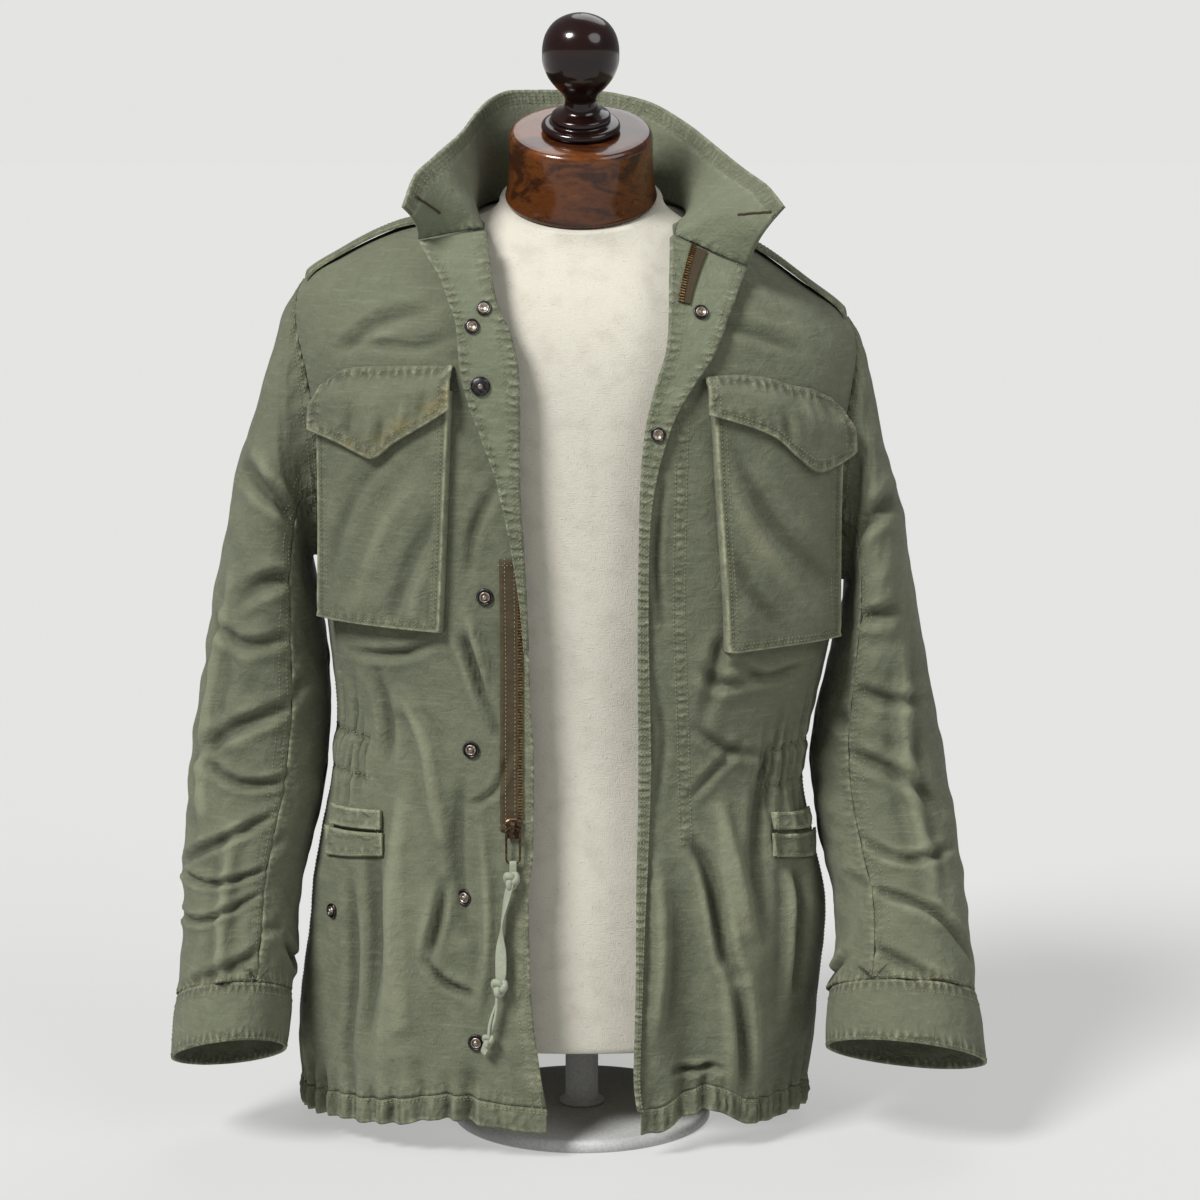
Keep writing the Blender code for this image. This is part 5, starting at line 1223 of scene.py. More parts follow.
def make_finishes(looks):
    """All the materials."""
    cotton = cotton_group()
    wood = wood_group()
    metal = metal_group()
    linen = linen_group()
    sheen = {"Sheen_Weight": 0.05, "Sheen_Roughness": 0.5, "Specular_IOR_Level": 0.2}
    pale = [*looks.worn_and_lit_colour, 1]
    stain = (128, 114, 68)
    # In each cotton below, the darkest colour is also the painted shade and the palest is also the painted
    # highlight.
    cloth = {
        "Cloth": [*looks.cloth_colour, 1], "Faded And Lit": pale, "Deep": [*looks.shade_colour, 1], "Stain": stain,
    }
    finish_from("olive cotton", cotton, cloth, **sheen)
    inside = {
        "Cloth": [*looks.inside_colour, 1], "Faded And Lit": (156, 158, 136), "Deep": (80, 84, 66), "Stain": stain,
    }
    finish_from("sage cotton", cotton, inside, **sheen)
    tape = {
        "Cloth": (140, 144, 127), "Faded And Lit": (176, 179, 160), "Deep": (100, 104, 87), "Stain": stain,
        "Crinkle": 0.7,
    }
    finish_from("cotton tape", cotton, tape, **sheen)
    # The zip tape's own dark brown, darkened further as painted shade.
    brown_with_shade = {
        "Cloth": (62, 53, 37), "Faded And Lit": (92, 80, 56), "Deep": (40, 33, 22), "Stain": stain, "Crinkle": 0.5,
    }
    finish_from("zip tape cloth", cotton, brown_with_shade, **sheen)
    thread = {
        "Cloth": (132, 132, 106), "Faded And Lit": (172, 172, 142), "Deep": (84, 88, 64), "Stain": stain,
        "Crinkle": 0.3,
    }
    finish_from("thread", cotton, thread, Specular_IOR_Level=0.3)
    finish_from(
        "linen", linen, {"Cloth": (190, 186, 173), "Fleck": (118, 108, 90)}, Sheen_Weight=0.15,
        Specular_IOR_Level=0.2,
    )
    coat = {"Coat_Weight": 0.45, "Coat_Roughness": 0.07, "Specular_IOR_Level": 0.2}
    finish_from("walnut", wood, {"Dark": (38, 17, 9), "Bright": (124, 70, 30)}, **coat)
    finish_from("mahogany", wood, {"Dark": (14, 6, 5), "Bright": (36, 14, 10), "Figure Scale": 14.0}, **coat)
    finish_from(
        "bronze", metal, {"Metal": (98, 78, 60), "Tarnish": (48, 39, 32), "Polish": 0.22}, Metallic=1.0,
    )
    finish_from(
        "gunmetal", metal, {"Metal": (74, 72, 74), "Tarnish": (34, 32, 34), "Polish": 0.2}, Metallic=1.0,
    )
    finish_from(
        "pale metal", metal, {"Metal": (170, 160, 148), "Tarnish": (104, 92, 80), "Polish": 0.22},
        Metallic=1.0,
    )
    finish_from(
        "brass", metal, {"Metal": (150, 122, 84), "Tarnish": (70, 54, 38), "Polish": 0.24}, Metallic=1.0,
    )
    finish_from(
        "painted steel", metal, {"Metal": (176, 176, 174), "Tarnish": (160, 160, 158), "Polish": 0.36},
        Metallic=0.0,
    )


# ---------------------------------------------------------------- what repeats along a line
STITCH_LINES = []


def spaced_tree(name, shapes, material):
    """A tree that sets small shapes along lines at an even pitch. Each shape is (kind, size, offset)."""
    tree = bpy.data.node_groups.new(name, "GeometryNodeTree")
    tree.interface.new_socket("Lines", in_out="INPUT", socket_type="NodeSocketGeometry")
    pitch = tree.interface.new_socket("Pitch", in_out="INPUT", socket_type="NodeSocketFloat")
    spread = tree.interface.new_socket("Unevenness", in_out="INPUT", socket_type="NodeSocketFloat")
    tree.interface.new_socket("Geometry", in_out="OUTPUT", socket_type="NodeSocketGeometry")
    entry = tree.nodes.new("NodeGroupInput")
    leave = tree.nodes.new("NodeGroupOutput")
    join = tree.nodes.new("GeometryNodeJoinGeometry")
    for kind, size, offset in shapes:
        if kind == "thread":
            shape = add_node(tree, "GeometryNodeMeshUVSphere", {"Segments": 5, "Rings": 2, "Radius": 1.0})
        else:
            shape = add_node(tree, "GeometryNodeMeshCube", {"Size": (2.0, 2.0, 2.0)})
        moved = add_node(
            tree, "GeometryNodeTransform", {
                "Geometry": shape.outputs["Mesh"], "Translation": offset, "Scale": size,
            }
        )
        tree.links.new(moved.outputs[0], join.inputs[0])
    smooth = add_node(
        tree, "GeometryNodeSetShadeSmooth", {
            "Geometry": join.outputs[0], "Shade Smooth": shapes[0][0] == "thread",
        }
    )
    curve = add_node(tree, "GeometryNodeMeshToCurve", {"Mesh": entry.outputs["Lines"]})
    resample = add_node(
        tree, "GeometryNodeResampleCurve", {"Curve": curve.outputs[0], "Length": entry.outputs["Pitch"]},
        mode="LENGTH",
    )
    tangent = tree.nodes.new("GeometryNodeInputTangent")
    lift = add_node(tree, "GeometryNodeInputNamedAttribute", {"Name": "lift"}, data_type="FLOAT_VECTOR")
    turn = add_node(tree, "FunctionNodeAlignRotationToVector", {"Vector": tangent.outputs[0]}, axis="Z")
    values = {"Rotation": turn.outputs[0], "Vector": lift.outputs[0]}
    level = add_node(tree, "FunctionNodeAlignRotationToVector", values, axis="Y", pivot_axis="Z")
    uneven = add_node(tree, "FunctionNodeRandomValue", {"Seed": 7}, data_type="FLOAT")
    low = sums(tree, "SUBTRACT", 1.0, entry.outputs["Unevenness"])
    high = sums(tree, "ADD", 1.0, entry.outputs["Unevenness"])
    tree.links.new(low, uneven.inputs[2])
    tree.links.new(high, uneven.inputs[3])
    placed = add_node(
        tree,
        "GeometryNodeInstanceOnPoints",
        {
            "Points": resample.outputs[0], "Instance": smooth.outputs[0], "Rotation": level.outputs[0],
            "Scale": uneven.outputs[1],
        },
    )
    whole = add_node(tree, "GeometryNodeRealizeInstances", {"Geometry": placed.outputs[0]})
    painted = add_node(tree, "GeometryNodeSetMaterial", {"Geometry": whole.outputs[0], "Material": material})
    tree.links.new(painted.outputs[0], leave.inputs[0])
    return tree, pitch.identifier, spread.identifier


def along_lines(name, lines, shapes, pitch, uneven, material):
    """One plain mesh of shapes set along the lines. A line is (points, outward directions)."""
    points = []
    lifts = []
    joins = []
    for line, lift in lines:
        start = len(points)
        points += (np.asarray(line) + PLACE).tolist()
        lifts.append(np.broadcast_to(lift, (len(line), 3)))
        joins += [(start + i, start + i + 1) for i in range(len(line) - 1)]
    mesh = bpy.data.meshes.new(name + "_lines")
    mesh.from_pydata(points, joins, [])
    attribute = mesh.attributes.new("lift", "FLOAT_VECTOR", "POINT")
    attribute.data.foreach_set("vector", np.concatenate(lifts).astype(np.float32).ravel())
    guide = new_object(name + "_lines", mesh)
    tree, pitch_socket, uneven_socket = spaced_tree(name + " along lines", shapes, material)
    modifier = guide.modifiers.new("along lines", "NODES")
    modifier.node_group = tree
    modifier[pitch_socket] = pitch
    modifier[uneven_socket] = uneven
    graph = bpy.context.evaluated_depsgraph_get()
    made = bpy.data.meshes.new_from_object(guide.evaluated_get(graph))
    if not len(made.polygons):
        raise RuntimeError(name + " came out empty")
    made.name = name
    if not made.materials:
        made.materials.append(material)
    bpy.data.objects.remove(guide)
    piece = new_object(name, made)
    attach(piece, "jacket_and_form")


def sew(points, outwards):
    """Keep a line of sewing for later."""
    STITCH_LINES.append((np.asarray(points, float) + np.asarray(outwards) * 0.0002, outwards))


def sew_grid(grid, normals, rows=None, columns=None):
    """Sewing along whole rows or columns of a grid of cloth."""
    for r in rows or ():
        sew(grid[r], normals[r])
    for c in columns or ():
        sew(grid[:, c], normals[:, c])


def sew_cells(grid, normals, cells):
    """Sewing through single places of a grid, given as (row, column)."""
    sew([grid[r, c] for r, c in cells], np.array([normals[r, c] for r, c in cells]))


# ---------------------------------------------------------------- the pieces
def body_rows(pitch):
    """Rises of the panels' rows: an even run, and more of them round the armhole."""
    plain = np.arange(HEM_RISE, NECK_RISE, pitch)
    around = ARMHOLE_MIDDLE - ARMHOLE_HALF * np.cos(np.radians(np.arange(0, 181, 6)))
    rows = np.sort(np.concatenate([plain, around, [NECK_RISE]]))
    kept = [rows[0]]
    for row in rows[1:]:
        if row - kept[-1] > 0.0007:
            kept.append(row)
    kept[-1] = NECK_RISE
    return np.array(kept)


def seam_gap(near, rise):
    """Distance from the side, armhole or shoulder seam."""
    return np.maximum(front_stop(rise) - near, 0) * BODY_DEGREE


def make_front(side):
    """A front, with its seams, cord rows and edge rows."""
    name = SIDES[side]
    rise, share = np.meshgrid(body_rows(0.0029), np.linspace(0, 1, 88), indexing="ij")
    turn = front_turn(side, share, rise)
    relief = front_relief(side, turn, rise)
    outer = cloth_point(turn, rise, relief)
    normals = ring_normal(turn, rise)
    gap = seam_gap(turn * side, rise)
    x = outer[..., 0]
    waist = step(turn * side, *WAIST_FROM) * waist_rows(rise, CORD_PUCKER)
    hem = 1 - step(rise, HEM_RISE, HEM_RISE + HEM_FADE)
    seam = hump(gap, SEAM_PUCKER)
    band = 0
    if side > 0:
        line = ((0.079, 0.623), (0.077, 0.547), (0.076, 0.466), (0.079, 0.368), (0.0825, 0.266))
        off, _ = near_line(x, outer[..., 2], line)
        band = 0.8 * hump(off, 0.0038) * (outer[..., 2] > 0.262) * (outer[..., 2] < 0.628)
    across = 0.5 * (waist + hem)
    inward = (turn * side - turn[:, :1] * side) * 0.003
    free = (hump(inward, 0.0016) + 0.35 * hump(inward - 0.007, 0.003)) * (rise < 0.44) * (side < 0)
    worn = 0.55 * hump(gap, SEAM_WEAR) + 0.25 * waist + 0.2 * hem + 0.4 * band + 0.8 * free
    marks = {
        # Painted shade where the relief and folds sink the cloth, painted highlight where they lift it.
        "painted_fold_light": np.clip(-(relief + 0.5 * fold_depth(turn, rise)) / FULL_PAINTED_SHADE, -1, 1),
        "pucker": np.clip(0.5 * seam + across + band + 0.7 * free, 0, 1),
        "wear": np.clip(worn, 0, 1),
        "along": np.where(across > seam + band + free, turn * side * BODY_DEGREE, rise),
    }
    panel(f"front_{name}", outer, outer - CLOTH * normals, marks)
    low = int(np.searchsorted(rise[:, 0], 0.475))
    sew(outer[:low, -3], normals[:low, -3])
    if side < 0:
        for column in (1, 3):
            sew(outer[: low - 18, column], normals[: low - 18, column])
    for row in WAIST_CORDS:
        for shift in (-CORD_SEWING, CORD_SEWING):
            r = int(np.argmin(np.abs(rise[:, 0] - row - shift)))
            c = int(np.searchsorted(turn[r] * side, 52.0))
            sew(outer[r, c:], normals[r, c:])
    if side > 0:
        places = np.linspace(0, 1, 150)
        zs = spline(np.linspace(0, 1, 5), [p[1] for p in line])(places)
        xs = spline([-p[1] for p in line], [p[0] for p in line])(-zs)
        for shift in (-0.0045, 0.0045):
            sew(front_place(1, xs + shift, zs, 0.0003), (0.0, -1.0, 0.0))


def make_back(scene):
    """The back, in one piece."""
    rise, share = np.meshgrid(body_rows(0.0036), np.linspace(0, 1, 172), indexing="ij")
    turn = back_turn(share, rise)
    relief = back_relief(turn, rise)
    outer = cloth_point(turn, rise, relief)
    normals = ring_normal(turn, rise)
    gap = np.minimum(turn - back_turn(0.0, rise), back_turn(1.0, rise) - turn) * BODY_DEGREE
    waist = waist_rows(rise, CORD_PUCKER)
    hem = 1 - step(rise, HEM_RISE, HEM_RISE + HEM_FADE)
    seam = hump(gap, SEAM_PUCKER)
    marks = {
        # Painted shade where the relief and folds sink the cloth, painted highlight where they lift it.
        "painted_fold_light": np.clip(-(relief + 0.5 * fold_depth(turn, rise)) / FULL_PAINTED_SHADE, -1, 1),
        "pucker": np.clip(0.5 * seam + 0.5 * (waist + hem), 0, 1),
        "wear": np.clip(0.55 * hump(gap, SEAM_WEAR) + 0.25 * waist + 0.2 * hem, 0, 1),
        "along": np.where(waist + hem > seam, turn * BODY_DEGREE, rise),
    }
    panel("back", outer, outer - CLOTH * normals, marks)
    for row in WAIST_CORDS:
        for shift in (-CORD_SEWING, CORD_SEWING):
            r = int(np.argmin(np.abs(rise[:, 0] - row - shift)))
            sew(outer[r], normals[r])
    sew_grid(outer, normals, rows=(-4,))


def make_hem(name, turn, relief, gathers):
    """The hem casing: a doubled band under a panel, with its rows running down."""
    share, drop = np.meshgrid(turn, np.linspace(0, 1, 12), indexing="xy")
    top = cloth_point(turn, HEM_RISE, relief)
    normals = ring_normal(turn, HEM_RISE)
    level = HEM_RISE + 0 * drop
    pull = gather_relief(np.abs(share), level, gathers, HEM_RISE, True)
    fine = gather_relief(
        np.abs(share), level, gather_list(10.0, 350.0, 21, 2.4, 0.0026, 0.02), HEM_RISE, True,
    )
    wave = (0.45 * pull + fine * np.abs(np.sin(3.3 * drop + share * 0.7)) + 0.0011) * np.sin(math.pi * drop)
    wave = wave + 0.0007 * ripple(share * BODY_DEGREE, drop * 0.03, 0.012, 52) * np.sin(math.pi * drop)
    falls = 0.0004 + (HEM_HEIGHT - 0.0004 + 0.12 * pull) * drop
    falls = falls + 0.0007 * ripple(share * BODY_DEGREE, drop * 0.02, 0.03, 51) * drop
    outer = top[None] + normals[None] * wave[..., None] - falls[..., None] * np.array((0, 0, 1.0))
    marks = {
        "pucker": np.clip(0.15 + 0.5 * hump(drop, 0.15) + 0.5 * hump(1 - drop, 0.15), 0, 1),
        "wear": np.clip(0.75 * hump(1 - drop, 0.12) + 0.4 * hump(drop, 0.12), 0, 1),
        "along": share * BODY_DEGREE,
        # Painted shade in the gathers' troughs, painted highlight on their ridges.
        "painted_fold_light": np.clip(-(pull + 2 * fine) / 0.005, -1, 1),
    }
    panel(
        name, outer, outer - DOUBLE_CLOTH * normals[None], marks,
    )
    sew(outer[1], normals)
    sew(outer[2], normals)


def facing_profile_fine(side, rise):
    """The facing's outer and inner faces from the roll to the free edge, and share and roll across them."""
    gap = 0.0006
    angle = np.radians(np.linspace(-90, 90, 13))
    far = ROLL_RADIUS + CLOTH
    outer_reach = list(-gap - far * np.cos(angle))
    outer_out = list(ROLL_RADIUS + far * np.sin(angle))
    inner_reach = list(-gap - ROLL_RADIUS * np.cos(angle))
    inner_out = list(ROLL_RADIUS + ROLL_RADIUS * np.sin(angle))
    shares = np.linspace(0.05, 1.0, 15)
    columns = len(angle) + len(shares)
    outer = np.zeros((len(rise), columns, 3))
    inner = np.zeros((len(rise), columns, 3))
    for c in range(columns):
        if c < len(angle):
            places = ((outer, outer_reach[c], outer_out[c]), (inner, inner_reach[c], inner_out[c]))
        else:
            share = shares[c - len(angle)]
            reach, level = facing_level(side, rise, share)
            level = level + 0.0005 * step(share, 0.5, 1.0) * np.sin(
                rise * 2 * math.pi / 0.0115 + 3 * np.sin(rise * 90)
            )
            places = ((outer, reach, level + CLOTH), (inner, reach, level))
        for grid, reach, out in places:
            grid[:, c] = facing_on(side, rise, reach + 0 * rise, out)
    share = np.concatenate([np.zeros(len(angle)), shares])
    roll = np.concatenate([np.cos(angle), np.zeros(len(shares))])
    return outer, inner, share, roll


def make_facing(side):
    """A turned-out facing, with its rolled edge."""
    name = SIDES[side]
    lowest = facing_tables[side][0][0] - 0.006
    rise = np.arange(max(lowest, HEM_RISE), 0.7632, 0.0027)
    outer, inner, share, roll = facing_profile_fine(side, rise)
    width = facing[side]["width"](rise)[:, None]
    from_fold = share[None] * width
    to_edge = (1 - share[None]) * width
    marks = {
        "pucker": np.clip(0.9 * hump(from_fold, 0.007) + hump(to_edge - 0.003, 0.005), 0, 1),
        "wear": np.clip(0.8 * roll[None] + 0.75 * hump(to_edge, 0.0022), 0, 1),
        "along": rise[:, None] + 0 * share[None],
    }
    panel(
        f"facing_{name}", outer, inner, marks, "sage cotton",
    )
    normals = grid_normals(outer, np.array((0, 0.1, 0.5)))
    sew_grid(outer, normals, columns=(11, 15, -3))


def collar_grid():
    """The collar's inner face, from its seam to its outer edge, and the share along the edge."""
    stations = []
    last = np.array([0.763])
    for side, alongs in ((-1, (0.105, 0.075, 0.035, 0.0)), (1, (0.895, 0.925, 0.965, 1.0))):
        for along, share in zip(alongs, (0.0, 0.3, 0.65, 1.0)):
            if share == 0:
                seam = facing_on(side, last, -0.0006 + 0 * last, 2 * ROLL_RADIUS + CLOTH + 0 * last)[0]
            else:
                reach, level = facing_level(side, last, share)
                seam = facing_on(side, last, reach, level + CLOTH)[0]
            stations.append((along, seam))
    right_edge = float(edge_turn(-1, NECK_RISE))
    left_edge = float(edge_turn(1, NECK_RISE))
    for i in range(19):
        turn = -right_edge - 7.0 + (left_edge - 353.0 + right_edge + 7.0) * i / 18
        stations.append((0.165 + 0.67 * i / 18, ring_point(turn, NECK_RISE)))
    stations.sort(key=lambda station: station[0])
    alongs = [along for along, _ in stations]
    fine = np.linspace(0, 1, 132)
    seam = np.stack([spline(alongs, [point[k] for _, point in stations])(fine) for k in range(3)], -1)
    edge = np.stack([collar_edge[key](fine) for key in ("x", "y", "z")], -1)
    share = np.linspace(0, 1, 34)[:, None, None]
    behind = swell(fine, 0.1, 0.9) ** 0.25
    start = seam + unit(edge - seam) * (0.0012 - 0.0034 * behind)[:, None]
    grid = start[None] + (edge - start)[None] * share
    outward = unit(grid * np.array((1.0, 0.5, 0.0)))
    grid = grid - outward * 0.004 * np.sin(math.pi * share)
    return grid, fine, share[:, 0, 0]


def make_collar(scene):
    """The standing collar, open, with the slits at its points."""
    visible, along, up = collar_grid()
    normals = grid_normals(visible, np.array((-0.003, -0.01, 0.9)))
    normals[0, :, 2] = np.maximum(normals[0, :, 2], 0.25)
    normals[0] = unit(normals[0])
    tall = np.linalg.norm(visible[-1] - visible[0], axis=1)
    run = np.concatenate([[0], np.cumsum(np.linalg.norm(np.diff(visible[-1], axis=0), axis=1))])
    off = (1 - up[:, None]) * tall[None]
    wave = 0.0003 * np.sin(
        run[None] * 2 * math.pi / 0.009 + 2.5 * np.sin(run[None] * 60)
    ) * (1 - step(off, 0.01, 0.016))
    soft = 0.001 * ripple(run[None] + 0 * off, off, 0.05, 61) * np.sin(math.pi * up)[:, None]
    visible = visible - normals * (wave + soft)[..., None]
    band = 1 - step(off, 0.011, 0.015)
    marks = {
        "pucker": np.clip(0.7 * band + 0.8 * hump(up[:, None] * tall[None], 0.006), 0, 1),
        "wear": np.clip(0.8 * hump(off, 0.0022) + 0.5 * hump(off - 0.013, 0.0016), 0, 1),
        "along": run[None] + 0 * off,
    }
    behind = visible + DOUBLE_CLOTH * normals
    panel("collar", visible, behind, marks, "sage cotton")
    for reach in (0.0025, 0.0055, 0.0085, 0.0115):
        share = 1 - reach / tall
        place = np.clip(share * (len(up) - 1), 0, len(up) - 1.001)
        low = place.astype(int)
        mix = (place - low)[:, None]
        column = np.arange(len(along))
        line = visible[low, column] * (1 - mix) + visible[low + 1, column] * mix
        sew(line, -normals[low, column])
    slits = []
    for start, stop in (((-0.134, 0.788), (-0.115, 0.774)), ((0.123, 0.7725), (0.149, 0.7755))):
        line = []
        for share in np.linspace(0, 1, 12):
            place = np.array(start) * (1 - share) + np.array(stop) * share
            away = np.hypot(visible[..., 0] - place[0], visible[..., 2] - place[1])
            near = np.argsort(away, axis=None)[:6]
            weight = 1 / (away.ravel()[near] + 0.0003)
            spot = (visible.reshape(-1, 3)[near] * weight[:, None]).sum(0) / weight.sum()
            line.append(spot - 0.0004 * normals.reshape(-1, 3)[near[0]])
        slits.append(tube(np.array(line), 0.0009, 8))
    points, faces = join_parts(slits)
    finish_piece("collar_slits", points, faces, FINISHES["zip tape cloth"])


def sleeve_relief(side, down, angle):
    """Creases and small rumples of a sleeve. down is in metres from the armhole."""
    round_it = np.mod(angle, 360.0)
    out = 0.0
    for shift in (0.0, 360.0):
        lines = [
            ([(share * SLEEVE_LENGTH, degrees * SLEEVE_DEGREE) for share, degrees in line], width, depth)
            for line, width, depth in SLEEVE_CREASES[side]
        ]
        out = out + crease_relief(down, (round_it + shift) * SLEEVE_DEGREE, lines)
    quiet = step(down, 0.0, 0.03) * (1 - step(down, SLEEVE_LENGTH * 0.92, SLEEVE_LENGTH * 0.97))
    out = out + 0.0011 * ripple(down * 1.4, round_it * SLEEVE_DEGREE, 0.06, 71 + side)
    out = out + 0.0004 * ripple(down, round_it * SLEEVE_DEGREE, 0.022, 81 + side)
    head = 0.0007 * np.sin(round_it * 0.42 + 2 * np.sin(round_it * 0.05)) * (1 - step(down, 0.004, 0.045))
    return out * quiet + head


def make_sleeve(side):
    """Both parts of a sleeve."""
    name = SIDES[side]
    for part, first, last, count in (
        ("top", ARM_SPLIT, 360 - ARM_SPLIT, 98), ("under", -ARM_SPLIT, ARM_SPLIT, 50),
    ):
        angles = np.linspace(first + 0.18, last - 0.18, count)
        grid, down = through(sleeve_rings(side, angles)[:-1], SLEEVE_ROWS)
        middle = through(sleeve_rings(side, np.array((0.0, 180.0)))[:-1], SLEEVE_ROWS)[0].mean(
            axis=1, keepdims=True,
        )
        normals = grid_normals(grid, middle)
        degrees = np.broadcast_to(angles[None], grid.shape[:2])
        drop = np.broadcast_to(down[:, None], grid.shape[:2])
        to_seam = np.minimum(degrees - first, last - degrees) * SLEEVE_DEGREE
        settle = 1 - hump(to_seam, 0.006)
        relief = sleeve_relief(side, drop, degrees)
        relief = relief * (0.35 + 0.65 * settle) - 0.0006 * hump(to_seam, 0.0018)
        outer = grid + normals * relief[..., None]
        normals = grid_normals(outer, middle)
        head = hump(drop, 0.007)
        foot = hump(down[-1] - drop, 0.007)
        seam = hump(to_seam, SEAM_PUCKER)
        marks = {
            # Painted shade where the creases sink the sleeve, painted highlight where they lift it.
            "painted_fold_light": np.clip(-relief / FULL_PAINTED_SHADE, -1, 1),
            "pucker": np.clip(head + foot + 0.5 * seam, 0, 1),
            "wear": np.clip(0.55 * hump(drop, 0.0035) + 0.5 * foot + 0.55 * hump(to_seam, SEAM_WEAR), 0, 1),
            "along": np.where(head + foot > seam, degrees * SLEEVE_DEGREE, drop),
        }
        panel(f"sleeve_{part}_{name}", outer, outer - CLOTH * normals, marks)
        sew_grid(outer, normals, rows=(2, 4, -2))
        if part == "top":
            sew_grid(outer, normals, columns=(2, 5, -3, -6))


def make_cuff(side):
    """A cuff: a doubled band round the sleeve's end."""
    name = SIDES[side]
    angles = np.linspace(0, 360, 132, endpoint=False)
    top, bottom = sleeve_rings(side, angles)[-2:]
    down = unit(bottom - top)
    centre = top.mean(axis=0)
    spread = unit(top - centre)
    share = np.linspace(0, 1, 24)[:, None, None]
    grid = top + down * 0.0005 + (bottom - top - down * 0.0005) * share
    flare = 0.0012 * np.clip(share / 0.15, 0, 1)
    wave = 0.0007 * ripple(share[..., 0] * 0.05, angles[None] * SLEEVE_DEGREE, 0.035, 91 + side)[..., None]
    edge = 0.0006 * np.sin(math.pi * share) ** 2
    grid = grid + spread * (flare + wave * np.sin(math.pi * share) + edge)
    normals = grid_normals(grid, grid.mean(axis=1, keepdims=True), wrap=True)
    tall = float(np.linalg.norm(bottom - top, axis=1).mean())
    off = np.minimum(share[..., 0], 1 - share[..., 0]) * tall + 0 * angles[None]
    marks = {
        "pucker": np.clip(hump(off - 0.003, 0.005), 0, 1),
        "wear": np.clip(0.8 * hump(off, 0.0022), 0, 1),
        "along": angles[None] * SLEEVE_DEGREE + 0 * off,
    }
    inner = grid - DOUBLE_CLOTH * normals
    panel(f"cuff_{name}", grid, inner, marks, wrap=True)
    closed = list(range(len(angles))) + [0]
    for r in (1, 4, -2):
        sew(grid[r][closed], normals[r][closed])
    if side < 0:
        block = [(6, 52), (6, 62), (17, 62), (17, 52), (6, 52)]
        corner_rows = []
        for (r0, c0), (r1, c1) in zip(block[:-1], block[1:]):
            for t in np.linspace(0, 1, 12):
                corner_rows.append((int(round(r0 + (r1 - r0) * t)), int(round(c0 + (c1 - c0) * t))))
        kept = [corner_rows[0]] + [b for a, b in zip(corner_rows[:-1], corner_rows[1:]) if a != b]
        sew_cells(grid, normals, kept)


def corner_place(corners, across, up):
    """Places between four corners, by shares across and up."""
    low = [a + (b - a) * across for a, b in zip(corners[0], corners[1])]
    high = [a + (b - a) * across for a, b in zip(corners[3], corners[2])]
    return [a + (b - a) * up for a, b in zip(low, high)]


PIPING = (
    (0, 0), (0.0003, 0.35), (0.0007, 0.72), (0.0013, 0.97), (0.0021, 1.06), (0.0031, 1.06), (0.0042, 0.99),
    (0.0056, 0.95), (0.0085, 0.97), (0.013, 1.0),
)
POCKET_CREASES = {
    -1: creases((
        (9.0, -1.2, -106, 556, -138, 494, -158, 432), (9.0, 0.8, -122, 575, -158, 520, -184, 440),
        (8.0, -0.9, -150, 590, -184, 540, -203, 470), (6.0, -0.8, -116, 490, -124, 462, -122, 430),
    )),
    1: creases((
        (9.0, -1.0, 110, 600, 146, 530, 196, 470), (9.0, -1.0, 104, 530, 132, 470, 166, 430),
        (9.0, 0.7, 108, 560, 150, 490, 190, 440), (7.0, -0.7, 180, 600, 196, 550, 200, 500),
    )),
}


def make_pocket(side):
    """A chest pocket that stands out from the front, with a piped rim."""
    name = SIDES[side]
    corners = POCKET_CORNERS[side]
    width = abs(corners[1][0] - corners[0][0])
    tall = abs(corners[3][1] - corners[0][1])
    rim = [0, 0.0002, 0.0005, 0.0009, 0.0014, 0.002, 0.0027, 0.0035, 0.0046, 0.006, 0.008, 0.011, 0.015]
    height = spline([p[0] for p in PIPING], [p[1] for p in PIPING])
    outer_edge = 0.0 if side < 0 else 1.0
    low_side = [d / width for d in rim]
    us = np.array(low_side + list(np.linspace(0.2, 0.8, 22)) + [1 - u for u in reversed(low_side)])
    vs = np.array([d / tall for d in rim] + list(np.linspace(0.13, 1.0, 40)))
    v, u = np.meshgrid(vs, us, indexing="ij")
    off_u = np.minimum(u, 1 - u) * width
    off_v = v * tall
    off = np.minimum(off_u, off_v)
    grids = []
    for inset, share in ((0.0, 1.0), (0.0017, 0.82)):
        shift_u = inset * np.exp(-off_u / 0.01) / width * np.where(u < 0.5, 1, -1)
        shift_v = inset * np.exp(-off_v / 0.01) / tall
        uu = u + shift_u
        vv = v + shift_v
        x, z = corner_place(corners, uu, vv)
        flare = POCKET_FLARE * (1 - np.abs(u - outer_edge)) ** 3 * (1 - v) ** 2
        puff = 0.0007 * ripple(x, z, 0.05, 101 + side) * step(off, 0.006, 0.03)
        slump = crease_relief(x, z, POCKET_CREASES[side]) * step(off, 0.003, 0.012)
        puff = puff + slump
        out = 0.0011 + share * np.minimum(height(off_u), height(off_v)) * (POCKET_DEPTH + flare) + puff
        grids.append(front_place(side, x, z, out))
    mitre = step(np.abs(off_u - off_v), 0.0, 0.006)
    marks = {
        # Painted shade where the pocket sags in creases and in a thin line just inside the piped rim, painted
        # highlight where it bulges.
        "painted_fold_light": np.clip(-slump / 0.003 + 0.9 * hump(off - 0.0046, 0.001), -1, 1),
        "pucker": np.clip(hump(off - 0.005, 0.0035), 0, 1) * mitre * np.where(off_v < off_u, 0.45, 0.2),
        "wear": np.clip(0.8 * hump(off - 0.0016, 0.0011), 0, 1),
        "along": np.where(off_u < off_v, v * tall, u * width),
    }
    panel(f"pocket_{name}", grids[0], grids[1], marks)
    normals = grid_normals(grids[0], np.array((0, 0.3, 0.5)))
    for d in (8, 10):
        line = [(r, d) for r in range(len(vs) - 1, d, -1)] + [(d, c) for c in range(d, len(us) - d)]
        line += [(r, len(us) - 1 - d) for r in range(d, len(vs))]
        sew_cells(grids[0], normals, line)


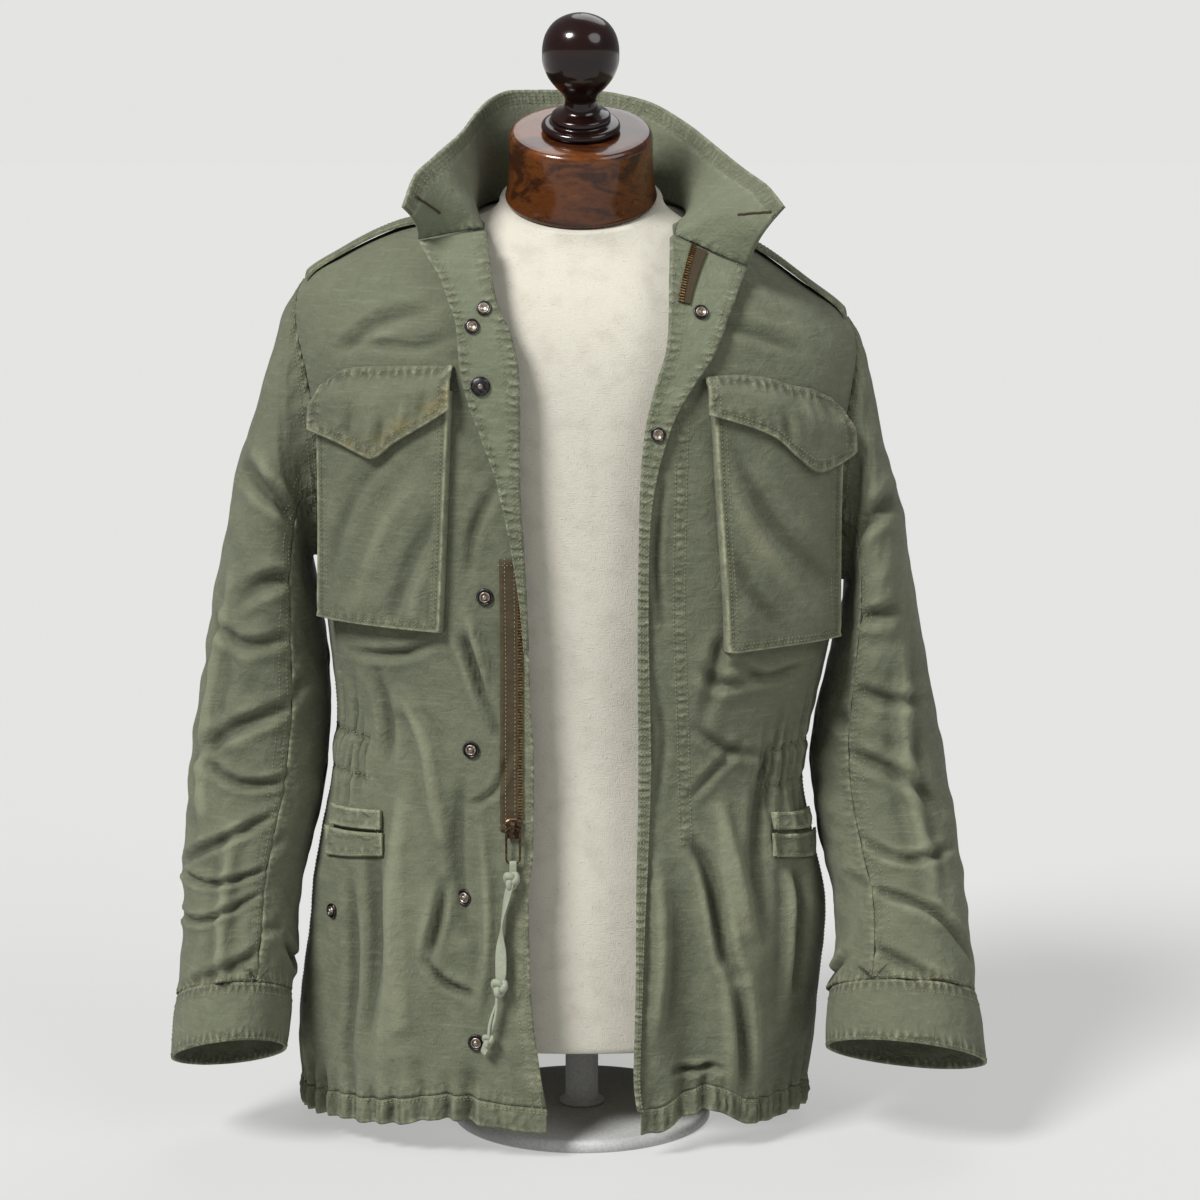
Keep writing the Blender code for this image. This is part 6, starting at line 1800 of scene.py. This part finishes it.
def make_flap(side):
    """The pointed flap over a chest pocket."""
    name = SIDES[side]
    shape = curves(FLAP_COLUMNS, FLAP_RIGHT if side < 0 else FLAP_LEFT)
    start, stop = FLAP_ENDS[side]
    outs = spline(
        (0.0, 0.15, 0.42, 0.72, 1.0),
        (0.0034, 0.0075, POCKET_DEPTH + 0.005, POCKET_DEPTH + 0.0062, POCKET_DEPTH + 0.0066),
    )
    share, u = np.meshgrid(np.linspace(0, 1, 40), np.linspace(0, 1, 66), indexing="ij")
    x = start + (stop - start) * u
    tall = shape["top"](u) - shape["bottom"](u)
    z = shape["top"](u) - tall * share
    off = np.minimum(np.minimum(u, 1 - u) * (stop - start), (1 - share) * tall)
    bead = 0.0006 * hump(off - 0.0018, 0.0014) - 0.0004 * hump(off - 0.0052, 0.0016)
    dents = []
    for u0, z0, depth in FLAP_DENTS:
        high = (start + u0 * (stop - start), z0 + 0.03)
        low = (start + (u0 + side * 0.03) * (stop - start), z0)
        dents.append(((high, low), 5.0, depth))
    slump = crease_relief(x, z, dents) * step(off, 0.004, 0.014)
    puff = 0.001 * ripple(x, z, 0.045, 111 + side) * step(off, 0.004, 0.02) * share + slump
    out = outs(share) + bead + puff
    outer = front_place(side, x, z, out)
    inner = front_place(side, x, z, out - DOUBLE_CLOTH)
    mitre = step(
        np.abs(np.minimum(share, 1 - share) * tall - np.minimum(u, 1 - u) * (stop - start)), 0.0, 0.006,
    )
    marks = {
        # Painted shade in the flap's dents, painted highlight where it rises.
        "painted_fold_light": np.clip(-slump / 0.0025, -1, 1),
        "pucker": np.clip(hump(off - 0.005, 0.004) + hump(share * tall - 0.005, 0.004), 0, 1) * mitre,
        "wear": np.clip(0.9 * hump(off - 0.001, 0.0012) + 0.25 * hump(off - 0.005, 0.003), 0, 1),
        "along": np.where(np.minimum(share, 1 - share) * tall < np.minimum(u, 1 - u) * (stop - start), x, z),
    }
    if side < 0:
        low = shape["bottom"](u)
        streak = hump(z - low - 0.01, 0.009) * step(x, -0.19, -0.17)
        spot = np.exp(-(((x + 0.178) ** 2 + (z - 0.59) ** 2) / 0.006**2))
        marks["stain"] = np.clip(0.8 * streak + spot, 0, 1)
    panel(f"flap_{name}", outer, inner, marks)
    normals = grid_normals(outer, np.array((0, 0.3, 0.5)))
    for r, c in ((3, 2), (6, 5)):
        line = [(i, c) for i in range(2, 39 - r)] + [(39 - r, i) for i in range(c, 66 - c)]
        line += [(i, 65 - c) for i in range(39 - r, 1, -1)]
        sew_cells(outer, normals, line)
    sew_grid(outer, normals, rows=(2,))


def make_patch(
    name, side, corners, low, high, thick, look="olive cotton", worn=0.6, count=(40, 14),
):
    """A strip laid on a front between four corners."""
    v, u = np.meshgrid(np.linspace(0, 1, count[1]), np.linspace(0, 1, count[0]), indexing="ij")
    x, z = corner_place(corners, u, v)
    width = abs(corners[1][0] - corners[0][0])
    tall = abs(corners[3][1] - corners[0][1])
    off = np.minimum(np.minimum(u, 1 - u) * width, np.minimum(v, 1 - v) * tall)
    out = low + (high - low) * v + 0.0004 * hump(off - 0.0018, 0.0014)
    outer = front_place(side, x, z, out + thick)
    inner = front_place(side, x, z, low + (high - low) * v)
    mitre = step(np.abs(np.minimum(u, 1 - u) * width - np.minimum(v, 1 - v) * tall), 0.0, 0.005)
    marks = {
        "pucker": np.clip(hump(off - 0.0045, 0.003), 0, 1) * worn * mitre,
        "wear": np.clip(worn * hump(off - 0.001, 0.0018), 0, 1),
        "along": np.where(v * tall < np.minimum(u, 1 - u) * width, u * width, v * tall),
    }
    panel(name, outer, inner, marks, look)
    normals = grid_normals(outer, np.array((0, 0.3, 0.5)))
    sew_grid(outer, normals, rows=(2, -3), columns=(3, -4))


def make_strap(side):
    """A shoulder strap, from the sleeve's head to the collar."""
    name = SIDES[side]
    start, stop = STRAP_ENDS[side]
    half = spline([row[0] for row in STRAP_WIDTHS], [row[1] for row in STRAP_WIDTHS])
    share, across = np.meshgrid(np.linspace(0, 1, 64), np.linspace(-1, 1, 22), indexing="ij")
    x = start + (stop - start) * share
    y = half(share) * across - 0.002
    lift = 0.001 + 0.0026 * np.sin(math.pi * share)
    outer = shoulder_place(side, x, y, lift + DOUBLE_CLOTH)
    inner = shoulder_place(side, x, y, lift)
    off = np.minimum((1 - np.abs(across)) * half(share), (1 - share) * 0.115)
    marks = {
        "pucker": hump(off - 0.0045, 0.003),
        "wear": 0.9 * hump(off - 0.001, 0.0018),
        "along": share * 0.115,
    }
    panel(f"strap_{name}", outer, inner, marks)
    normals = grid_normals(outer, np.array((0, 0, 0.3)))
    sew_grid(outer[2:-4], normals[2:-4], columns=(1, 4, -5, -2))


# ---------------------------------------------------------------- zip, tape and snaps
HINGE = np.array((-0.05783, -0.13116, 0.28103))
PULL_LENGTH = 0.03
LOOP_LEG = 0.012
LOOP_RADIUS = 0.0021
RIBBON_HALF = 0.0052
RIBBON_THIN = 0.0008
# The cotton tape on the pull, from the loop down to its loose end.
TAPE_LINE = (
    (-0.0578, -0.1312, 0.2497),
    (-0.0578, -0.1312, 0.2447),
    (-0.0605, -0.1368, 0.2338),
    (-0.0642, -0.1354, 0.2186),
    (-0.0672, -0.1356, 0.2004),
    (-0.0679, -0.1363, 0.1823),
    (-0.068, -0.137, 0.1643),
    (-0.0695, -0.1376, 0.147),
    (-0.0724, -0.138, 0.1318),
    (-0.0759, -0.1383, 0.1175),
    (-0.0782, -0.1383, 0.1069),
    (-0.083, -0.1369, 0.0939),
)
KNOTS = {
    "pull_knot_upper": (0.2385, 0.0074), "pull_knot_lower": (0.15, 0.0076), "pull_knot_end": (0.1055, 0.0054),
}


def tape_curve(count):
    """An even run of points down the cotton tape."""
    line = np.array(TAPE_LINE)
    gaps = np.concatenate([[0], np.cumsum(np.linalg.norm(np.diff(line, axis=0), axis=1))])
    steps = np.linspace(0, gaps[-1], count)
    return np.stack([spline(gaps, line[:, k])(steps) for k in range(3)], -1), gaps[-1]


def make_tape(scene):
    """The flat cotton tape on the pull: loop, ribbon, strands, tail and knots."""
    line, length = tape_curve(170)
    height = line[:, 2]
    knot = KNOTS["pull_knot_lower"][0]
    flat = line[height > knot - 0.001]
    steps = np.linspace(0, 1, len(flat))
    twist = 0.3 + 0.9 * step(steps, 0.05, 0.4) - 1.0 * step(steps, 0.5, 0.85) + 0.15 * np.sin(steps * 16)
    pinch = 0.55 + 0.45 * swell(steps, 0.1, 1.9) ** 0.25
    pinch = np.where(steps < 0.06, 0.6, pinch * (0.62 + 0.38 * step(np.abs(steps - 1.0), 0.0, 0.12)))
    parts = [tube(flat, RIBBON_HALF * pinch, 12, flatness=RIBBON_THIN, twist=twist)]
    loop = []
    rod = HINGE - np.array((0, 0, PULL_LENGTH))
    for z in np.linspace(-LOOP_LEG, 0.0, 7)[:-1]:
        loop.append(rod + np.array((0, -LOOP_RADIUS, z)))
    for angle in np.linspace(0, math.pi, 11):
        loop.append(rod + LOOP_RADIUS * np.array((0, -math.cos(angle), math.sin(angle))))
    for z in np.linspace(0.0, -LOOP_LEG, 7)[1:]:
        loop.append(rod + np.array((0, LOOP_RADIUS, z)))
    loop = np.array(loop)
    parts.append(tube(loop, 0.003, 10, flatness=0.00055))
    low = line[(height <= knot + 0.001) & (height > KNOTS["pull_knot_end"][0] - 0.002)]
    sway = np.linspace(0, 1, len(low))
    for swing in (-1, 1):
        offset = np.stack(
            [swing * 0.0016 * np.cos(sway * 5), swing * 0.0012 * np.sin(sway * 5), 0 * sway], -1,
        )
        parts.append(tube(low + offset, 0.0013, 8))
    tail = line[height <= KNOTS["pull_knot_end"][0] + 0.001]
    parts.append(
        tube(
            tail, np.linspace(0.003, 0.0036, len(tail)), 12, flatness=0.0007,
            twist=np.linspace(0.2, 0.9, len(tail)),
        )
    )
    points, faces = join_parts(parts)
    tape = finish_piece("cotton_tape", points, faces, FINISHES["cotton tape"], body="pull")
    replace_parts(tape, "pull_tape")
    for name, (level, size) in KNOTS.items():
        i = int(np.argmin(np.abs(height - level)))
        t = np.linspace(0, 2 * math.pi, 61)
        trefoil = np.stack(
            [np.sin(t) + 2 * np.sin(2 * t), np.cos(t) - 2 * np.cos(2 * t), -1.6 * np.sin(3 * t)], -1,
        ) / 3
        place = line[i] + trefoil[:, (0, 2, 1)] * size * np.array((0.62, 0.5, 0.8))
        points, faces = tube(place, size * 0.46, 12, flatness=size * 0.38, twist=t * 1.5)
        piece = finish_piece(
            name + "_tied", points, faces, FINISHES["cotton tape"], body="pull",
        )
        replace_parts(piece, name)
    route, _ = tape_curve(26)


def zip_left_places(share, across, out):
    """Points on the collar-side half of the zip, on the turned-out left facing."""
    rise = spline((0, 0.25, 0.5, 0.75, 1.0), (0.7094, 0.7228, 0.7368, 0.7494, 0.76))(share)
    column = 3 * (0.12 + 0.16 * share + 0.2 * across)
    part = np.interp(column, (0, 1, 2, 3), (0, 0.3, 0.65, 1.0))
    reach, level = facing_level(1, rise, part)
    return facing_on(1, rise, reach, level + CLOTH + out)


def make_zip(scene):
    """Both zip tapes and the teeth, and the bronze look of the slider and pull."""
    corners = (
        (ZIP_TAPE_X[0], ZIP_HEIGHTS[0]), (ZIP_TAPE_X[1], ZIP_HEIGHTS[0]),
        (ZIP_TAPE_X[1], ZIP_HEIGHTS[1]), (ZIP_TAPE_X[0], ZIP_HEIGHTS[1]),
    )
    make_patch(
        "zip_tape_right", -1, corners, 0.0006, 0.0006, 0.001, "zip tape cloth", 0.3, (12, 96),
    )
    share, across = np.meshgrid(np.linspace(0, 1, 34), np.linspace(0, 1, 12), indexing="ij")
    outer = zip_left_places(share, across, 0.0017)
    inner = zip_left_places(share, across, 0.0007)
    marks = {"pucker": 0.3 * hump(across, 0.2), "along": share * 0.055}
    panel("zip_tape_left", outer, inner, marks, "zip tape cloth")
    heights = np.linspace(ZIP_HEIGHTS[0] + 0.012, ZIP_HEIGHTS[1] - 0.001, 120)
    right = front_place(-1, np.full(120, ZIP_TAPE_X[1] - 0.0002), heights, 0.0018)
    share = np.linspace(0.01, 0.99, 60)
    left = zip_left_places(share, 0.02 + 0 * share, 0.0019)
    lines = [(right, (0.05, -1.0, 0.05)), (left, (0.1, -0.9, 0.3))]
    tooth = [
        ("metal", (0.0019, 0.0008, 0.00062), (0, 0, 0)), ("metal", (0.0006, 0.001, 0.00045), (0.0016, 0, 0)),
    ]
    along_lines("zip_teeth", lines, tooth, scene.jacket_looks.tooth_pitch, 0.03, FINISHES["brass"])
    for name in ("zip_slider", "zip_pull"):
        for place in bpy.data.objects[name].material_slots:
            place.material = FINISHES["bronze"]


# Profiles of each kind's rim and middle: radius as a share of the snap's, and height above the cloth.
SNAP_SHAPES = {
    "cap": (
        (
            (1.0, 0.0), (1.0, 0.0006), (0.96, 0.0012), (0.86, 0.0018), (0.6, 0.0025), (0.3, 0.0029),
            (0.02, 0.003),
        ),
        ((0.3, 0.0026), (0.22, 0.003), (0.1, 0.0031), (0.02, 0.0031)),
    ),
    "stud": (
        (
            (1.0, 0.0), (1.0, 0.0008), (0.95, 0.0014), (0.85, 0.0016), (0.74, 0.0013), (0.7, 0.0006),
            (0.02, 0.0005),
        ),
        (
            (0.64, 0.0003), (0.63, 0.0017), (0.56, 0.0022), (0.46, 0.0021), (0.4, 0.0012),
            (0.31, 0.001), (0.29, 0.0026), (0.24, 0.0033), (0.12, 0.0035), (0.02, 0.0035),
        ),
    ),
    "socket": (
        (
            (1.0, 0.0), (1.0, 0.0008), (0.95, 0.0013), (0.84, 0.0014), (0.76, 0.001), (0.72, 0.0005),
            (0.02, 0.0004),
        ),
        ((0.72, 0.0003), (0.7, 0.0015), (0.62, 0.0018), (0.52, 0.0014), (0.46, 0.0008), (0.02, 0.0006)),
    ),
}


def snap_seat(x, z, layer):
    """Where a snap sits: its foot, and the direction out of the cloth there."""
    side = -1 if x < 0 else 1
    if layer == "front":
        foot = front_place(side, x, z, 0.0009)
        beside = front_place(side, x + 0.005, z, 0.0) - front_place(side, x - 0.005, z, 0.0)
        above = front_place(side, x, z + 0.005, 0.0) - front_place(side, x, z - 0.005, 0.0)
        return foot, unit(np.cross(beside, above))
    rise, share = np.meshgrid(
        np.linspace(z - 0.05, min(z + 0.06, 0.763), 160), np.linspace(0.0, 1.0, 80), indexing="ij",
    )
    reach, level = facing_level(side, rise, share)
    places = facing_on(side, rise, reach, level + CLOTH)
    r, c = np.unravel_index(np.argmin(np.abs(places[..., 0] - x) + np.abs(places[..., 2] - z)), rise.shape)
    r = min(max(r, 6), 153)
    c = min(max(c, 4), 75)
    normal = unit(np.cross(places[r, c + 4] - places[r, c - 4], places[r + 6, c] - places[r - 6, c]))
    normal = normal if normal[1] < 0 else -normal
    return places[r, c] + normal * 0.0008, normal


def make_snaps(scene):
    """All the snaps, as rims and as middles."""
    rims = []
    hearts = []
    for name, (x, z, radius, layer) in SNAPS.items():
        foot, axis = snap_seat(x, z, layer)
        kind = name.split("_")[1]
        rim, heart = SNAP_SHAPES["stud" if kind == "hip" else "socket" if kind == "ring" else kind]
        rims.append(turned([(r * radius, h) for r, h in rim], foot, axis, 40))
        hearts.append(turned([(r * radius, h) for r, h in heart], foot, axis, 40))
    points, faces = join_parts(rims)
    piece = finish_piece("snap_rims", points, faces, FINISHES["gunmetal"])
    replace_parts(piece, *SNAPS)
    points, faces = join_parts(hearts)
    finish_piece("snap_hearts", points, faces, FINISHES["pale metal"])


# ---------------------------------------------------------------- the dress form
TORSO_ROWS = (
    0.081, 0.1, 0.15, 0.2, 0.26, 0.32, 0.38, 0.45, 0.52, 0.58, 0.63, 0.67, 0.69, 0.705, 0.716, 0.727, 0.738,
    0.748, 0.758, 0.768,
)


def torso_rings(turns, rises):
    """Rings of the form's torso, inside the cloth's."""
    turn, rise = np.meshgrid(turns, rises, indexing="xy")
    point = ring_point(turn, rise, ease["side"](rise), ease["front"](rise), ease["back"](rise))
    centre = (TORSO_CENTRE - section["centre"](rise)) * (1 - step(rise, 0.56, 0.7))
    sink = ease["sink"](rise) * np.maximum(np.cos(np.radians(turn)), 0.0) ** 2
    moved = np.stack([centre, 0 * rise, -sink], -1)
    return point + moved - ring_normal(turn, rise) * (CLOTH + SEAT_GAP)


def make_form(scene):
    """The dress form: torso, neck block, finial, base and post."""
    lean = math.radians(NECK_LEAN)
    axis = np.array((0.0, -math.sin(lean), math.cos(lean)))
    ahead = np.array((0.0, -math.cos(lean), -math.sin(lean)))
    turns = np.linspace(0, 360, 160, endpoint=False)
    rings = list(torso_rings(turns, np.array(TORSO_ROWS)))
    angle = np.radians(turns)[:, None]
    for radius, below in ((NECK_RADIUS - 0.0003, 0.0165), (NECK_RADIUS, 0.0)):
        rings.append(
            NECK_TOP - axis * below + radius * (np.sin(angle) * np.array((1.0, 0, 0)) + ahead * np.cos(angle))
        )
    grid, _ = through(np.array(rings), 150)
    ease_in = step(np.cos(np.radians(turns)), -0.1, 0.5)[:, None] * 0.5
    for _ in range(160):
        middle_rows = (grid[97:-2] + grid[99:]) / 2
        grid[98:-1] += (middle_rows - grid[98:-1]) * ease_in
    low = grid[0]
    middle = low.mean(axis=0)
    foot = []
    for share, rise in ((0.0005, 0.0), (0.5, 0.0), (0.985, 0.0), (0.996, 0.0012)):
        foot.append(middle + (low - middle) * share + np.array((0, 0, rise)))
    high = grid[-1]
    centre = high.mean(axis=0)
    head = [centre + (high - centre) * share for share in (0.99, 0.5, 0.0005)]
    grid = np.concatenate([np.array(foot), grid[1:], np.array(head)])
    count = len(turns)
    faces = grid_faces(len(grid), count, wrap=True)
    normal = np.cross(grid[60, 1] - grid[60, 0], grid[61, 0] - grid[60, 0])
    if np.dot(normal, grid[60, 0] - grid[60].mean(axis=0)) < 0:
        faces = faces[:, ::-1]
        ends = [list(range(count)), list(range(len(grid) * count - 1, (len(grid) - 1) * count - 1, -1))]
    else:
        ends = [list(range(count - 1, -1, -1)), list(range((len(grid) - 1) * count, len(grid) * count))]
    torso = finish_piece(
        "torso_linen", grid.reshape(-1, 3), faces.tolist() + ends, FINISHES["linen"],
    )
    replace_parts(torso, "form_torso")
    block = [
        (0.059, 0.0), (0.0605, 0.0004), (0.0622, 0.0018), (0.0628, 0.004), (0.062, 0.0068), (0.06, 0.02),
        (0.0592, 0.04), (0.059, 0.054), (0.0584, 0.0572), (0.057, 0.0595), (0.055, 0.0608), (0.03, 0.0612),
        (0.002, 0.0614),
    ]
    finial = [
        (0.03, 0.0), (0.0318, 0.0008), (0.0325, 0.0026), (0.032, 0.0046), (0.03, 0.0062), (0.025, 0.007),
        (0.0236, 0.0082), (0.0246, 0.01), (0.024, 0.0128), (0.02, 0.015), (0.015, 0.018), (0.0132, 0.0225),
        (0.013, 0.0262), (0.0148, 0.031), (0.0175, 0.0345), (0.0215, 0.039), (0.0285, 0.05), (0.0312, 0.06),
        (0.0313, 0.068), (0.03, 0.077), (0.0235, 0.089), (0.013, 0.0957), (0.006, 0.0978), (0.0008, 0.0983),
    ]
    base = [
        (BASE_RADIUS - 0.0008, 0.0), (BASE_RADIUS, 0.0008), (BASE_RADIUS, 0.006),
        (BASE_RADIUS - 0.001, 0.0085), (BASE_RADIUS - 0.003, 0.0098), (BASE_RADIUS - 0.006, BASE_HEIGHT),
        (0.02, BASE_HEIGHT), (0.002, BASE_HEIGHT),
    ]
    top = TORSO_BOTTOM - 0.0003
    post = [
        (POST_RADIUS + 0.005, BASE_HEIGHT + 0.0003), (POST_RADIUS + 0.005, 0.013),
        (POST_RADIUS + 0.0015, 0.015), (POST_RADIUS, 0.018), (POST_RADIUS, top), (0.001, top),
    ]
    foot = (TORSO_CENTRE, 0, 0)
    upright = (0, 0, 1)
    for name, replaced, profile, place, direction, count, look, slot in (
        (
            "neck_block_turned", "form_neck_block", rounded(block, 4), NECK_TOP + axis * 0.0003, axis, 128,
            "walnut", "walnut",
        ),
        (
            "finial_turned", "form_finial", rounded(finial, 4), NECK_TOP + axis * (BLOCK_HEIGHT + 0.0003),
            axis, 112, "mahogany", "mahogany",
        ),
        ("base_turned", "form_base", base, foot, upright, 144, "painted steel", "painted_steel"),
        ("post_turned", "form_post", post, foot, upright, 72, "painted steel", "painted_steel"),
    ):
        points, faces = turned(profile, place, direction, count)
        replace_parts(finish_piece(name, points, faces, FINISHES[look]), replaced)


# ---------------------------------------------------------------- camera, floor and light
CAMERA_TARGET = Vector((0.01745, 0.00763, 0.447))
FLOOR_REACH = 30.0
LAMP_DISTANCE = 4


def make_stage(looks):
    """Camera, floor, room and lamps."""
    scene = bpy.context.scene
    tilt = math.radians(looks.camera_height)
    lens = bpy.data.cameras.new("camera")
    lens.lens = 100
    lens.sensor_width = 36
    camera = new_object("camera", lens)
    camera.location = CAMERA_TARGET + looks.camera_distance * Vector((0, -math.cos(tilt), math.sin(tilt)))
    camera.rotation_euler = (math.pi / 2 - tilt, 0, 0)
    scene.camera = camera
    mesh = bpy.data.meshes.new("floor")
    far = FLOOR_REACH
    mesh.from_pydata([(-far, -far, 0), (far, -far, 0), (far, far, 0), (-far, far, 0)], [], [(0, 1, 2, 3)])
    floor = new_object("floor", mesh)
    paper = bpy.data.materials.new("pale floor")
    paper.use_nodes = True
    shader = next(node for node in paper.node_tree.nodes if node.type == "BSDF_PRINCIPLED")
    shader.inputs["Base Color"].default_value = (*looks.floor_colour, 1)
    shader.inputs["Roughness"].default_value = 1.0
    shader.inputs["Specular IOR Level"].default_value = 0.0
    shader.inputs["Emission Color"].default_value = (*looks.room_colour, 1)
    shader.inputs["Emission Strength"].default_value = looks.floor_glow
    mesh.materials.append(paper)
    world = bpy.data.worlds.new("studio")
    world.use_nodes = True
    room = world.node_tree
    seen = add_node(room, "ShaderNodeBackground", {"Color": (*looks.room_colour, 1), "Strength": 1.0})
    lit = room.nodes["Background"]
    lit.inputs["Color"].default_value = (1, 1, 1, 1)
    lit.inputs["Strength"].default_value = looks.room_light
    looking = room.nodes.new("ShaderNodeLightPath").outputs["Is Camera Ray"]
    both = room.nodes.new("ShaderNodeMixShader")
    room.links.new(looking, both.inputs[0])
    room.links.new(lit.outputs[0], both.inputs[1])
    room.links.new(seen.outputs[0], both.inputs[2])
    room.links.new(both.outputs[0], room.nodes["World Output"].inputs["Surface"])
    scene.world = world
    for name, turn, height, power, soft in (
        ("key", -44.0, 46.0, looks.key_light, 18.0),
        ("fill", 50.0, 36.0, looks.fill_light, 34.0),
        ("back", 165.0, 50.0, looks.back_light, 40.0),
    ):
        sun = bpy.data.lights.new(name, "SUN")
        sun.energy = power
        sun.angle = math.radians(soft)
        lamp = new_object(name, sun)
        across = math.radians(turn)
        up = math.radians(height)
        lamp.location = LAMP_DISTANCE * Vector(
            (math.sin(across) * math.cos(up), -math.cos(across) * math.cos(up), math.sin(up))
        )
        lamp.rotation_euler = (-lamp.location).to_track_quat("-Z", "Y").to_euler()
    scene.view_settings.view_transform = "Standard"


# ---------------------------------------------------------------- the add-on's panel, settings and operators
def colour_setting(name, description, rgb):
    return bpy.props.FloatVectorProperty(
        name=name, description=description, default=linear(rgb)[:3], size=3, min=0, max=1, subtype="COLOR"
    )


def number_setting(name, description, default, low=0.0, **more):
    return bpy.props.FloatProperty(name=name, description=description, default=default, min=low, **more)


def length_setting(name, description, default, low):
    return number_setting(name, description, default, low, subtype="DISTANCE", unit="LENGTH")


class JacketLooks(bpy.types.PropertyGroup):
    cloth_colour: colour_setting("Cloth", "Colour of the outer cotton", (94, 98, 80))
    # Also the colour of the painted shade in folds, crinkle hollows and pucker valleys.
    shade_colour: colour_setting("Cloth, deep", "Darker patches of the outer cotton", (54, 57, 43))
    inside_colour: colour_setting("Inside", "Colour of the turned-out inside", (104, 109, 89))
    # Also the colour of the painted highlight on fold and pucker ridges.
    worn_and_lit_colour: colour_setting("Worn edges", "Colour where the cotton is rubbed pale", (160, 160, 132))
    stitch_pitch: length_setting("Stitch pitch", "Distance between stitches", 0.0034, 0.001)
    tooth_pitch: length_setting("Tooth pitch", "Distance between zip teeth", 0.0024, 0.001)


class JacketStageLooks(bpy.types.PropertyGroup):
    floor_colour: colour_setting("Floor", "Colour of the floor", (132, 132, 131))
    floor_glow: number_setting(
        "Floor glow", "Light of its own that keeps the floor as pale as the room", 0.53,
    )
    room_colour: colour_setting("Room", "Colour of the room behind the floor", (228, 228, 227))
    camera_distance: length_setting("Camera distance", "From the camera to the jacket", 2.801, 0.5)
    camera_height: bpy.props.FloatProperty(
        name="Camera tilt", description="Degrees the camera looks down", default=9.0,
    )
    room_light: number_setting("Room light", "Strength of the light from all round", 0.22)
    key_light: number_setting("Key light", "Strength of the large front light", 4.5)
    fill_light: number_setting("Fill light", "Strength of the side light", 1.0)
    back_light: number_setting("Back light", "Strength of the light behind", 0.7)


def for_sides(*makers):
    """A maker that runs these makers on the right, and then on the left."""

    def make(scene):
        for side in SIDES:
            for maker in makers:
                maker(side)

    return make


def make_studio(scene):
    make_stage(scene.jacket_stage_looks)
    make_finishes(scene.jacket_looks)


def make_hems(scene):
    for side, name in SIDES.items():
        turn = front_turn(side, np.linspace(0, 1, 260), HEM_RISE)
        make_hem("hem_front_" + name, turn, front_relief(side, turn, HEM_RISE), HEM_GATHERS[side])
    turn = back_turn(np.linspace(0, 1, 520), HEM_RISE)
    make_hem("hem_back", turn, back_relief(turn, HEM_RISE), HEM_GATHERS[0])


def make_hip(side):
    make_patch("hip_flap_" + SIDES[side], side, HIP_FLAP[side], 0.003, 0.0012, DOUBLE_CLOTH)
    make_patch("hip_welt_" + SIDES[side], side, HIP_WELT[side], 0.0009, 0.0014, DOUBLE_CLOTH)


def make_sewing(scene):
    thread = [("thread", (0.0004, 0.00028, 0.00135), (0, 0, 0))]
    pitch = scene.jacket_looks.stitch_pitch
    along_lines("sewing", STITCH_LINES, thread, pitch, 0.12, FINISHES["thread"])


def new_operator(name, label, about, make):
    """An operator that makes one group of pieces."""

    def execute(self, context):
        make(context.scene)
        return {"FINISHED"}

    parts = {"__doc__": about, "bl_idname": "jacket." + name, "bl_label": label, "execute": execute}
    return type("Jacket" + name.capitalize(), (bpy.types.Operator,), parts)


OPERATORS = tuple(
    new_operator(*row)
    for row in (
        ("stage", "Stage and finishes", "Make the camera, floor, lights and finishes", make_studio),
        ("tape", "Pull tape and knots", "Make the knotted cotton tape on the zip pull", make_tape),
        ("form", "Dress form", "Make the torso, neck block, finial, post and base", make_form),
        ("fronts", "Fronts", "Make both fronts", for_sides(make_front)),
        ("back", "Back", "Make the back", make_back),
        ("hems", "Hem casings", "Make the gathered hem casings", make_hems),
        ("facings", "Facings", "Make the turned-out facings", for_sides(make_facing)),
        ("collar", "Collar", "Make the collar", make_collar),
        (
            "sleeves", "Sleeves and cuffs", "Make the two-piece sleeves and their cuffs",
            for_sides(make_sleeve, make_cuff),
        ),
        (
            "pockets", "Chest pockets", "Make the chest pockets and their flaps",
            for_sides(make_pocket, make_flap),
        ),
        ("hips", "Hip pockets", "Make the hip pockets' flaps and welts", for_sides(make_hip)),
        ("straps", "Shoulder straps", "Make the shoulder straps", for_sides(make_strap)),
        ("zip", "Zip", "Make both halves of the zip, its teeth, slider and pull", make_zip),
        ("snaps", "Snaps", "Make the snaps", make_snaps),
        ("stitches", "Sewing", "Sew every seam line that the pieces have left", make_sewing),
    )
)


class JacketPanel(bpy.types.Panel):
    bl_idname = "VIEW3D_PT_jacket"
    bl_label = "Jacket"
    bl_space_type = "VIEW_3D"
    bl_region_type = "UI"
    bl_category = "Jacket"

    def draw(self, context):
        for group in (context.scene.jacket_stage_looks, context.scene.jacket_looks):
            for name in type(group).__annotations__:
                self.layout.prop(group, name)
        for operator in OPERATORS:
            self.layout.operator(operator.bl_idname)


def register():
    for kind in (JacketLooks, JacketStageLooks, *OPERATORS, JacketPanel):
        bpy.utils.register_class(kind)
    bpy.types.Scene.jacket_looks = bpy.props.PointerProperty(type=JacketLooks)
    bpy.types.Scene.jacket_stage_looks = bpy.props.PointerProperty(type=JacketStageLooks)


def unregister():
    del bpy.types.Scene.jacket_stage_looks
    del bpy.types.Scene.jacket_looks
    for kind in (JacketPanel, *reversed(OPERATORS), JacketStageLooks, JacketLooks):
        bpy.utils.unregister_class(kind)


def main():
    register()
    for operator in OPERATORS:
        kind, name = operator.bl_idname.split(".")
        if "FINISHED" not in getattr(getattr(bpy.ops, kind), name)():
            raise RuntimeError(operator.bl_label + " could not be made")


if __name__ == "__main__":
    main()
